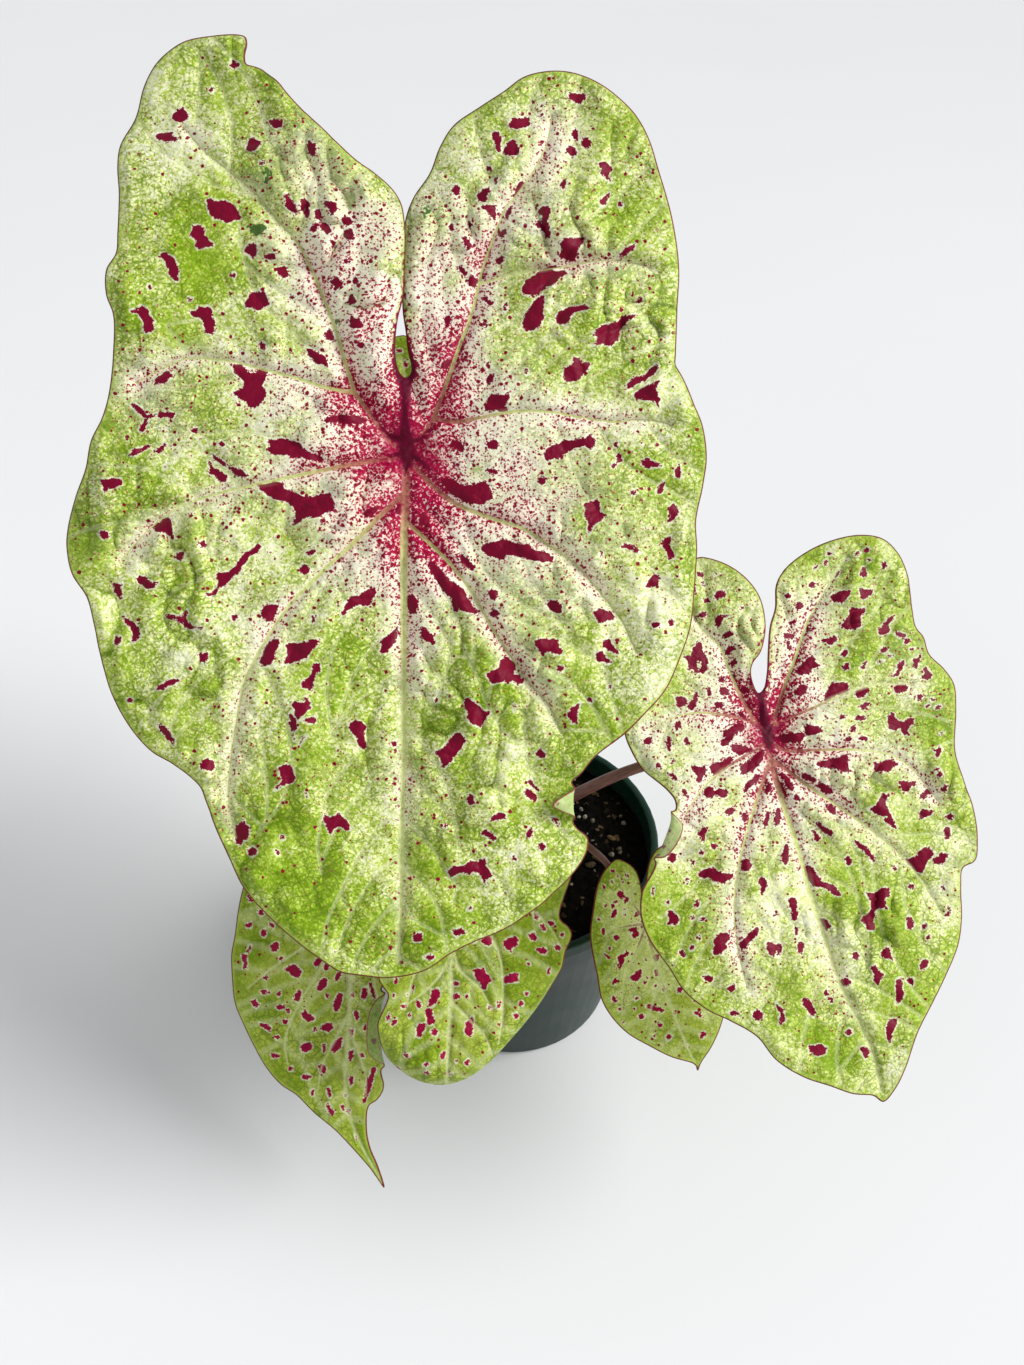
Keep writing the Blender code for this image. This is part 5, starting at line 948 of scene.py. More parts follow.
            [(208, 785), (240, 785), (245, 798), (218, 800)], [(422, 840), (440, 830), (458, 850), (450, 872), (430, 865)], [(292, 845), (310, 842), (308, 858), (293, 860)],
            [(343, 885), (370, 875), (390, 885), (380, 898), (355, 900)], [(562, 890), (580, 885), (580, 915), (568, 930)], [(388, 945), (402, 945), (402, 970), (390, 970)],
            [(462, 940), (475, 935), (482, 970), (475, 985), (465, 965)], [(538, 965), (552, 960), (552, 978), (540, 978)],
            [(458, 1010), (468, 1005), (480, 1030), (495, 1045), (485, 1058), (468, 1045)], [(522, 1015), (532, 1015), (540, 1040), (530, 1040)],
            [(548, 1035), (570, 1035), (562, 1058), (550, 1048)], [(585, 1145), (597, 1155), (593, 1170)]]),
    ],
    "d": [
        (375, 880, 5.854, [
            [(925, 190), (950, 190), (965, 215), (955, 235), (935, 225)], [(1015, 240), (1045, 240), (1050, 260), (1025, 268)],
            [(965, 262), (985, 262), (995, 290), (990, 302), (975, 285)], [(900, 315), (925, 305), (948, 330), (940, 352), (912, 348)],
            [(945, 405), (985, 392), (1010, 410), (1000, 430), (970, 425)], [(1052, 385), (1075, 378), (1090, 400), (1075, 415), (1058, 405)],
            [(1088, 310), (1105, 310), (1100, 335), (1090, 330)],
            [(755, 360), (780, 340), (820, 330), (835, 350), (830, 380), (800, 400), (795, 420), (770, 400), (758, 385)],
            [(625, 345), (650, 328), (680, 330), (685, 355), (670, 385), (645, 378), (630, 368)], [(560, 355), (590, 352), (580, 368)],
            [(580, 525), (600, 515), (625, 530), (635, 510), (645, 540), (665, 560), (680, 590), (660, 605), (650, 635), (630, 638), (618, 600), (600, 575), (582, 560)],
            [(750, 570), (780, 560), (800, 548), (835, 548), (835, 595), (790, 600), (765, 608), (752, 595)],
            [(890, 482), (902, 482), (905, 495), (893, 495)], [(1008, 530), (1022, 515), (1020, 545), (1010, 548)],
            [(458, 595), (490, 595), (492, 615), (465, 620)], [(462, 670), (490, 665), (492, 690), (465, 698)], [(533, 672), (545, 672), (543, 688), (533, 686)],
            [(875, 658), (895, 655), (895, 672), (880, 672)], [(845, 710), (862, 712), (865, 732), (850, 735)], [(655, 735), (680, 738), (690, 752), (665, 755)],
            [(712, 712), (735, 712), (732, 725), (712, 722)], [(715, 735), (732, 735), (730, 752), (712, 748)], [(808, 785), (825, 775), (838, 795), (825, 810), (810, 802)],
            [(720, 840), (732, 840), (728, 855)],
            [(330, 660), (335, 640), (375, 635), (378, 670), (360, 710), (340, 738), (312, 740), (318, 710), (330, 690)],
            [(298, 765), (312, 750), (330, 760), (335, 790), (350, 815), (345, 840), (322, 850), (305, 830), (300, 800)],
            [(243, 880), (250, 845), (295, 835), (295, 865), (280, 895), (262, 925), (240, 910), (245, 895)],
            [(328, 885), (350, 870), (365, 885), (355, 908), (335, 905)], [(245, 710), (262, 705), (268, 740), (255, 755), (245, 735)],
            [(152, 740), (175, 725), (190, 730), (180, 748), (158, 752)], [(215, 640), (228, 618), (228, 640), (218, 660)], [(185, 670), (195, 668), (192, 690)],
            [(105, 668), (114, 668), (112, 685), (105, 682)], [(118, 575), (132, 572), (128, 600), (118, 602)], [(72, 800), (85, 778), (90, 800), (75, 830), (68, 825)],
            [(95, 840), (110, 820), (128, 810), (125, 835), (100, 852)], [(198, 785), (208, 775), (210, 800), (200, 810)],
            [(525, 880), (535, 830), (560, 805), (575, 795), (580, 825), (570, 860), (570, 905), (555, 918), (535, 905)],
            [(170, 1015), (195, 1012), (205, 1030), (185, 1035)], [(382, 1025), (395, 1002), (410, 1005), (405, 1035), (388, 1045)],
            [(283, 1080), (300, 1065), (315, 1075), (300, 1092)], [(292, 1130), (305, 1115), (318, 1130), (300, 1140)],
            [(525, 1065), (545, 1045), (553, 1065), (545, 1082), (528, 1080)], [(472, 1050), (482, 1052), (480, 1068), (472, 1062)],
            [(435, 1145), (452, 1130), (455, 1140), (440, 1150)]]),
    ],
    "e": [
        (585, 850, 6.222, [
            [(160, 122), (178, 122), (175, 138), (162, 136)], [(195, 160), (208, 158), (208, 172), (197, 174)], [(245, 145), (258, 150), (270, 165), (262, 172), (248, 160)],
            [(152, 195), (168, 188), (175, 202), (160, 210)], [(108, 222), (122, 222), (120, 238), (110, 238)], [(225, 195), (238, 195), (236, 206), (226, 206)],
            [(198, 270), (210, 255), (232, 258), (240, 285), (225, 303), (205, 292)], [(238, 325), (250, 300), (270, 288), (272, 305), (255, 330), (243, 338)],
            [(172, 325), (195, 315), (200, 325), (185, 332)], [(160, 340), (175, 335), (178, 352), (165, 355)], [(115, 340), (130, 342), (122, 355)],
            [(163, 405), (175, 375), (195, 370), (198, 390), (182, 415), (168, 425)], [(238, 370), (258, 368), (250, 378)], [(236, 395), (250, 392), (252, 405), (238, 405)],
            [(310, 390), (325, 375), (338, 385), (335, 408), (315, 408)], [(75, 425), (92, 425), (90, 440), (78, 440)], [(100, 490), (115, 485), (125, 510), (115, 525), (103, 510)],
            [(178, 535), (200, 530), (212, 545), (195, 562), (180, 555)],
            [(268, 510), (285, 482), (315, 480), (330, 510), (325, 540), (305, 550), (285, 540), (300, 525), (290, 505), (278, 522)],
            [(145, 605), (160, 605), (158, 622), (147, 622)], [(120, 645), (135, 648), (150, 672), (138, 672)],
            [(198, 670), (215, 655), (240, 650), (260, 628), (270, 640), (255, 660), (240, 675), (240, 700), (220, 720), (210, 745), (205, 720), (210, 695)],
            [(365, 678), (380, 678), (375, 690)], [(425, 665), (440, 650), (455, 655), (458, 680), (445, 695), (428, 685)],
            [(283, 800), (290, 780), (315, 765), (345, 740), (352, 765), (345, 790), (320, 815), (295, 810)], [(428, 755), (440, 740), (458, 765), (445, 785), (430, 775)],
            [(378, 790), (392, 790), (388, 802)], [(365, 820), (380, 820), (378, 835), (367, 832)], [(430, 835), (442, 830), (442, 850), (432, 855)],
            [(478, 860), (488, 840), (500, 860), (490, 880), (478, 880)], [(568, 870), (580, 855), (600, 852), (605, 870), (590, 888), (570, 886)],
            [(172, 835), (180, 800), (195, 795), (195, 815), (180, 840)], [(165, 915), (180, 905), (185, 930), (203, 940), (188, 950), (168, 935)],
            [(205, 980), (218, 978), (222, 995), (210, 1000)], [(302, 925), (320, 912), (338, 920), (320, 930), (308, 938)],
            [(378, 965), (400, 958), (420, 970), (460, 975), (488, 1000), (475, 1010), (440, 998), (400, 985), (380, 980)],
            [(330, 1030), (350, 1018), (370, 1030), (360, 1048), (340, 1050)], [(300, 982), (310, 982), (308, 995)], [(232, 1068), (242, 1068), (240, 1080)],
            [(455, 1075), (470, 1070), (480, 1090), (465, 1100), (455, 1090)], [(552, 1015), (563, 1015), (560, 1030)],
            [(675, 1005), (695, 1002), (720, 1010), (725, 1035), (710, 1040), (700, 1022), (680, 1020)], [(670, 930), (685, 935), (680, 950)],
            [(712, 1150), (725, 1130), (745, 1128), (748, 1150), (730, 1170), (715, 1168)], [(500, 1160), (520, 1145), (540, 1155), (530, 1175), (515, 1185)],
            [(422, 1150), (435, 1148), (432, 1165)], [(625, 1215), (640, 1215), (635, 1230)]]),
    ],
}

# Where small red flecks are dense: centre, radii, amount.
FLECKS = {
    "a": [(407, 446, 58, 58, 0.62), (407, 440, 122, 132, 0.36), (330, 240, 60, 100, 0.20), (372, 310, 34, 100, 0.26), (445, 300, 46, 120, 0.32),
          (345, 495, 56, 50, 0.24), (382, 550, 26, 70, 0.26), (428, 550, 24, 66, 0.22),
          (300, 400, 60, 40, 0.12), (310, 500, 60, 34, 0.14), (500, 480, 90, 45, 0.25), (410, 600, 24, 150, 0.20), (530, 190, 80, 100, 0.20),
          (290, 180, 70, 70, 0.14), (590, 560, 60, 70, 0.20), (480, 560, 60, 60, 0.22), (150, 440, 90, 100, 0.08), (450, 800, 140, 90, 0.06)],
    "b": [(766, 728, 20, 26, 0.70), (768, 722, 56, 60, 0.20), (800, 650, 34, 80, 0.14), (730, 700, 50, 55, 0.18), (730, 640, 44, 56, 0.18),
          (850, 640, 70, 70, 0.12), (700, 800, 50, 40, 0.10), (830, 760, 60, 40, 0.14)],
    "c": [(356, 908, 30, 30, 0.5)],
    "d": [(457, 886, 30, 30, 0.5)],
    "e": [(646, 924, 18, 20, 0.4)],
    "f": [(427, 470, 30, 34, 0.5)],
}
# Greener (+) and creamier (-) areas: centre, radii, amount.
PATCHES = {
    "a": [(170, 90, 46, 46, 0.20), (215, 75, 34, 26, 0.10), (210, 215, 40, 30, 0.45), (165, 255, 40, 34, 0.35), (235, 270, 34, 26, 0.30),
          (190, 300, 34, 34, 0.35), (128, 290, 22, 30, 0.25), (268, 330, 30, 22, 0.20), (150, 180, 30, 30, -0.25), (260, 110, 40, 26, -0.25),
          (320, 160, 46, 30, -0.10), (118, 430, 28, 34, 0.25), (200, 390, 40, 20, 0.22), (210, 420, 34, 16, 0.25), (90, 540, 24, 40, 0.10),
          (180, 470, 40, 16, -0.10), (160, 610, 50, 40, 0.35), (120, 660, 24, 44, 0.30), (190, 570, 40, 26, 0.22), (240, 700, 30, 60, -0.15),
          (290, 590, 30, 26, 0.10), (320, 700, 40, 60, 0.20), (270, 800, 40, 50, 0.45), (250, 860, 34, 40, 0.45), (330, 880, 50, 46, 0.35),
          (370, 940, 50, 30, 0.45), (300, 930, 40, 30, 0.30), (360, 660, 30, 60, 0.22), (350, 790, 30, 50, 0.15), (290, 760, 30, 40, 0.22),
          (410, 950, 46, 22, 0.35), (450, 800, 40, 60, 0.15), (480, 690, 36, 60, 0.22), (530, 640, 30, 60, 0.15), (470, 905, 40, 26, 0.15),
          (560, 860, 30, 40, 0.05), (540, 720, 40, 40, 0.15), (600, 700, 50, 50, 0.05), (560, 780, 30, 30, 0.05), (612, 375, 34, 26, 0.32),
          (640, 450, 40, 60, 0.10), (600, 290, 40, 34, 0.35), (580, 320, 34, 20, 0.22), (560, 205, 30, 30, 0.12), (550, 95, 50, 26, 0.10),
          (640, 190, 30, 60, 0.18), (655, 300, 20, 60, 0.15), (620, 130, 30, 34, 0.15), (530, 590, 30, 26, 0.12), (570, 500, 36, 26, 0.15),
          (640, 560, 40, 40, 0.02), (650, 640, 30, 40, 0.02), (430, 860, 40, 40, 0.10), (500, 860, 40, 30, 0.05), (520, 420, 60, 16, -0.22),
          (600, 600, 60, 40, -0.18), (450, 640, 30, 60, -0.10), (620, 690, 40, 20, -0.05), (480, 220, 40, 60, -0.20), (350, 220, 40, 50, -0.25),
          (200, 330, 40, 16, -0.10), (240, 360, 60, 14, -0.28), (130, 560, 30, 20, -0.10), (170, 660, 40, 16, -0.05)],
    "b": [(860, 600, 40, 40, 0.15), (900, 640, 30, 30, 0.20), (930, 730, 24, 60, 0.20), (860, 720, 40, 22, 0.15), (800, 600, 20, 34, -0.10),
          (880, 880, 50, 40, 0.15), (800, 1030, 50, 34, 0.18), (700, 920, 40, 40, 0.15), (690, 970, 30, 20, 0.12), (900, 1000, 30, 50, 0.25),
          (850, 1060, 46, 26, 0.22), (720, 840, 40, 40, -0.10), (770, 930, 50, 40, -0.10), (850, 930, 34, 30, -0.15), (780, 870, 30, 40, -0.10),
          (660, 720, 26, 40, 0.12), (740, 600, 34, 26, 0.10), (860, 820, 34, 16, 0.20), (650, 910, 14, 30, 0.05)],
    "c": [(250, 960, 26, 50, 0.2), (290, 1080, 40, 20, 0.2), (370, 1150, 20, 40, 0.3), (300, 1030, 40, 60, 0.12)],
    "d": [(400, 1060, 40, 20, 0.2), (530, 990, 30, 30, 0.1), (470, 1010, 40, 50, 0.0)],
    "e": [(598, 940, 12, 70, 0.60), (622, 1012, 34, 22, 0.45), (612, 872, 26, 16, 0.45), (700, 1050, 22, 22, 0.55), (660, 1036, 30, 12, 0.45),
          (645, 960, 24, 50, -0.25)],
    "f": [(400, 345, 30, 20, 0.4)],
}
DARK = {"a": [(267.6, 173, 7, 17, -12), (256, 229, 19, 13, 0), (337, 321, 5, 10, -20), (365, 163, 12, 4, 42), (119, 152, 5, 4, 0), (427, 213, 5, 10, 20)]}

# spacing of the upper and lower layers, relief and vein sizes, colours
STYLE = {
    "a": dict(top=2.7, bottom=5.0, second=44, bulge=0.0017, crinkle=0.0019, green=0.47, seed=11, pale=1.0, uv=1.0),
    "b": dict(top=2.3, bottom=4.6, second=34, bulge=0.0012, crinkle=0.0013, green=0.53, seed=23, pale=1.0, uv=1.0, grain=0.42, blush=0.6),
    # c and e: their colours are lightened as painted light, for the light that the leaves above keep off them
    "c": dict(top=1.9, bottom=3.2, second=22, bulge=0.0006, crinkle=0.0005, green=0.86, seed=31, pale=0.0, uv=1.0, painted_light_gain=1.10),
    "d": dict(top=1.9, bottom=3.2, second=24, bulge=0.0006, crinkle=0.0005, green=0.86, seed=43, pale=0.15, uv=1.0),
    "e": dict(top=1.8, bottom=3.0, second=20, bulge=0.00045, crinkle=0.0004, green=0.46, seed=57, pale=0.0, uv=1.0, painted_light_gain=1.48),
    "f": dict(top=3.0, bottom=4.5, second=28, bulge=0.00055, crinkle=0.0007, green=0.85, seed=61, pale=0.0, uv=1.0),
}


def branch_veins(blade, mains, spacing, seed):
    """Second and third order veins, grown out from the ones before until they
    meet another vein or come near the margin."""
    rng = np.random.default_rng(seed)
    loop = blade.loop
    la, lb = loop, np.roll(loop, -1, 0)
    lab = lb - la
    lll = np.maximum((lab * lab).sum(1), 1e-9)

    def to_edge(q):
        d = q - la
        t = np.clip((d * lab).sum(1) / lll, 0, 1)
        d = d - t[:, None] * lab
        return math.sqrt((d * d).sum(1).min())

    store = np.zeros((60000, 3))
    count = 0

    def put(points, tag):
        nonlocal count
        store[count:count + len(points), :2] = points
        store[count:count + len(points), 2] = tag
        count += len(points)

    lines = []
    for i, (_, _, pts) in enumerate(mains):
        lines.append(smooth(pts, 3.0, False))
        put(lines[-1], i)
    seconds, thirds = [], []

    def grow(start, heading, bend, tag, parent, clear, limit):
        q, path = start.copy(), [start.copy()]
        g = math.atan2(heading[1], heading[0])
        for k in range(limit):
            g += bend + rng.normal(0, 0.035)
            q = q + 3.2 * np.array((math.cos(g), math.sin(g)))
            if to_edge(q) < 3.0 or not inside(q[None], loop)[0]:
                break
            d = store[:count, :2] - q
            d2 = (d * d).sum(1)
            own = (store[:count, 2] == tag) | ((store[:count, 2] == parent) & (k < 7))
            d2 = np.where(own, 1e9, d2)
            path.append(q.copy())
            m = int(d2.argmin())
            if d2[m] < clear * clear:
                path.append(store[m, :2].copy())
                break
        return np.array(path)

    tag = 100
    for i, line in enumerate(lines):
        total = len(line) * 3.0
        s = spacing * (0.55 if i else 0.8)
        side = 1
        while s < total - 10:
            k = int(s / 3.0)
            t = line[min(k + 2, len(line) - 1)] - line[max(k - 2, 0)]
            g = math.atan2(t[1], t[0])
            for sd in (1, -1):
                gg = g + sd * math.radians(58 + rng.uniform(-6, 6))
                path = grow(line[k], (math.cos(gg), math.sin(gg)), -sd * 0.020, tag, i, 3.4, 60)
                if len(path) > 4:
                    seconds.append(path)
                    put(path, tag)
                    tag += 1
                s += spacing * 0.22 * rng.uniform(0.7, 1.3)
                k = min(int(s / 3.0), len(line) - 2)
            s += spacing * 0.62
    for path in list(seconds):
        own = tag - len(seconds)
        k = 4
        while k < len(path) - 3:
            t = path[k + 1] - path[k - 1]
            g = math.atan2(t[1], t[0])
            for sd in (1, -1):
                gg = g + sd * math.radians(70 + rng.uniform(-12, 12))
                third = grow(path[k], (math.cos(gg), math.sin(gg)), -sd * 0.01, -1, -2, 2.4, 14)
                # the first few steps always run beside their own parent
                if len(third) > 3:
                    thirds.append(third)
                    put(third[2:], tag)
                    tag += 1
            k += int(rng.integers(4, 7))
    return lines, seconds, thirds


def samples(paths, gap):
    """Points every gap along the paths."""
    out = []
    for p in paths:
        run = np.concatenate([[0], np.cumsum(np.linalg.norm(np.diff(p, axis=0), axis=1))])
        s = np.linspace(0, run[-1], max(int(run[-1] / gap), 1) + 1)
        out.append(np.stack([np.interp(s, run, p[:, k]) for k in (0, 1)], 1))
    return np.vstack(out) if out else np.zeros((0, 2))


def nearest(p, pts, values=None):
    """Distance from p to the nearest of dense points, and that point's index. The values argument is not used."""
    tree = kdtree.KDTree(len(pts))
    for i, q in enumerate(pts):
        tree.insert((q[0], q[1], 0.0), i)
    tree.balance()
    d = np.empty(len(p))
    w = np.empty(len(p), int)
    for i, q in enumerate(p):
        _, w[i], d[i] = tree.find((q[0], q[1], 0.0))
    return d, w


def outlines(key):
    """The drawn blotches of a blade, in view units."""
    return [np.array(ring, float) / k + (x0, y0) for x0, y0, k, rings in SHAPES.get(key, []) for ring in rings]


def clear_of(x, y, rings, gap):
    """Whether the point is outside every ring by more than gap."""
    q = np.array([(float(x), float(y))])
    for ring in rings:
        lo, hi = ring.min(0) - gap, ring.max(0) + gap
        if (q[0] < lo).any() or (q[0] > hi).any():
            continue
        if inside(q, ring)[0] or line_distance(q, ring, np.roll(ring, -1, 0))[0] < gap:
            return False
    return True


def blot_field(p, blots, streaks, seed, rings=()):
    """Signed distance to the red blotches in view units, positive inside. The
    drawn outlines come first; the others are ragged many-cornered patches with
    drawn-out points, where no outline is drawn."""
    rng = np.random.default_rng(seed)
    blots = [b for b in blots if clear_of(b[0], b[1], rings, 5.0)]
    streaks = [t for t in streaks if all(clear_of(x, y, rings, 5.0) for x, y in t[1])]
    out = np.full(len(p), -12.0)
    wob = noise(p, 7.0, seed) * 0.8 + noise(p, 3.4, seed + 5) * 0.7
    for cx, cy, w, h, tilt in blots:
        a, b = max(w, 3.4) / 2, max(h, 3.4) / 2
        long_ = max(a, b) / min(a, b)
        count = int(rng.integers(4, 6)) + int(long_ > 1.6) + int(max(a, b) > 12) * 2
        turn = rng.uniform(0, math.tau)
        corners = []
        for k in range(2 * count):
            g = turn + (k + rng.uniform(-0.28, 0.28)) * math.pi / count
            u = rng.uniform()
            r = rng.uniform(0.90, 1.14) if u < 0.52 else rng.uniform(1.14, 1.42) if u < 0.72 else rng.uniform(0.62, 0.82)
            corners.append((a * r * math.cos(g), b * r * math.sin(g)))
        g = math.radians(tilt)
        ring = np.array(corners) @ np.array(((math.cos(g), math.sin(g)), (-math.sin(g), math.cos(g)))) + (cx, cy)
        r = max(a, b) * 1.4 + 12
        near = (np.abs(p[:, 0] - cx) < r) & (np.abs(p[:, 1] - cy) < r)
        if not near.any():
            continue
        q = p[near]
        d = line_distance(q, ring, np.roll(ring, -1, 0))
        d = np.where(inside(q, ring), d, -d)
        d = d + wob[near] * min(1.0, 0.11 * min(a, b)) + 0.25
        out[near] = np.maximum(out[near], d)
    for ring in rings:
        near = (p > ring.min(0) - 13).all(1) & (p < ring.max(0) + 13).all(1)
        if not near.any():
            continue
        q = p[near]
        d = line_distance(q, ring, np.roll(ring, -1, 0))
        d = np.where(inside(q, ring), d, -d) + 0.35
        out[near] = np.maximum(out[near], d)
    for w, pts in streaks:
        line = smooth(pts, 2.5, False) if len(pts) > 2 else np.linspace(pts[0], pts[1], 8)
        lo, hi = line.min(0) - 14 - w, line.max(0) + 14 + w
        near = (p > lo).all(1) & (p < hi).all(1)
        if not near.any():
            continue
        # the width swells and shrinks along the streak, and its ends taper
        q = p[near]
        _, at_ = nearest(q, line)
        t = at_ / (len(line) - 1)
        width = w * (0.62 + 0.45 * np.sin(np.pi * np.clip(t, 0.08, 0.92))) * (1 + 0.30 * noise(np.column_stack([at_ * 2.5, q[:, 0] * 0]), 7.0, seed + 9))
        d = width / 2 - line_distance(q, line[:-1], line[1:])
        d = d + wob[near] * min(1.3, 0.16 * w)
        out[near] = np.maximum(out[near], d)
    return out


def line_field(p, lines):
    """Signed distance to bands along lines, positive inside. Each line is a
    list of x, y and band width."""
    out = np.full(len(p), -12.0)
    for pts in lines:
        full = smooth(pts, 1.5, False)
        line, wide = full[:, :2], full[:, 2]
        near = (p > line.min(0) - 24).all(1) & (p < line.max(0) + 24).all(1)
        if not near.any():
            continue
        d, k = nearest(p[near], line)
        out[near] = np.maximum(out[near], wide[k] / 2 - d)
    return out


def ellipse_sum(p, areas):
    v = np.zeros(len(p))
    for cx, cy, rx, ry, amt in areas:
        v += amt * np.exp(-(((p[:, 0] - cx) / rx) ** 2 + ((p[:, 1] - cy) / ry) ** 2))
    return v


def pattern_mesh(blade, loop, grid, extra):
    """Triangles over the flat outline; extra points (veins) are kept."""
    lo, hi = loop.min(0), loop.max(0)
    rows, j, y = [], 0, lo[1] + grid * 0.4
    while y < hi[1]:
        xs = np.arange(lo[0] + (grid / 2 if j % 2 else 0), hi[0], grid)
        rows.append(np.stack([xs, np.full(len(xs), y)], 1))
        y += grid * 0.866
        j += 1
    pts = np.vstack(rows)
    pts = pts + np.stack([noise(pts, grid * 0.7, 3), noise(pts, grid * 0.7, 4)], 1) * grid * 0.12
    pts = pts[inside(pts, loop)]
    d, _ = nearest(pts, loop)
    pts = pts[d > grid * 0.62]
    for roll in blade.rolls:
        s = roll.beyond(pts)
        fine = roll.r * 0.33
        if fine < grid:
            keep = (s < -fine * 2)
            wv = np.arange(-70, 70, fine)
            sv = np.arange(-fine * 2, 46, fine)
            ww, ss = np.meshgrid(wv, sv)
            more = roll.o + ww.reshape(-1, 1) * roll.w + (roll.edge(ww.ravel()) + ss.ravel())[:, None] * roll.t
            more = more[inside(more, loop)]
            d, _ = nearest(more, loop)
            more = more[d > fine * 0.6]
            d, _ = nearest(pts, more)
            pts = np.vstack([pts[d > fine * 1.1], more])
    if len(extra):
        extra = extra[inside(extra, loop)]
        d, _ = nearest(extra, loop)
        extra = extra[d > grid * 0.55]
        # thin the vein points so that none crowd each other
        keep, seen = [], {}
        cell = grid * 0.55
        for i, q in enumerate(extra):
            key = (int(q[0] // cell), int(q[1] // cell))
            if key not in seen:
                seen[key] = 1
                keep.append(i)
        extra = extra[keep]
        d, _ = nearest(pts, extra)
        pts = np.vstack([pts[d > grid * 0.5], extra])
    n = len(loop)
    flat = [Vector(v) for v in loop] + [Vector(v) for v in pts]
    verts, _, faces, _, _, _ = delaunay_2d_cdt(flat, [(i, (i + 1) % n) for i in range(n)],
                                                 [list(range(n))], 1, 1e-6)
    q = np.array([(v.x, v.y) for v in verts])
    f = np.array([tuple(t) for t in faces if len(t) == 3])
    f = f[inside(q[f].mean(1), loop)]
    area = np.cross(q[f[:, 1]] - q[f[:, 0]], q[f[:, 2]] - q[f[:, 0]])
    f[area < 0] = f[area < 0][:, ::-1]
    return q, f


def vertex_normals(v, f):
    fn = np.cross(v[f[:, 1]] - v[f[:, 0]], v[f[:, 2]] - v[f[:, 0]])
    out = np.zeros_like(v)
    for k in range(3):
        np.add.at(out, f[:, k], fn)
    return out / np.maximum(np.linalg.norm(out, axis=1), 1e-12)[:, None]


def boundary(f):
    """Directed edges that one triangle uses."""
    e = np.vstack([f[:, (0, 1)], f[:, (1, 2)], f[:, (2, 0)]])
    key = {}
    for a, b in e:
        key[(a, b)] = key.get((a, b), 0) + 1
    return [(a, b) for (a, b) in key if (b, a) not in key]


def set_float(me, name, values):
    at_ = me.attributes.new(name, "FLOAT", "POINT")
    at_.data.foreach_set("value", np.asarray(values, np.float32))


def set_vec(me, name, values):
    at_ = me.attributes.new(name, "FLOAT_VECTOR", "POINT")
    at_.data.foreach_set("vector", np.asarray(values, np.float32).ravel())


def add(name, me, mats=(), body="root", smooth_it=True):
    ob = bpy.data.objects.new(name, me)
    for m in mats:
        me.materials.append(m)
    bpy.context.scene.collection.objects.link(ob)
    if smooth_it and isinstance(me, bpy.types.Mesh):
        me.shade_smooth()
    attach(ob, body)
    return ob


# ======================================================================
# Materials
# ======================================================================
def lin(r, g, b):
    """A display colour, 0 to 255, as linear."""
    def f(c):
        c /= 255.0
        return c / 12.92 if c <= 0.04045 else ((c + 0.055) / 1.055) ** 2.4
    return (f(r), f(g), f(b), 1.0)


class Nodes:
    """Short calls for building a node tree."""

    def __init__(self, name):
        self.m = bpy.data.materials.new(name)
        self.m.use_nodes = True
        self.t = self.m.node_tree
        self.p = self.t.nodes["Principled BSDF"]

    def new(self, kind, **props):
        n = self.t.nodes.new(kind)
        for k, v in props.items():
            setattr(n, k, v)
        return n

    def put(self, socket, value):
        if isinstance(value, bpy.types.NodeSocket):
            self.t.links.new(value, socket)
        elif value is not None:
            socket.default_value = value

    def attr(self, name, vector=False):
        n = self.new("ShaderNodeAttribute", attribute_name=name)
        return n.outputs["Vector" if vector else "Fac"]

    def math(self, op, a, b=None, c=None, clamp=False):
        n = self.new("ShaderNodeMath", operation=op, use_clamp=clamp)
        for s, v in zip(n.inputs, (a, b, c)):
            self.put(s, v)
        return n.outputs[0]

    def ramp(self, x, lo, hi, a=0.0, b=1.0, kind="SMOOTHSTEP"):
        n = self.new("ShaderNodeMapRange", interpolation_type=kind)
        for s, v in zip(("Value", "From Min", "From Max", "To Min", "To Max"), (x, lo, hi, a, b)):
            self.put(n.inputs[s], v)
        return n.outputs[0]

    def mix(self, f, a, b, kind="MIX"):
        n = self.new("ShaderNodeMix", data_type="RGBA", blend_type=kind)
        self.put(n.inputs[0], f)
        self.put(n.inputs[6], a)
        self.put(n.inputs[7], b)
        return n.outputs[2]

    def noise(self, vec, scale, detail=2.0, rough=0.5, distort=0.0):
        n = self.new("ShaderNodeTexNoise")
        self.put(n.inputs["Vector"], vec)
        for k, v in (("Scale", scale), ("Detail", detail), ("Roughness", rough), ("Distortion", distort)):
            n.inputs[k].default_value = v
        return n.outputs

    def cells(self, vec, scale, feature="F1", random=1.0, flat=False):
        n = self.new("ShaderNodeTexVoronoi", feature=feature)
        if flat:
            n.voronoi_dimensions = "2D"
        self.put(n.inputs["Vector"], vec)
        n.inputs["Scale"].default_value = scale
        n.inputs["Randomness"].default_value = random
        return n.outputs

    def red(self, colour):
        n = self.new("ShaderNodeSeparateColor")
        self.put(n.inputs[0], colour)
        return n.outputs

    def warp(self, vec, scale, amount):
        """The vector pushed about by noise."""
        o = self.noise(vec, scale, 2.0)["Color"]
        s = self.new("ShaderNodeVectorMath", operation="SUBTRACT")
        self.put(s.inputs[0], o)
        s.inputs[1].default_value = (0.5, 0.5, 0.5)
        k = self.new("ShaderNodeVectorMath", operation="SCALE")
        self.put(k.inputs[0], s.outputs[0])
        k.inputs["Scale"].default_value = amount
        a = self.new("ShaderNodeVectorMath", operation="ADD")
        self.put(a.inputs[0], vec)
        self.put(a.inputs[1], k.outputs[0])
        return a.outputs[0]

    def bump(self, height, strength, distance):
        n = self.new("ShaderNodeBump")
        n.inputs["Strength"].default_value = strength
        n.inputs["Distance"].default_value = distance
        self.put(n.inputs["Height"], height)
        return n.outputs[0]


CREAM = lin(237, 237, 206)
LIME = lin(172, 194, 74)
GREEN = lin(126, 160, 22)
DEEP = lin(88, 122, 8)
RED = lin(124, 2, 40)
PINK = lin(172, 14, 68)
HALO = lin(246, 242, 228)


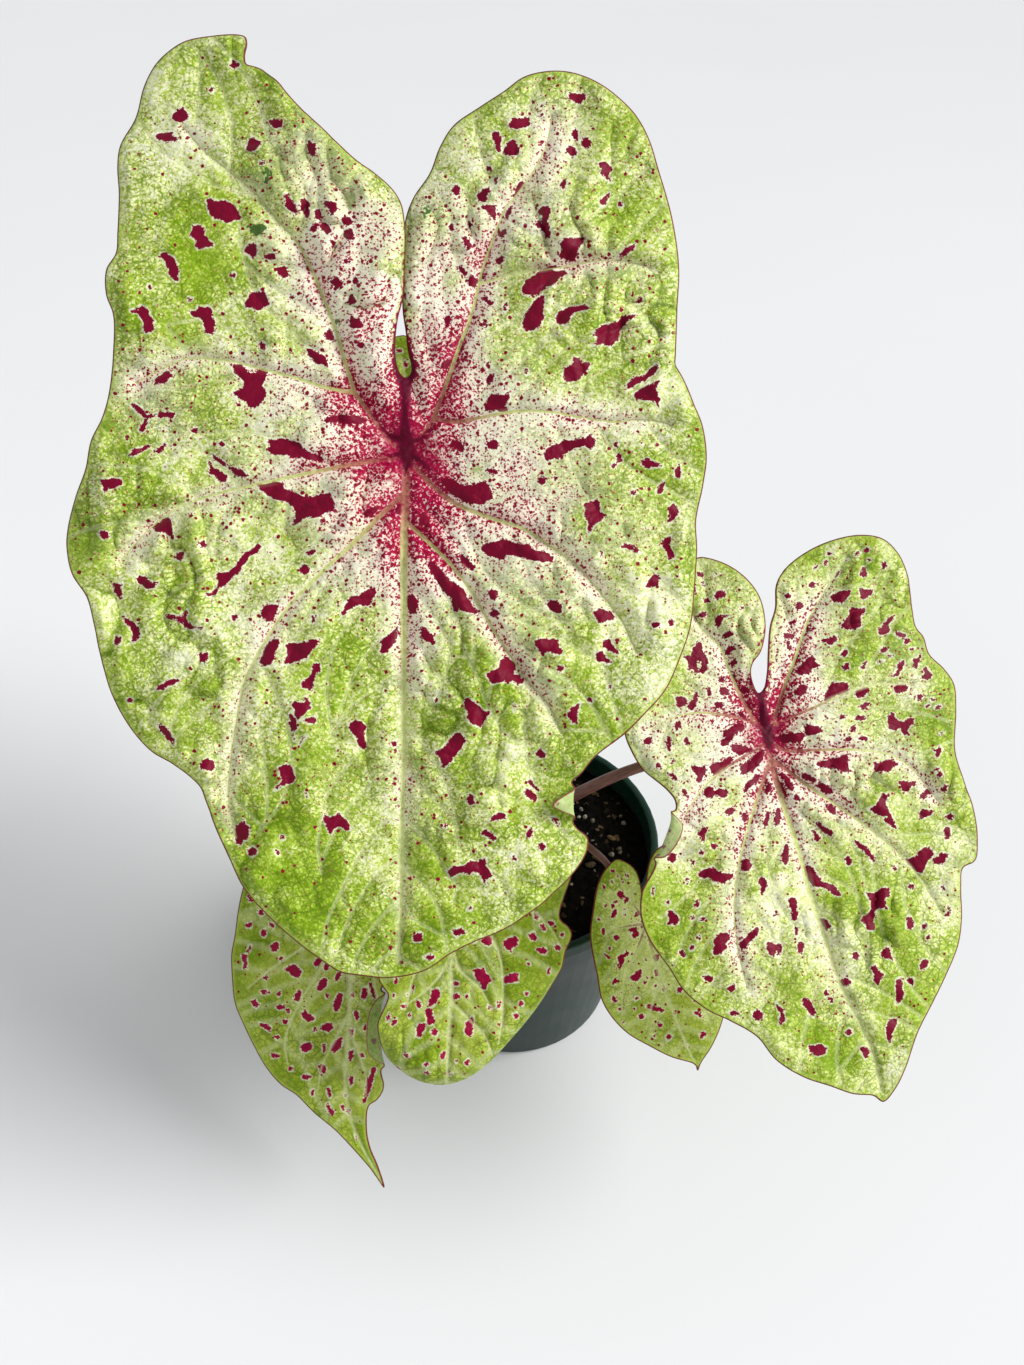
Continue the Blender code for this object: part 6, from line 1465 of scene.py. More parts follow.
def blade_top(name, pale, painted_light_gain=1.0, grain=0.54, blush=1.0):
    """Upper side: a fine mosaic of cream and green grains in a net of thin
    veinlets, red blotches with a white edge, red flecks, pale main veins and a
    thin red margin."""
    n = Nodes(name)
    pat = n.attr("pat", True)
    wp = n.warp(pat, 0.7, 0.45)
    grains = n.cells(n.warp(pat, 2.0, 0.20), 1.9)
    g = n.red(grains["Color"])
    amount = n.attr("green")
    soft = n.math("SUBTRACT", n.noise(pat, 0.42, 4.0, 0.6)["Fac"], 0.5)
    wide = n.math("SUBTRACT", n.noise(pat, 0.13, 2.0, 0.5)["Fac"], 0.5)
    amount = n.math("ADD", amount, n.math("MULTIPLY", soft, 0.55 if pale > 0.5 else 0.4))
    amount = n.math("ADD", amount, n.math("MULTIPLY", wide, 0.45))
    # each grain is cream, lime or green
    pick = n.math("SUBTRACT", amount, n.math("MULTIPLY", n.math("SUBTRACT", g[0], 0.5), grain if pale > 0.5 else 0.24))
    if pale > 0.5:
        base = n.mix(n.ramp(pick, 0.00, 0.30), CREAM, lin(222, 229, 158))
        base = n.mix(n.ramp(pick, 0.28, 0.58), base, LIME)
        base = n.mix(n.ramp(pick, 0.56, 0.92), base, GREEN)
        base = n.mix(n.ramp(pick, 0.95, 1.35), base, DEEP)
    else:
        base = n.mix(n.ramp(pick, 0.00, 0.55), lin(204, 212, 130), lin(164, 180, 66))
        base = n.mix(n.ramp(pick, 0.55, 1.10), base, lin(120, 146, 14))
    # net of veinlets, darker in the green
    net = n.cells(wp, 0.26, "DISTANCE_TO_EDGE")["Distance"]
    fine = n.cells(wp, 0.66, "DISTANCE_TO_EDGE")["Distance"]
    line = n.math("MAXIMUM", n.math("MULTIPLY", n.ramp(net, 0.068, 0.022), 0.95), n.math("MULTIPLY", n.ramp(fine, 0.155, 0.05), 0.72))
    line = n.math("MULTIPLY", line, n.ramp(n.noise(pat, 0.06, 2.0)["Fac"], 0.34, 0.60, 0.45, 1.0))
    base = n.mix(n.math("MULTIPLY", line, n.ramp(pick, 0.0, 0.6, 0.34, 0.78)), base, lin(84, 108, 16))
    # second order veins: a thin dark line in a paler band
    sec = n.attr("dsec")
    base = n.mix(n.math("MULTIPLY", n.ramp(sec, 1.0 if pale > 0.5 else 1.7, 0.2), 0.30 if pale > 0.5 else 0.24), base, lin(226, 230, 178))
    base = n.mix(n.math("MULTIPLY", n.ramp(sec, 0.22, 0.07), 0.42 if pale > 0.5 else 0.16), base, lin(112, 122, 48))
    # flecks: single dots, and a dense mottle towards the junction
    rosy = n.attr("rosy")
    dens = n.attr("speck")
    base = n.mix(n.math("MULTIPLY", n.ramp(dens, 0.10, 0.50), 0.80), base, lin(238, 233, 214))
    bl = n.attr("blot")
    shape = n.math("SUBTRACT", n.noise(pat, 0.8, 3.0)["Fac"], 0.5)
    halo = n.math("ADD", bl, n.math("MULTIPLY", shape, 1.1))
    base = n.mix(n.math("MULTIPLY", n.ramp(halo, -0.58, -0.14), 0.48 if pale > 0.5 else 0.42), base, HALO)
    f1 = n.cells(n.warp(pat, 1.5, 0.45), 0.92)
    c1 = n.red(f1["Color"])
    r1 = n.math("MULTIPLY_ADD", n.math("MULTIPLY", c1[1], c1[2]), 0.40, 0.20)
    m1 = n.math("MULTIPLY", n.ramp(n.math("SUBTRACT", n.math("MULTIPLY_ADD", dens, 0.90, 0.020), c1[0]), -0.01, 0.01),
                n.ramp(n.math("SUBTRACT", f1["Distance"], r1), 0.06, -0.06))
    f2 = n.cells(n.warp(pat, 2.4, 0.30), 1.30)
    c2 = n.red(f2["Color"])
    r2 = n.math("MULTIPLY_ADD", dens, 0.22, 0.25)
    m2 = n.math("MULTIPLY", n.ramp(n.math("SUBTRACT", n.math("MULTIPLY", dens, 1.15), c2[0]), -0.02, 0.02),
                n.ramp(n.math("SUBTRACT", f2["Distance"], r2), 0.10, -0.10))
    # ragged patches that run together where the flecks are dense
    rag = n.noise(n.warp(pat, 1.4, 0.45), 1.02, 4.0, 0.66)["Fac"]
    m3 = n.math("MULTIPLY", n.ramp(n.math("ADD", rag, n.math("MULTIPLY", dens, 0.21)), 0.652, 0.676), n.ramp(dens, 0.08, 0.16))
    if pale > 0.5:
        # a blush between the flecks and round the junction
        base = n.mix(n.ramp(dens, 0.25, 1.0, 0.0, 0.40 * blush), base, lin(214, 126, 150))
        glow = n.math("ADD", rosy, n.math("MULTIPLY", shape, 0.9))
        base = n.mix(n.math("MULTIPLY", n.ramp(glow, 0.56, 0.94), 0.85 * blush), base, lin(156, 16, 66))
    base = n.mix(m2, base, n.mix(c2[1], PINK, lin(148, 8, 54)))
    base = n.mix(m3, base, n.mix(n.ramp(rag, 0.45, 0.65), PINK, lin(132, 4, 46)))
    base = n.mix(m1, base, RED)
    # blotches, whose edge follows the cells of the leaf
    jag = n.red(n.cells(n.warp(pat, 1.1, 0.4), 1.25)["Color"])[0]
    jag2 = n.red(n.cells(wp, 2.6)["Color"])[0]
    edge = n.math("ADD", bl, n.math("MULTIPLY", n.math("SUBTRACT", jag, 0.5), 0.46))
    edge = n.math("ADD", edge, n.math("MULTIPLY", n.math("SUBTRACT", jag2, 0.5), 0.30))
    redm = n.ramp(edge, -0.06, 0.06)
    # the small leaves' blotches take a brighter red: partly their own crimson, partly painted light for the light that
    # the leaves above keep off them
    deep = n.mix(n.noise(pat, 1.4, 3.0)["Fac"], lin(102, 0, 32) if pale > 0.5 else lin(126, 2, 44), lin(122, 3, 42) if pale > 0.5 else lin(150, 8, 58))
    base = n.mix(redm, base, deep)
    # dark green marks
    dk = n.attr("dark")
    dkm = n.ramp(n.math("ADD", dk, n.math("MULTIPLY", n.math("SUBTRACT", jag, 0.5), 1.0)), -0.1, 0.15)
    base = n.mix(n.math("MULTIPLY", dkm, 0.9), base, lin(40, 84, 14))
    # main veins: rosy at the junction, then pale green, with a thin midline
    dv = n.attr("dvein")
    base = n.mix(n.math("MULTIPLY", n.math("MULTIPLY", n.ramp(dv, 3.0, 1.0), n.ramp(dens, 0.45, 0.15)), 0.26), base, lin(232, 233, 200))
    streak = n.noise(pat, 0.8, 4.0, 0.6)["Fac"]
    vcol = n.mix(n.ramp(streak, 0.3, 0.7), lin(212, 216, 152), lin(182, 196, 112))
    vcol = n.mix(n.ramp(rosy, 0.06, 0.50), vcol, n.mix(n.ramp(streak, 0.3, 0.7), lin(176, 118, 96), lin(136, 62, 66)))
    vein = n.math("MULTIPLY", n.ramp(dv, 1.10, 0.78), n.ramp(redm, 1.0, 0.0, 0.55, 1.0))
    vein = n.math("MULTIPLY", vein, n.ramp(rosy, 0.55, 0.92, 1.0 if pale > 0.5 else 0.80, 0.55))
    base = n.mix(n.math("MULTIPLY", vein, 0.93), base, vcol)
    base = n.mix(n.math("MULTIPLY", n.math("MULTIPLY", n.ramp(dv, 0.22, 0.04), n.ramp(streak, 0.40, 0.60)), 0.5), base, lin(136, 120, 74))
    # margin
    de = n.attr("dedge")
    base = n.mix(n.math("MULTIPLY", n.ramp(de, 1.6, 0.5), 0.50), base, lin(166, 190, 80))
    base = n.mix(n.math("MULTIPLY", n.ramp(de, 0.46, 0.28), 0.95), base, lin(112, 36, 46))
    # burgundy where the veins meet and round the foot of the sinus
    heart = n.attr("heart")
    hm = n.math("ADD", heart, n.math("MULTIPLY", n.math("SUBTRACT", c2[1], 0.5), 1.3))
    base = n.mix(n.ramp(hm, -0.25, 0.30), base, n.mix(n.ramp(heart, 0.0, 1.1), lin(132, 8, 54), lin(84, 0, 32)))
    # painted shade: the folds are painted darker and greener, for the shade that falls in the creases
    base = n.mix(n.math("MULTIPLY", n.math("MULTIPLY", n.ramp(n.attr("fold"), 0.34, 0.0), 0.74), n.ramp(redm, 1.0, 0.0)), base,
                 n.mix(0.86, lin(120, 142, 30), base, "MULTIPLY"))
    # painted light: the whole colour is lightened to stand in for the light that the leaves above keep off this leaf
    if painted_light_gain != 1.0:
        base = n.mix(1.0, base, (painted_light_gain, painted_light_gain, painted_light_gain * 0.98, 1), "MULTIPLY")
    n.put(n.p.inputs["Base Color"], base)
    n.put(n.p.inputs["Roughness"], n.ramp(n.noise(pat, 0.35, 4.0)["Fac"], 0.3, 0.7, 0.42, 0.56))
    n.p.inputs["Specular IOR Level"].default_value = 0.11
    h = n.math("MULTIPLY", n.cells(pat, 0.66, flat=True)["Distance"], -0.8)
    h = n.math("ADD", h, n.math("MULTIPLY", n.noise(pat, 1.5, 2.0)["Fac"], 0.8))
    n.put(n.p.inputs["Normal"], n.bump(h, 0.5, 0.00038))
    return n.m


def blade_under(name, pale):
    """Lower side: paler and duller, with the blotches showing through."""
    n = Nodes(name)
    pat = n.attr("pat", True)
    amount = n.math("ADD", n.attr("green"), n.math("MULTIPLY", n.math("SUBTRACT", n.noise(pat, 0.5, 4.0)["Fac"], 0.5), 0.9))
    base = n.mix(n.ramp(amount, 0.15, 0.95), lin(190, 204, 140) if pale > 0.5 else lin(180, 196, 112), lin(138, 164, 80) if pale > 0.5 else lin(124, 152, 58))
    grains = n.cells(pat, 1.9)
    base = n.mix(n.math("MULTIPLY", n.red(grains["Color"])[0], 0.28), base, lin(164, 184, 112))
    net = n.cells(n.warp(pat, 0.9, 0.35), 0.45, "DISTANCE_TO_EDGE")["Distance"]
    base = n.mix(n.math("MULTIPLY", n.ramp(net, 0.06, 0.0), 0.5), base, lin(186, 202, 134))
    dens = n.attr("speck")
    fl = n.cells(n.warp(pat, 1.6, 0.30), 1.15)
    fc = n.red(fl["Color"])
    flm = n.math("MULTIPLY", n.ramp(n.math("SUBTRACT", dens, fc[0]), -0.02, 0.02), n.ramp(fl["Distance"], 0.75, 0.35))
    base = n.mix(n.math("MULTIPLY", flm, 0.55), base, lin(176, 96, 112))
    bl = n.attr("blot")
    jag = n.red(n.cells(n.warp(pat, 1.1, 0.4), 0.95)["Color"])[0]
    edge = n.math("ADD", bl, n.math("MULTIPLY", n.math("SUBTRACT", jag, 0.5), 0.8))
    base = n.mix(n.math("MULTIPLY", n.ramp(edge, -0.15, 0.2), 0.86), base, lin(132, 62, 84))
    dv = n.attr("dvein")
    rosy = n.attr("rosy")
    base = n.mix(n.math("MULTIPLY", n.ramp(n.attr("dsec"), 0.8, 0.05), 0.55), base, lin(206, 214, 164))
    base = n.mix(n.math("MULTIPLY", n.ramp(dv, 1.4, 0.7), 0.9), base, n.mix(n.ramp(rosy, 0.0, 0.7), lin(204, 212, 158), lin(164, 108, 100)))
    de = n.attr("dedge")
    base = n.mix(n.math("MULTIPLY", n.ramp(de, 0.46, 0.24), 0.9), base, lin(142, 62, 62))
    n.put(n.p.inputs["Base Color"], base)
    n.put(n.p.inputs["Roughness"], n.ramp(n.noise(pat, 0.4, 3.0)["Fac"], 0.3, 0.7, 0.5, 0.66))
    n.p.inputs["Specular IOR Level"].default_value = 0.35
    h = n.math("ADD", n.math("MULTIPLY", n.cells(pat, 0.45, flat=True)["Distance"], 0.5), n.math("MULTIPLY", n.noise(pat, 2.0, 2.0)["Fac"], 0.8))
    n.put(n.p.inputs["Normal"], n.bump(h, 0.4, 0.0003))
    return n.m


def build_blade(key):
    blade, st = BLADES[key], STYLE[key]
    mm = blade.mm
    mains = VEINS[key]
    lines, seconds, thirds = branch_veins(blade, mains, st["second"], st["seed"])
    main_pts, main_half = [], []
    for (w0, w1, _), line in zip(mains, lines):
        s = samples([line], 1.2)
        t = np.linspace(0, 1, len(s))
        main_pts.append(s)
        main_half.append((w0 + (w1 - w0) * t ** 0.8) / 2)
    main_pts, main_half = np.vstack(main_pts), np.concatenate(main_half)
    sec_pts = samples(seconds, 1.2)
    thr_pts = samples(thirds, 1.2)
    coarse = 1.0
    loop = smooth(blade.outline, st["top"] * coarse, True)
    la, lb = loop, np.roll(loop, -1, 0)

    def fields(q):
        d1, w1 = nearest(q, main_pts)
        d2, _ = nearest(q, sec_pts)
        d3, _ = nearest(q, thr_pts) if len(thr_pts) else (np.full(len(q), 99.0), None)
        e = line_distance(q, la, lb)
        return d1, main_half[w1], d2, d3, e

    def relief(q, d1, half, d2, d3, e):
        """Height of the blade's quilting above its smooth shape, in metres, and
        how far up a pillow each point is."""
        open_ = step(0, 14, e)
        w = st["second"]
        lead = np.minimum(d1, d2 + 2.0)
        pill = 1 - np.exp(-(lead / (w * 0.24)) ** 1.5)
        size = 0.75 + 0.55 * fbm(q, w * 1.6, 2, st["seed"] + 3)
        h = st["bulge"] * pill * size
        h = h + st["crinkle"] * fbm(q, w * 1.35, 3, st["seed"] + 9) * (0.35 + 0.65 * step(0, 26, d1))
        # puckers: pillows drawn out along the blade, with sharp folds between
        push = np.stack([fbm(q, w * 1.2, 2, st["seed"] + 13), fbm(q, w * 1.2, 2, st["seed"] + 14)], 1) * w * 0.42
        s = (q + push) * (1.0, 0.46)
        b1 = np.abs(noise(s, w * 0.50, st["seed"] + 15))
        b2 = np.abs(noise((q + push) * (0.62, 1.0), w * 0.36, st["seed"] + 16))
        where = step(-0.35, 0.45, fbm(q, w * 2.6, 2, st["seed"] + 17)) * step(2, 20, d1)
        h = h + st["bulge"] * where * (2.25 * np.sqrt(b1 * b1 + 0.0010) + 0.95 * np.sqrt(b2 * b2 + 0.0010))
        h = h + st["bulge"] * 0.15 * (1 - np.exp(-(np.minimum(np.minimum(d3, d2), d1) / 4.5) ** 1.5))
        h = h - st["bulge"] * 0.60 * np.exp(-(d1 / (half * 1.5 + 2.5)) ** 2)
        # fold is low in the creases; the colour uses it to paint shade there
        fold = np.minimum(1 - (1 - np.minimum(b1 / 0.34, 1)) * where, 0.25 + pill)
        calm = step(3, 24, np.linalg.norm(q - blade.join, axis=1))
        return h * (0.45 + 0.55 * open_) * calm, fold

    vein_pts = np.vstack([samples(lines, st["top"] * 0.95 * coarse), samples(seconds, st["top"] * coarse)])
    q_t, f_t = pattern_mesh(blade, loop, st["top"] * coarse, vein_pts)
    q_b, f_b = pattern_mesh(blade, loop, st["bottom"] * coarse, samples(lines, st["bottom"] * 0.8 * coarse))
    parts = []
    for q, f, side in ((q_t, f_t, 1), (q_b, f_b, -1)):
        d1, half, d2, d3, e = fields(q)
        h, fold = relief(q, d1, half, d2, d3, e)
        mid = blade.surface(q, h, e * mm / 1000)
        n = vertex_normals(mid, f)
        if (n @ blade.n).mean() < 0:
            f = f[:, ::-1]
            n = -n
        thick = BLADE_T / 2 * (0.45 + 0.55 * step(0, 3.0, e))
        if side > 0:
            # a fine groove along the main veins with a low ridge in it
            off = thick - 0.00016 * np.exp(-((d1 - half) / 1.2) ** 2) + 0.00012 * np.exp(-(d1 / np.maximum(half * 0.7, 1)) ** 2)
            v = mid + n * off[:, None]
        else:
            rib = half * mm / 1000 * 0.95
            up = np.where(d1 < half * 1.5, rib * np.sqrt(np.clip(1 - (d1 / (half * 1.5)) ** 2, 0, 1)), 0)
            up = up + 0.00028 * np.exp(-(d2 / 2.2) ** 2) * step(0, 12, e)
            up = up * step(0, 6, e)
            v = mid - n * (thick + up)[:, None]
            f = f[:, ::-1]
        rj = np.linalg.norm(q - blade.join, axis=1)
        tipd = np.linalg.norm(blade.tip - blade.join)
        green = st["green"] + 0.34 * fbm(q, 64, 3, st["seed"] + 20) + 0.20 * fbm(q, 22, 2, st["seed"] + 25)
        green = green + 0.62 * ellipse_sum(q, PATCHES[key])
        green = green - 0.24 * np.exp(-(d1 / 11.0)) - 0.10 * np.exp(-(d2 / 4.5)) - 0.30 * np.exp(-(rj / (0.26 * tipd)) ** 2)
        # painted shade: the blade is painted greener down in the folds, for the shade in the creases
        green = green + 0.12 * (0.6 - fold)
        speck = ellipse_sum(q, FLECKS[key]) * (0.75 + 0.6 * fbm(q, 30, 2, st["seed"] + 40))
        thin = 1.0 if key in "ab" else 0.35
        far = np.exp(-(rj / (0.50 * tipd)) ** 2)
        speck = speck + thin * (0.105 + 0.20 * np.exp(-d1 / 13.0) + 0.42 * far * np.exp(-d1 / 11.0)) * (0.6 + 0.8 * np.clip(fbm(q, 60, 2, st["seed"] + 41), -0.5, 1))
        parts.append(dict(
            v=v, f=f, q=q, blot=np.clip(blot_field(q, BLOTS[key], STREAKS[key], st["seed"] + 1, outlines(key)), -9, 9) * mm,
            speck=np.clip(speck, 0, 0.97), dvein=np.clip(d1 / half, 0, 6), dsec=np.minimum(d2, 20) * mm,
            dedge=np.minimum(e, 40) * mm, green=np.clip(green, -0.3, 1.5),
            rosy=np.exp(-(rj / (0.135 * tipd)) ** 1.5), heart=line_field(q, HEART.get(key, [])) * mm, fold=fold,
            dark=blot_field(q, DARK[key], [], 5) * mm if key in DARK else np.full(len(q), -5.0)))
    top, bot = parts
    nt = len(top["v"])
    bt = boundary(top["f"])
    # join the two layers along the margin, matched by pattern position
    _, match = nearest(top["q"][[a for a, _ in bt]], bot["q"])
    pair = {a: m for (a, _), m in zip(bt, match)}
    rim = []
    for a, b in bt:
        a2, b2 = pair[a] + nt, pair[b] + nt
        rim.append((b, a, a2, b2))
    faces = [tuple(t) for t in top["f"]] + [tuple(t + nt) for t in bot["f"]] + rim
    me = bpy.data.meshes.new("leaf_" + key)
    me.from_pydata(np.vstack([top["v"], bot["v"]]).tolist(), [], faces)
    for k in ("blot", "speck", "dvein", "dsec", "dedge", "green", "rosy", "heart", "dark", "fold"):
        set_float(me, k, np.concatenate([top[k], bot[k]]))
    flat = np.vstack([top["q"], bot["q"]]) * mm
    set_vec(me, "pat", np.column_stack([flat, np.full(len(flat), st["seed"] * 7.3)]))
    lo = blade.loop.min(0) - 40
    span = (blade.loop.max(0) + 40 - lo).max()
    uv = me.uv_layers.new(name="OFBake")
    both = np.vstack([(top["q"] - lo) / span * 0.96, (bot["q"] - lo) / span * 0.96])
    w = (blade.loop.max(0) + 40 - lo)[0] / span * 0.96
    scale = min(1.0, 0.49 / w)
    both = both * scale
    both[nt:, 0] += 0.505
    loops = np.empty(len(me.loops), int)
    me.loops.foreach_get("vertex_index", loops)
    uv.data.foreach_set("uv", (both[loops] + 0.005).astype(np.float32).ravel())
    slots = np.concatenate([np.zeros(len(top["f"]), int), np.ones(len(bot["f"]), int), np.zeros(len(rim), int)])
    me.polygons.foreach_set("material_index", slots)
    ob = add("leaf_" + key, me, (blade_top("blade_" + key + "_upper", st["pale"], st.get("painted_light_gain", 1.0), st.get("grain", 0.54), st.get("blush", 1.0)), blade_under("blade_" + key + "_lower", st["pale"])))
    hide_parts("leaf_blade_" + key)
    return ob, len(me.polygons)


# Burgundy bands: x, y, width.
HEART = {
    "a": [[(398, 250, 1.2), (396.5, 300, 4.0), (395, 330, 7.0), (395, 356, 9.0), (399, 374, 13), (405.5, 384, 14)],
          [(403, 262, 1.2), (403.5, 300, 4.0), (405, 326, 7.0), (409, 350, 9.0), (412, 372, 13), (405.5, 384, 14)],
          [(405.5, 380, 14), (405, 400, 11), (405, 420, 11), (405.5, 436, 16), (407, 450, 20), (407, 462, 15), (406, 474, 6)],
          [(405.5, 440, 14), (420, 440, 8), (434, 426, 4)], [(405.5, 440, 14), (390, 436, 8), (374, 418, 4)],
          [(407, 450, 12), (392, 456, 6), (372, 459, 2)], [(407, 452, 12), (424, 464, 6), (440, 478, 2)]],
    "b": [[(765, 630, 1.2), (753, 668, 4.0), (752, 686, 6.0), (759, 696, 9)], [(770, 640, 1.2), (767, 672, 4.5), (762, 694, 8)],
          [(760, 695, 10), (763, 712, 11), (766, 728, 14), (768, 738, 15), (769, 748, 8)],
          [(768, 736, 7), (778, 726, 3), (788, 716, 1.5)], [(768, 738, 7), (756, 728, 3), (744, 718, 1.5)]],
    "c": [[(357, 892, 1.5), (356.5, 900, 4), (356, 908, 5)]],
    "d": [[(457, 873, 1.5), (457, 880, 4), (457, 887, 5)]],
    "e": [[(645, 906, 1.5), (645.5, 915, 3.5), (646, 924, 4)]],
    "f": [[(427, 448, 1.5), (427, 460, 4), (427, 470, 6)]],
}

made = {}
for key in BLADES:
    made[key], polys = build_blade(key)

# ======================================================================
# Petioles
# ======================================================================
PETIOLES = {
    "a": ((-0.0066, 0.0026), 0.0033, 0.0021,
          [(-0.0072, 0.0048, 0.100), (-0.0118, 0.0100, 0.145), (-0.0182, 0.0160, 0.185),
           (-0.0246, 0.0178, 0.213)], 0.012),
    "b": ((0.0038, 0.0008), 0.0028, 0.0016,
          [(0.0075, -0.0045, 0.097), tuple(at(575, 795, 0.345)), tuple(at(640, 767, 0.327)),
           (0.0640, -0.0240, 0.1520)], 0.007),
    "c": ((-0.0052, -0.0062), 0.0019, 0.0012,
          [(-0.0100, -0.0130, 0.098), (-0.0250, -0.0280, 0.1165), (-0.0400, -0.0410, 0.1145)], 0.0045),
    "d": ((0.0004, -0.0058), 0.0019, 0.0012,
          [(-0.0010, -0.0140, 0.100), (-0.0075, -0.0330, 0.1200), (-0.0140, -0.0480, 0.1250)], 0.0045),
    "e": ((0.0064, -0.0050), 0.0017, 0.0011,
          [(0.0100, -0.0105, 0.096), (0.0165, -0.0210, 0.113), tuple(at(590, 848, 0.335)),
           tuple(at(607, 864, 0.338)), (0.0375, -0.0420, 0.1010)], 0.004),
    "f": ((-0.0010, 0.0085), 0.0021, 0.0013,
          [(-0.0030, 0.0200, 0.102), (-0.0120, 0.0460, 0.142), (-0.0220, 0.0690, 0.170)], 0.007),
}


def petiole_material():
    n = Nodes("petiole_skin")
    run = n.attr("run", True)
    mp = n.new("ShaderNodeMapping")
    n.put(mp.inputs["Vector"], run)
    mp.inputs["Scale"].default_value = (2.6, 2.6, 0.16)
    streak = n.noise(mp.outputs[0], 1.0, 5.0, 0.62)["Fac"]
    base = n.mix(n.ramp(streak, 0.30, 0.72), lin(92, 50, 48), lin(150, 98, 88))
    mottle = n.noise(run, 0.9, 4.0, 0.6)["Fac"]
    base = n.mix(n.math("MULTIPLY", n.ramp(mottle, 0.52, 0.74), 0.5), base, lin(120, 112, 72))
    base = n.mix(n.ramp(n.attr("low"), 0.35, 1.0), base, lin(150, 128, 104))
    n.put(n.p.inputs["Base Color"], base)
    n.put(n.p.inputs["Roughness"], n.ramp(streak, 0.3, 0.7, 0.36, 0.55))
    h = n.math("ADD", n.math("MULTIPLY", streak, 1.0), n.math("MULTIPLY", n.noise(run, 3.0, 3.0)["Fac"], 0.3))
    n.put(n.p.inputs["Normal"], n.bump(h, 0.35, 0.0003))
    return n.m


SKIN = petiole_material()


def petiole(key):
    (bx, by), r0, r1, way, turn_in = PETIOLES[key]
    top, n = BLADES[key].socket()
    end = top - n * (BLADE_T * 0.5 + 0.0006)
    route = [(bx, by, TUBER_TOP + GAP), (bx, by, TUBER_TOP + GAP + 0.005), *way, tuple(end - n * turn_in), tuple(end)]
    line = smooth(route, 0.0011, False)
    sides = 28
    t = np.gradient(line, axis=0)
    t /= np.linalg.norm(t, axis=1)[:, None]
    side = unit(np.cross(t[0], (0.3, 1, 0.2)))
    rings, f_run, low = [], [], []
    run = np.concatenate([[0], np.cumsum(np.linalg.norm(np.diff(line, axis=0), axis=1))])
    total = run[-1]
    for i, p in enumerate(line):
        side = unit(side - t[i] * (side @ t[i]))
        other = np.cross(t[i], side)
        f = run[i] / total
        r = r0 + (r1 - r0) * min(1.0, f * 1.25) ** 0.8
        sheath = math.exp(-((run[i] - 0.006) / 0.013) ** 2)          # clasping base
        flare = math.exp(-(total - run[i]) / (r1 * 0.9))             # spreads into the blade
        for k in range(sides):
            g = math.tau * k / sides
            rr = r * (1 + 0.22 * sheath * (0.6 + 0.4 * math.cos(g - 1.0)) + 0.45 * flare)
            rr *= 1 + 0.018 * math.sin(3 * g + 9 * f) + 0.012 * math.sin(7 * g + 3) - 0.05 * math.exp(-((((g + 0.4) % math.tau) - math.pi) / 0.4) ** 2)
            rings.append(p + side * rr * math.cos(g) + other * rr * math.sin(g))
            f_run.append((r * 1000 * math.cos(g), r * 1000 * math.sin(g), run[i] * 1000))
            low.append(math.exp(-run[i] / 0.010))
    nrm = len(line)
    faces = []
    for i in range(nrm - 1):
        for k in range(sides):
            a, b = i * sides + k, i * sides + (k + 1) % sides
            faces.append((a, b, b + sides, a + sides))
    c0, c1 = len(rings), len(rings) + 1
    rings += [line[0], line[-1]]
    f_run += [(0, 0, 0), (0, 0, total * 1000)]
    low += [1, 0]
    for k in range(sides):
        faces.append((c0, (k + 1) % sides, k))
        faces.append((c1, (nrm - 1) * sides + k, (nrm - 1) * sides + (k + 1) % sides))
    me = bpy.data.meshes.new("stalk_" + key)
    me.from_pydata([tuple(v) for v in rings], [], faces)
    set_vec(me, "run", f_run)
    set_float(me, "low", low)
    ob = add("stalk_" + key, me, (SKIN,))
    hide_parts("petiole_" + key)
    return ob


for key in PETIOLES:
    petiole(key)

# ======================================================================
# Soil, perlite and bark
# ======================================================================
wall_top = POT_H - LIP_H
slope = (RIM_R - LIP_OUT - BASE_R) / wall_top


def inner_r(z):
    return BASE_R + slope * z - WALL


def noise3(p, scale, seed):
    a = noise(p[:, :2] + p[:, 2:3] * 0.73, scale, seed)
    b = noise(p[:, 1:] - p[:, 0:1] * 0.61, scale, seed + 7)
    return (a + b) * 0.7


def soil_height(q):
    """Top of the soil at x, y."""
    r = np.linalg.norm(q, axis=1)
    z = SOIL_Z + SOIL_MOUND * (1 - step(0.010, 0.048, r)) + 0.0010 * np.exp(-((r - 0.008) / 0.006) ** 2)
    crumb = np.abs(noise(q, 0.0042, 71)) * 0.0016 + np.abs(noise(q, 0.0021, 72)) * 0.0010 + noise(q, 0.0010, 73) * 0.00035
    z = z - 0.0010 + crumb + 0.0007 * fbm(q, 0.014, 2, 75)
    return z


def soil_material():
    n = Nodes("soil_mix")
    tc = n.new("ShaderNodeTexCoord").outputs["Object"]
    a = n.noise(tc, 420.0, 5.0, 0.65)["Fac"]
    b = n.noise(tc, 130.0, 4.0, 0.6)["Fac"]
    base = n.mix(n.ramp(a, 0.35, 0.75), lin(3, 3, 2), lin(16, 12, 9))
    base = n.mix(n.math("MULTIPLY", n.ramp(b, 0.55, 0.75), 0.7), base, lin(20, 13, 8))
    fib = n.red(n.cells(tc, 650.0)["Color"])[0]
    base = n.mix(n.ramp(fib, 0.955, 0.99), base, lin(88, 70, 52))
    n.put(n.p.inputs["Base Color"], base)
    n.p.inputs["Roughness"].default_value = 0.92
    n.p.inputs["Specular IOR Level"].default_value = 0.08
    n.put(n.p.inputs["Normal"], n.bump(a, 0.8, 0.0006))
    return n.m


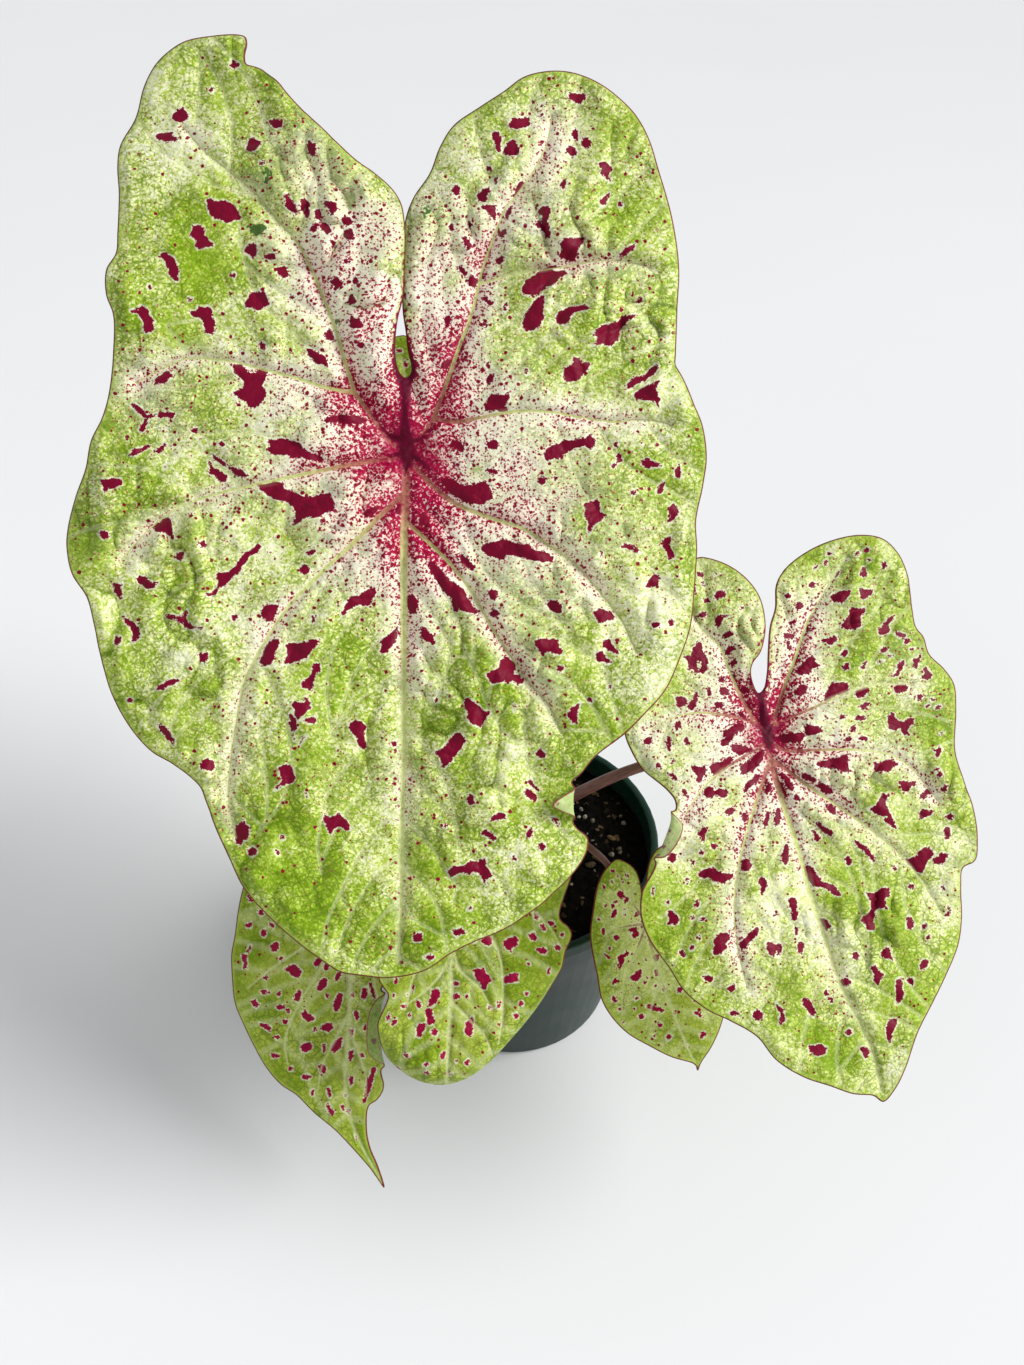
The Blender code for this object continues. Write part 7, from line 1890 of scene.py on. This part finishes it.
def build_soil():
    rings, sectors = ((92, 260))
    r_out = inner_r(SOIL_Z) - 0.00028
    pts = [np.zeros((1, 2))]
    for i in range(1, rings + 1):
        r = r_out * i / rings
        g = (np.arange(sectors) + 0.5 * (i % 2)) * math.tau / sectors
        pts.append(np.stack([r * np.cos(g), r * np.sin(g)], 1))
    q = np.vstack(pts)
    z = soil_height(q)
    rad = np.linalg.norm(q, axis=1)
    z = np.where(rad > r_out * 0.995, np.minimum(z, SOIL_Z - 0.0003), z)
    v = np.column_stack([q, z]).tolist()
    faces = [(0, 1 + k, 1 + (k + 1) % sectors) for k in range(sectors)]
    for i in range(1, rings):
        a0, b0 = 1 + (i - 1) * sectors, 1 + i * sectors
        for k in range(sectors):
            k2 = (k + 1) % sectors
            if i % 2:
                faces += [(a0 + k, b0 + k, a0 + k2), (a0 + k2, b0 + k, b0 + k2)]
                # odd rings are half a step ahead of the next one
            else:
                faces += [(a0 + k, b0 + k, b0 + k2), (a0 + k, b0 + k2, a0 + k2)]
    last = 1 + (rings - 1) * sectors
    low = len(v)
    prev = last
    for z0, dr in ((SOIL_Z - 0.0015, 0.0), (0.040, 0.0), (FLOOR + 0.0022, 0.0), (FLOOR + 0.0006, 0.0014)):
        r = inner_r(z0) - 0.00030 - dr
        start = len(v)
        for k in range(sectors):
            g = (k + 0.5 * (rings % 2)) * math.tau / sectors
            v.append((r * math.cos(g), r * math.sin(g), z0))
        for k in range(sectors):
            k2 = (k + 1) % sectors
            faces.append((prev + k, start + k, start + k2, prev + k2))
        prev = start
    v.append((0, 0, FLOOR + 0.0006))
    for k in range(sectors):
        faces.append((prev + k, len(v) - 1, prev + (k + 1) % sectors))
    me = bpy.data.meshes.new("soil")
    me.from_pydata(v, [], faces)
    ob = add("soil", me, (soil_material(),))
    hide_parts("potting_soil")
    return ob


build_soil()


def grit(name, count, seed, size, mat_, flat=(0.8, 1.2), clear=0.0, long=1.0, rmax=0.0480, sub=2, sink=0.30):
    """Loose bits lying on the soil, as one piece of separate lumps."""
    rng = np.random.default_rng(seed)
    bm = bmesh.new()
    bmesh.ops.create_icosphere(bm, subdivisions=sub, radius=1.0)
    bv = np.array([tuple(x.co) for x in bm.verts])
    bf = [tuple(x.index for x in f.verts) for f in bm.faces]
    bm.free()
    verts, faces, tone = [], [], []
    done = 0
    while done < count:
        r = rmax * math.sqrt(rng.uniform(0, 1))
        g = rng.uniform(0, math.tau)
        x, y = r * math.cos(g), r * math.sin(g)
        s = rng.uniform(*size) / 2
        if r < clear:
            continue
        z = float(soil_height(np.array([[x, y]]))[0])
        sc = np.array((rng.uniform(0.8, 1.2) * long, rng.uniform(0.75, 1.1), rng.uniform(*flat))) * s
        w = bv * (1 + 0.20 * noise3(bv * 1.0 + rng.uniform(-9, 9, 3), 0.9, seed + done)[:, None] + 0.10 * noise3(bv + 5.0, 0.35, seed + 3 * done)[:, None])
        w = w * sc
        a1, a2, a3 = rng.uniform(0, math.tau), rng.uniform(-0.5, 0.5), rng.uniform(-0.5, 0.5)
        rz = np.array(((math.cos(a1), -math.sin(a1), 0), (math.sin(a1), math.cos(a1), 0), (0, 0, 1)))
        rx = np.array(((1, 0, 0), (0, math.cos(a2), -math.sin(a2)), (0, math.sin(a2), math.cos(a2))))
        ry = np.array(((math.cos(a3), 0, math.sin(a3)), (0, 1, 0), (-math.sin(a3), 0, math.cos(a3))))
        w = w @ (rz @ rx @ ry).T + (x, y, z + sc[2] * (1 - 2 * sink) * 0.6)
        if np.linalg.norm(w[:, :2], axis=1).max() > inner_r(SOIL_Z) - 0.0005:
            continue
        n0 = len(verts) * len(bv)
        verts.append(w)
        faces += [tuple(i + n0 for i in f) for f in bf]
        tone.append(np.full(len(bv), rng.uniform(0, 1)))
        done += 1
    me = bpy.data.meshes.new(name)
    me.from_pydata(np.vstack(verts).tolist(), [], faces)
    set_float(me, "tone", np.concatenate(tone))
    return add(name, me, (mat_,))


def perlite_material():
    n = Nodes("perlite_grain")
    tc = n.new("ShaderNodeTexCoord").outputs["Object"]
    t = n.attr("tone")
    base = n.mix(t, lin(92, 86, 76), lin(176, 170, 158))
    pit = n.noise(tc, 1500.0, 3.0, 0.6)["Fac"]
    base = n.mix(n.ramp(pit, 0.58, 0.40), base, lin(84, 74, 60))
    n.put(n.p.inputs["Base Color"], base)
    n.p.inputs["Roughness"].default_value = 0.9
    n.put(n.p.inputs["Normal"], n.bump(pit, 0.6, 0.0003))
    return n.m


def bark_material():
    n = Nodes("bark_chip")
    tc = n.new("ShaderNodeTexCoord").outputs["Object"]
    t = n.attr("tone")
    base = n.mix(t, lin(34, 24, 16), lin(112, 84, 46))
    g = n.noise(tc, 900.0, 4.0, 0.6)["Fac"]
    base = n.mix(n.ramp(g, 0.45, 0.7), base, lin(34, 24, 16))
    n.put(n.p.inputs["Base Color"], base)
    n.p.inputs["Roughness"].default_value = 0.88
    n.put(n.p.inputs["Normal"], n.bump(g, 0.6, 0.0004))
    return n.m


grit("perlite", 150, 5, (0.0007, 0.0021), perlite_material(), clear=0.009)
grit("bark_bits", 100, 8, (0.0008, 0.0027), bark_material(), flat=(0.35, 0.6), clear=0.008, long=1.7)

# ======================================================================
# Finishes of the carried-over pieces
# ======================================================================
def pot_material():
    n = Nodes("pot_plastic_green")
    geo = n.new("ShaderNodeNewGeometry").outputs["Position"]
    sep = n.new("ShaderNodeSeparateXYZ")
    n.put(sep.inputs[0], geo)
    z = sep.outputs["Z"]
    fine = n.noise(geo, 700.0, 4.0, 0.6)["Fac"]
    big = n.noise(geo, 26.0, 4.0, 0.6)["Fac"]
    wall = n.mix(n.ramp(big, 0.3, 0.7), lin(19, 37, 34), lin(27, 47, 43))
    wall = n.mix(n.math("MULTIPLY", n.ramp(fine, 0.55, 0.75), 0.25), wall, lin(58, 68, 62))
    base = n.mix(n.ramp(z, POT_H - 0.0078, POT_H - 0.0062), wall, lin(14, 50, 38))
    scuff = n.noise(geo, 180.0, 6.0, 0.7)["Fac"]
    base = n.mix(n.math("MULTIPLY", n.ramp(scuff, 0.62, 0.80), 0.3), base, lin(120, 132, 124))
    n.put(n.p.inputs["Base Color"], base)
    n.put(n.p.inputs["Roughness"], n.ramp(big, 0.3, 0.7, 0.38, 0.52))
    n.p.inputs["Specular IOR Level"].default_value = 0.32
    n.put(n.p.inputs["Normal"], n.bump(fine, 0.15, 0.0002))
    return n.m


def tuber_material():
    n = Nodes("tuber_bark")
    geo = n.new("ShaderNodeTexCoord").outputs["Object"]
    a = n.noise(geo, 260.0, 5.0, 0.6)["Fac"]
    base = n.mix(n.ramp(a, 0.3, 0.7), lin(82, 56, 38), lin(140, 106, 74))
    n.put(n.p.inputs["Base Color"], base)
    n.p.inputs["Roughness"].default_value = 0.85
    n.put(n.p.inputs["Normal"], n.bump(a, 0.5, 0.0006))
    return n.m


for node, m in (("pot", pot_material()), ("tuber", tuber_material())):
    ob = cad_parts[node]
    ob.data.materials.clear()
    ob.data.materials.append(m)

# ======================================================================
# Floor, light and camera
# ======================================================================
bm = bmesh.new()
bmesh.ops.create_grid(bm, x_segments=1, y_segments=1, size=12.0)
floor_me = bpy.data.meshes.new("floor")
bm.to_mesh(floor_me)
bm.free()
floor = bpy.data.objects.new("floor", floor_me)
nf = Nodes("floor_white")
tcf = nf.new("ShaderNodeTexCoord").outputs["Object"]
nf.put(nf.p.inputs["Base Color"], nf.mix(nf.noise(tcf, 3.0, 2.0)["Fac"], (0.757, 0.77, 0.79, 1), (0.785, 0.79, 0.805, 1)))
nf.p.inputs["Roughness"].default_value = 0.7
floor_me.materials.append(nf.m)
bpy.context.scene.collection.objects.link(floor)

world = bpy.data.worlds.new("studio")
bpy.context.scene.world = world
world.use_nodes = True
world.node_tree.nodes["Background"].inputs["Color"].default_value = (0.97, 0.98, 1.0, 1)
world.node_tree.nodes["Background"].inputs["Strength"].default_value = 0.43


def area(name, place, aim, size, power, colour=(1, 1, 1)):
    li = bpy.data.lights.new(name, "AREA")
    li.shape = "SQUARE"
    li.size = size
    li.energy = power
    li.color = colour
    ob = bpy.data.objects.new(name, li)
    ob.location = place
    ob.rotation_euler = (Vector(aim) - Vector(place)).to_track_quat("-Z", "Y").to_euler()
    bpy.context.scene.collection.objects.link(ob)
    return ob


sun = bpy.data.lights.new("key", "SUN")
sun.energy = 3.4
sun.angle = math.radians(34)
sun.color = (1.0, 0.995, 0.98)
sun_ob = bpy.data.objects.new("key", sun)
sun_ob.location = (1.2, 0.6, 1.1)
sun_ob.rotation_euler = Vector((-1.0, 0.16, -0.78)).to_track_quat("-Z", "Y").to_euler()
bpy.context.scene.collection.objects.link(sun_ob)
area("side", (1.5, 0.1, 1.0), (0.3, 0, 0.1), 1.4, 3.0, (1.0, 1.0, 1.0))
area("fill", (-0.75, -0.55, 0.75), (-0.14, -0.12, 0.0), 0.8, 1.5, (0.96, 0.98, 1.0))

cam = bpy.data.cameras.new("camera")
cam.sensor_fit = "AUTO"
cam.sensor_width = 36.0
cam.lens = 36.0 * VIEW_F / 1365.0
cam.clip_start = 0.01
cam.clip_end = 20
cam_ob = bpy.data.objects.new("camera", cam)
cam_ob.location = EYE
cam_ob.rotation_euler = (math.pi / 2 - PITCH, 0, 0)
bpy.context.scene.collection.objects.link(cam_ob)
bpy.context.scene.camera = cam_ob
bpy.context.scene.view_settings.view_transform = "Standard"
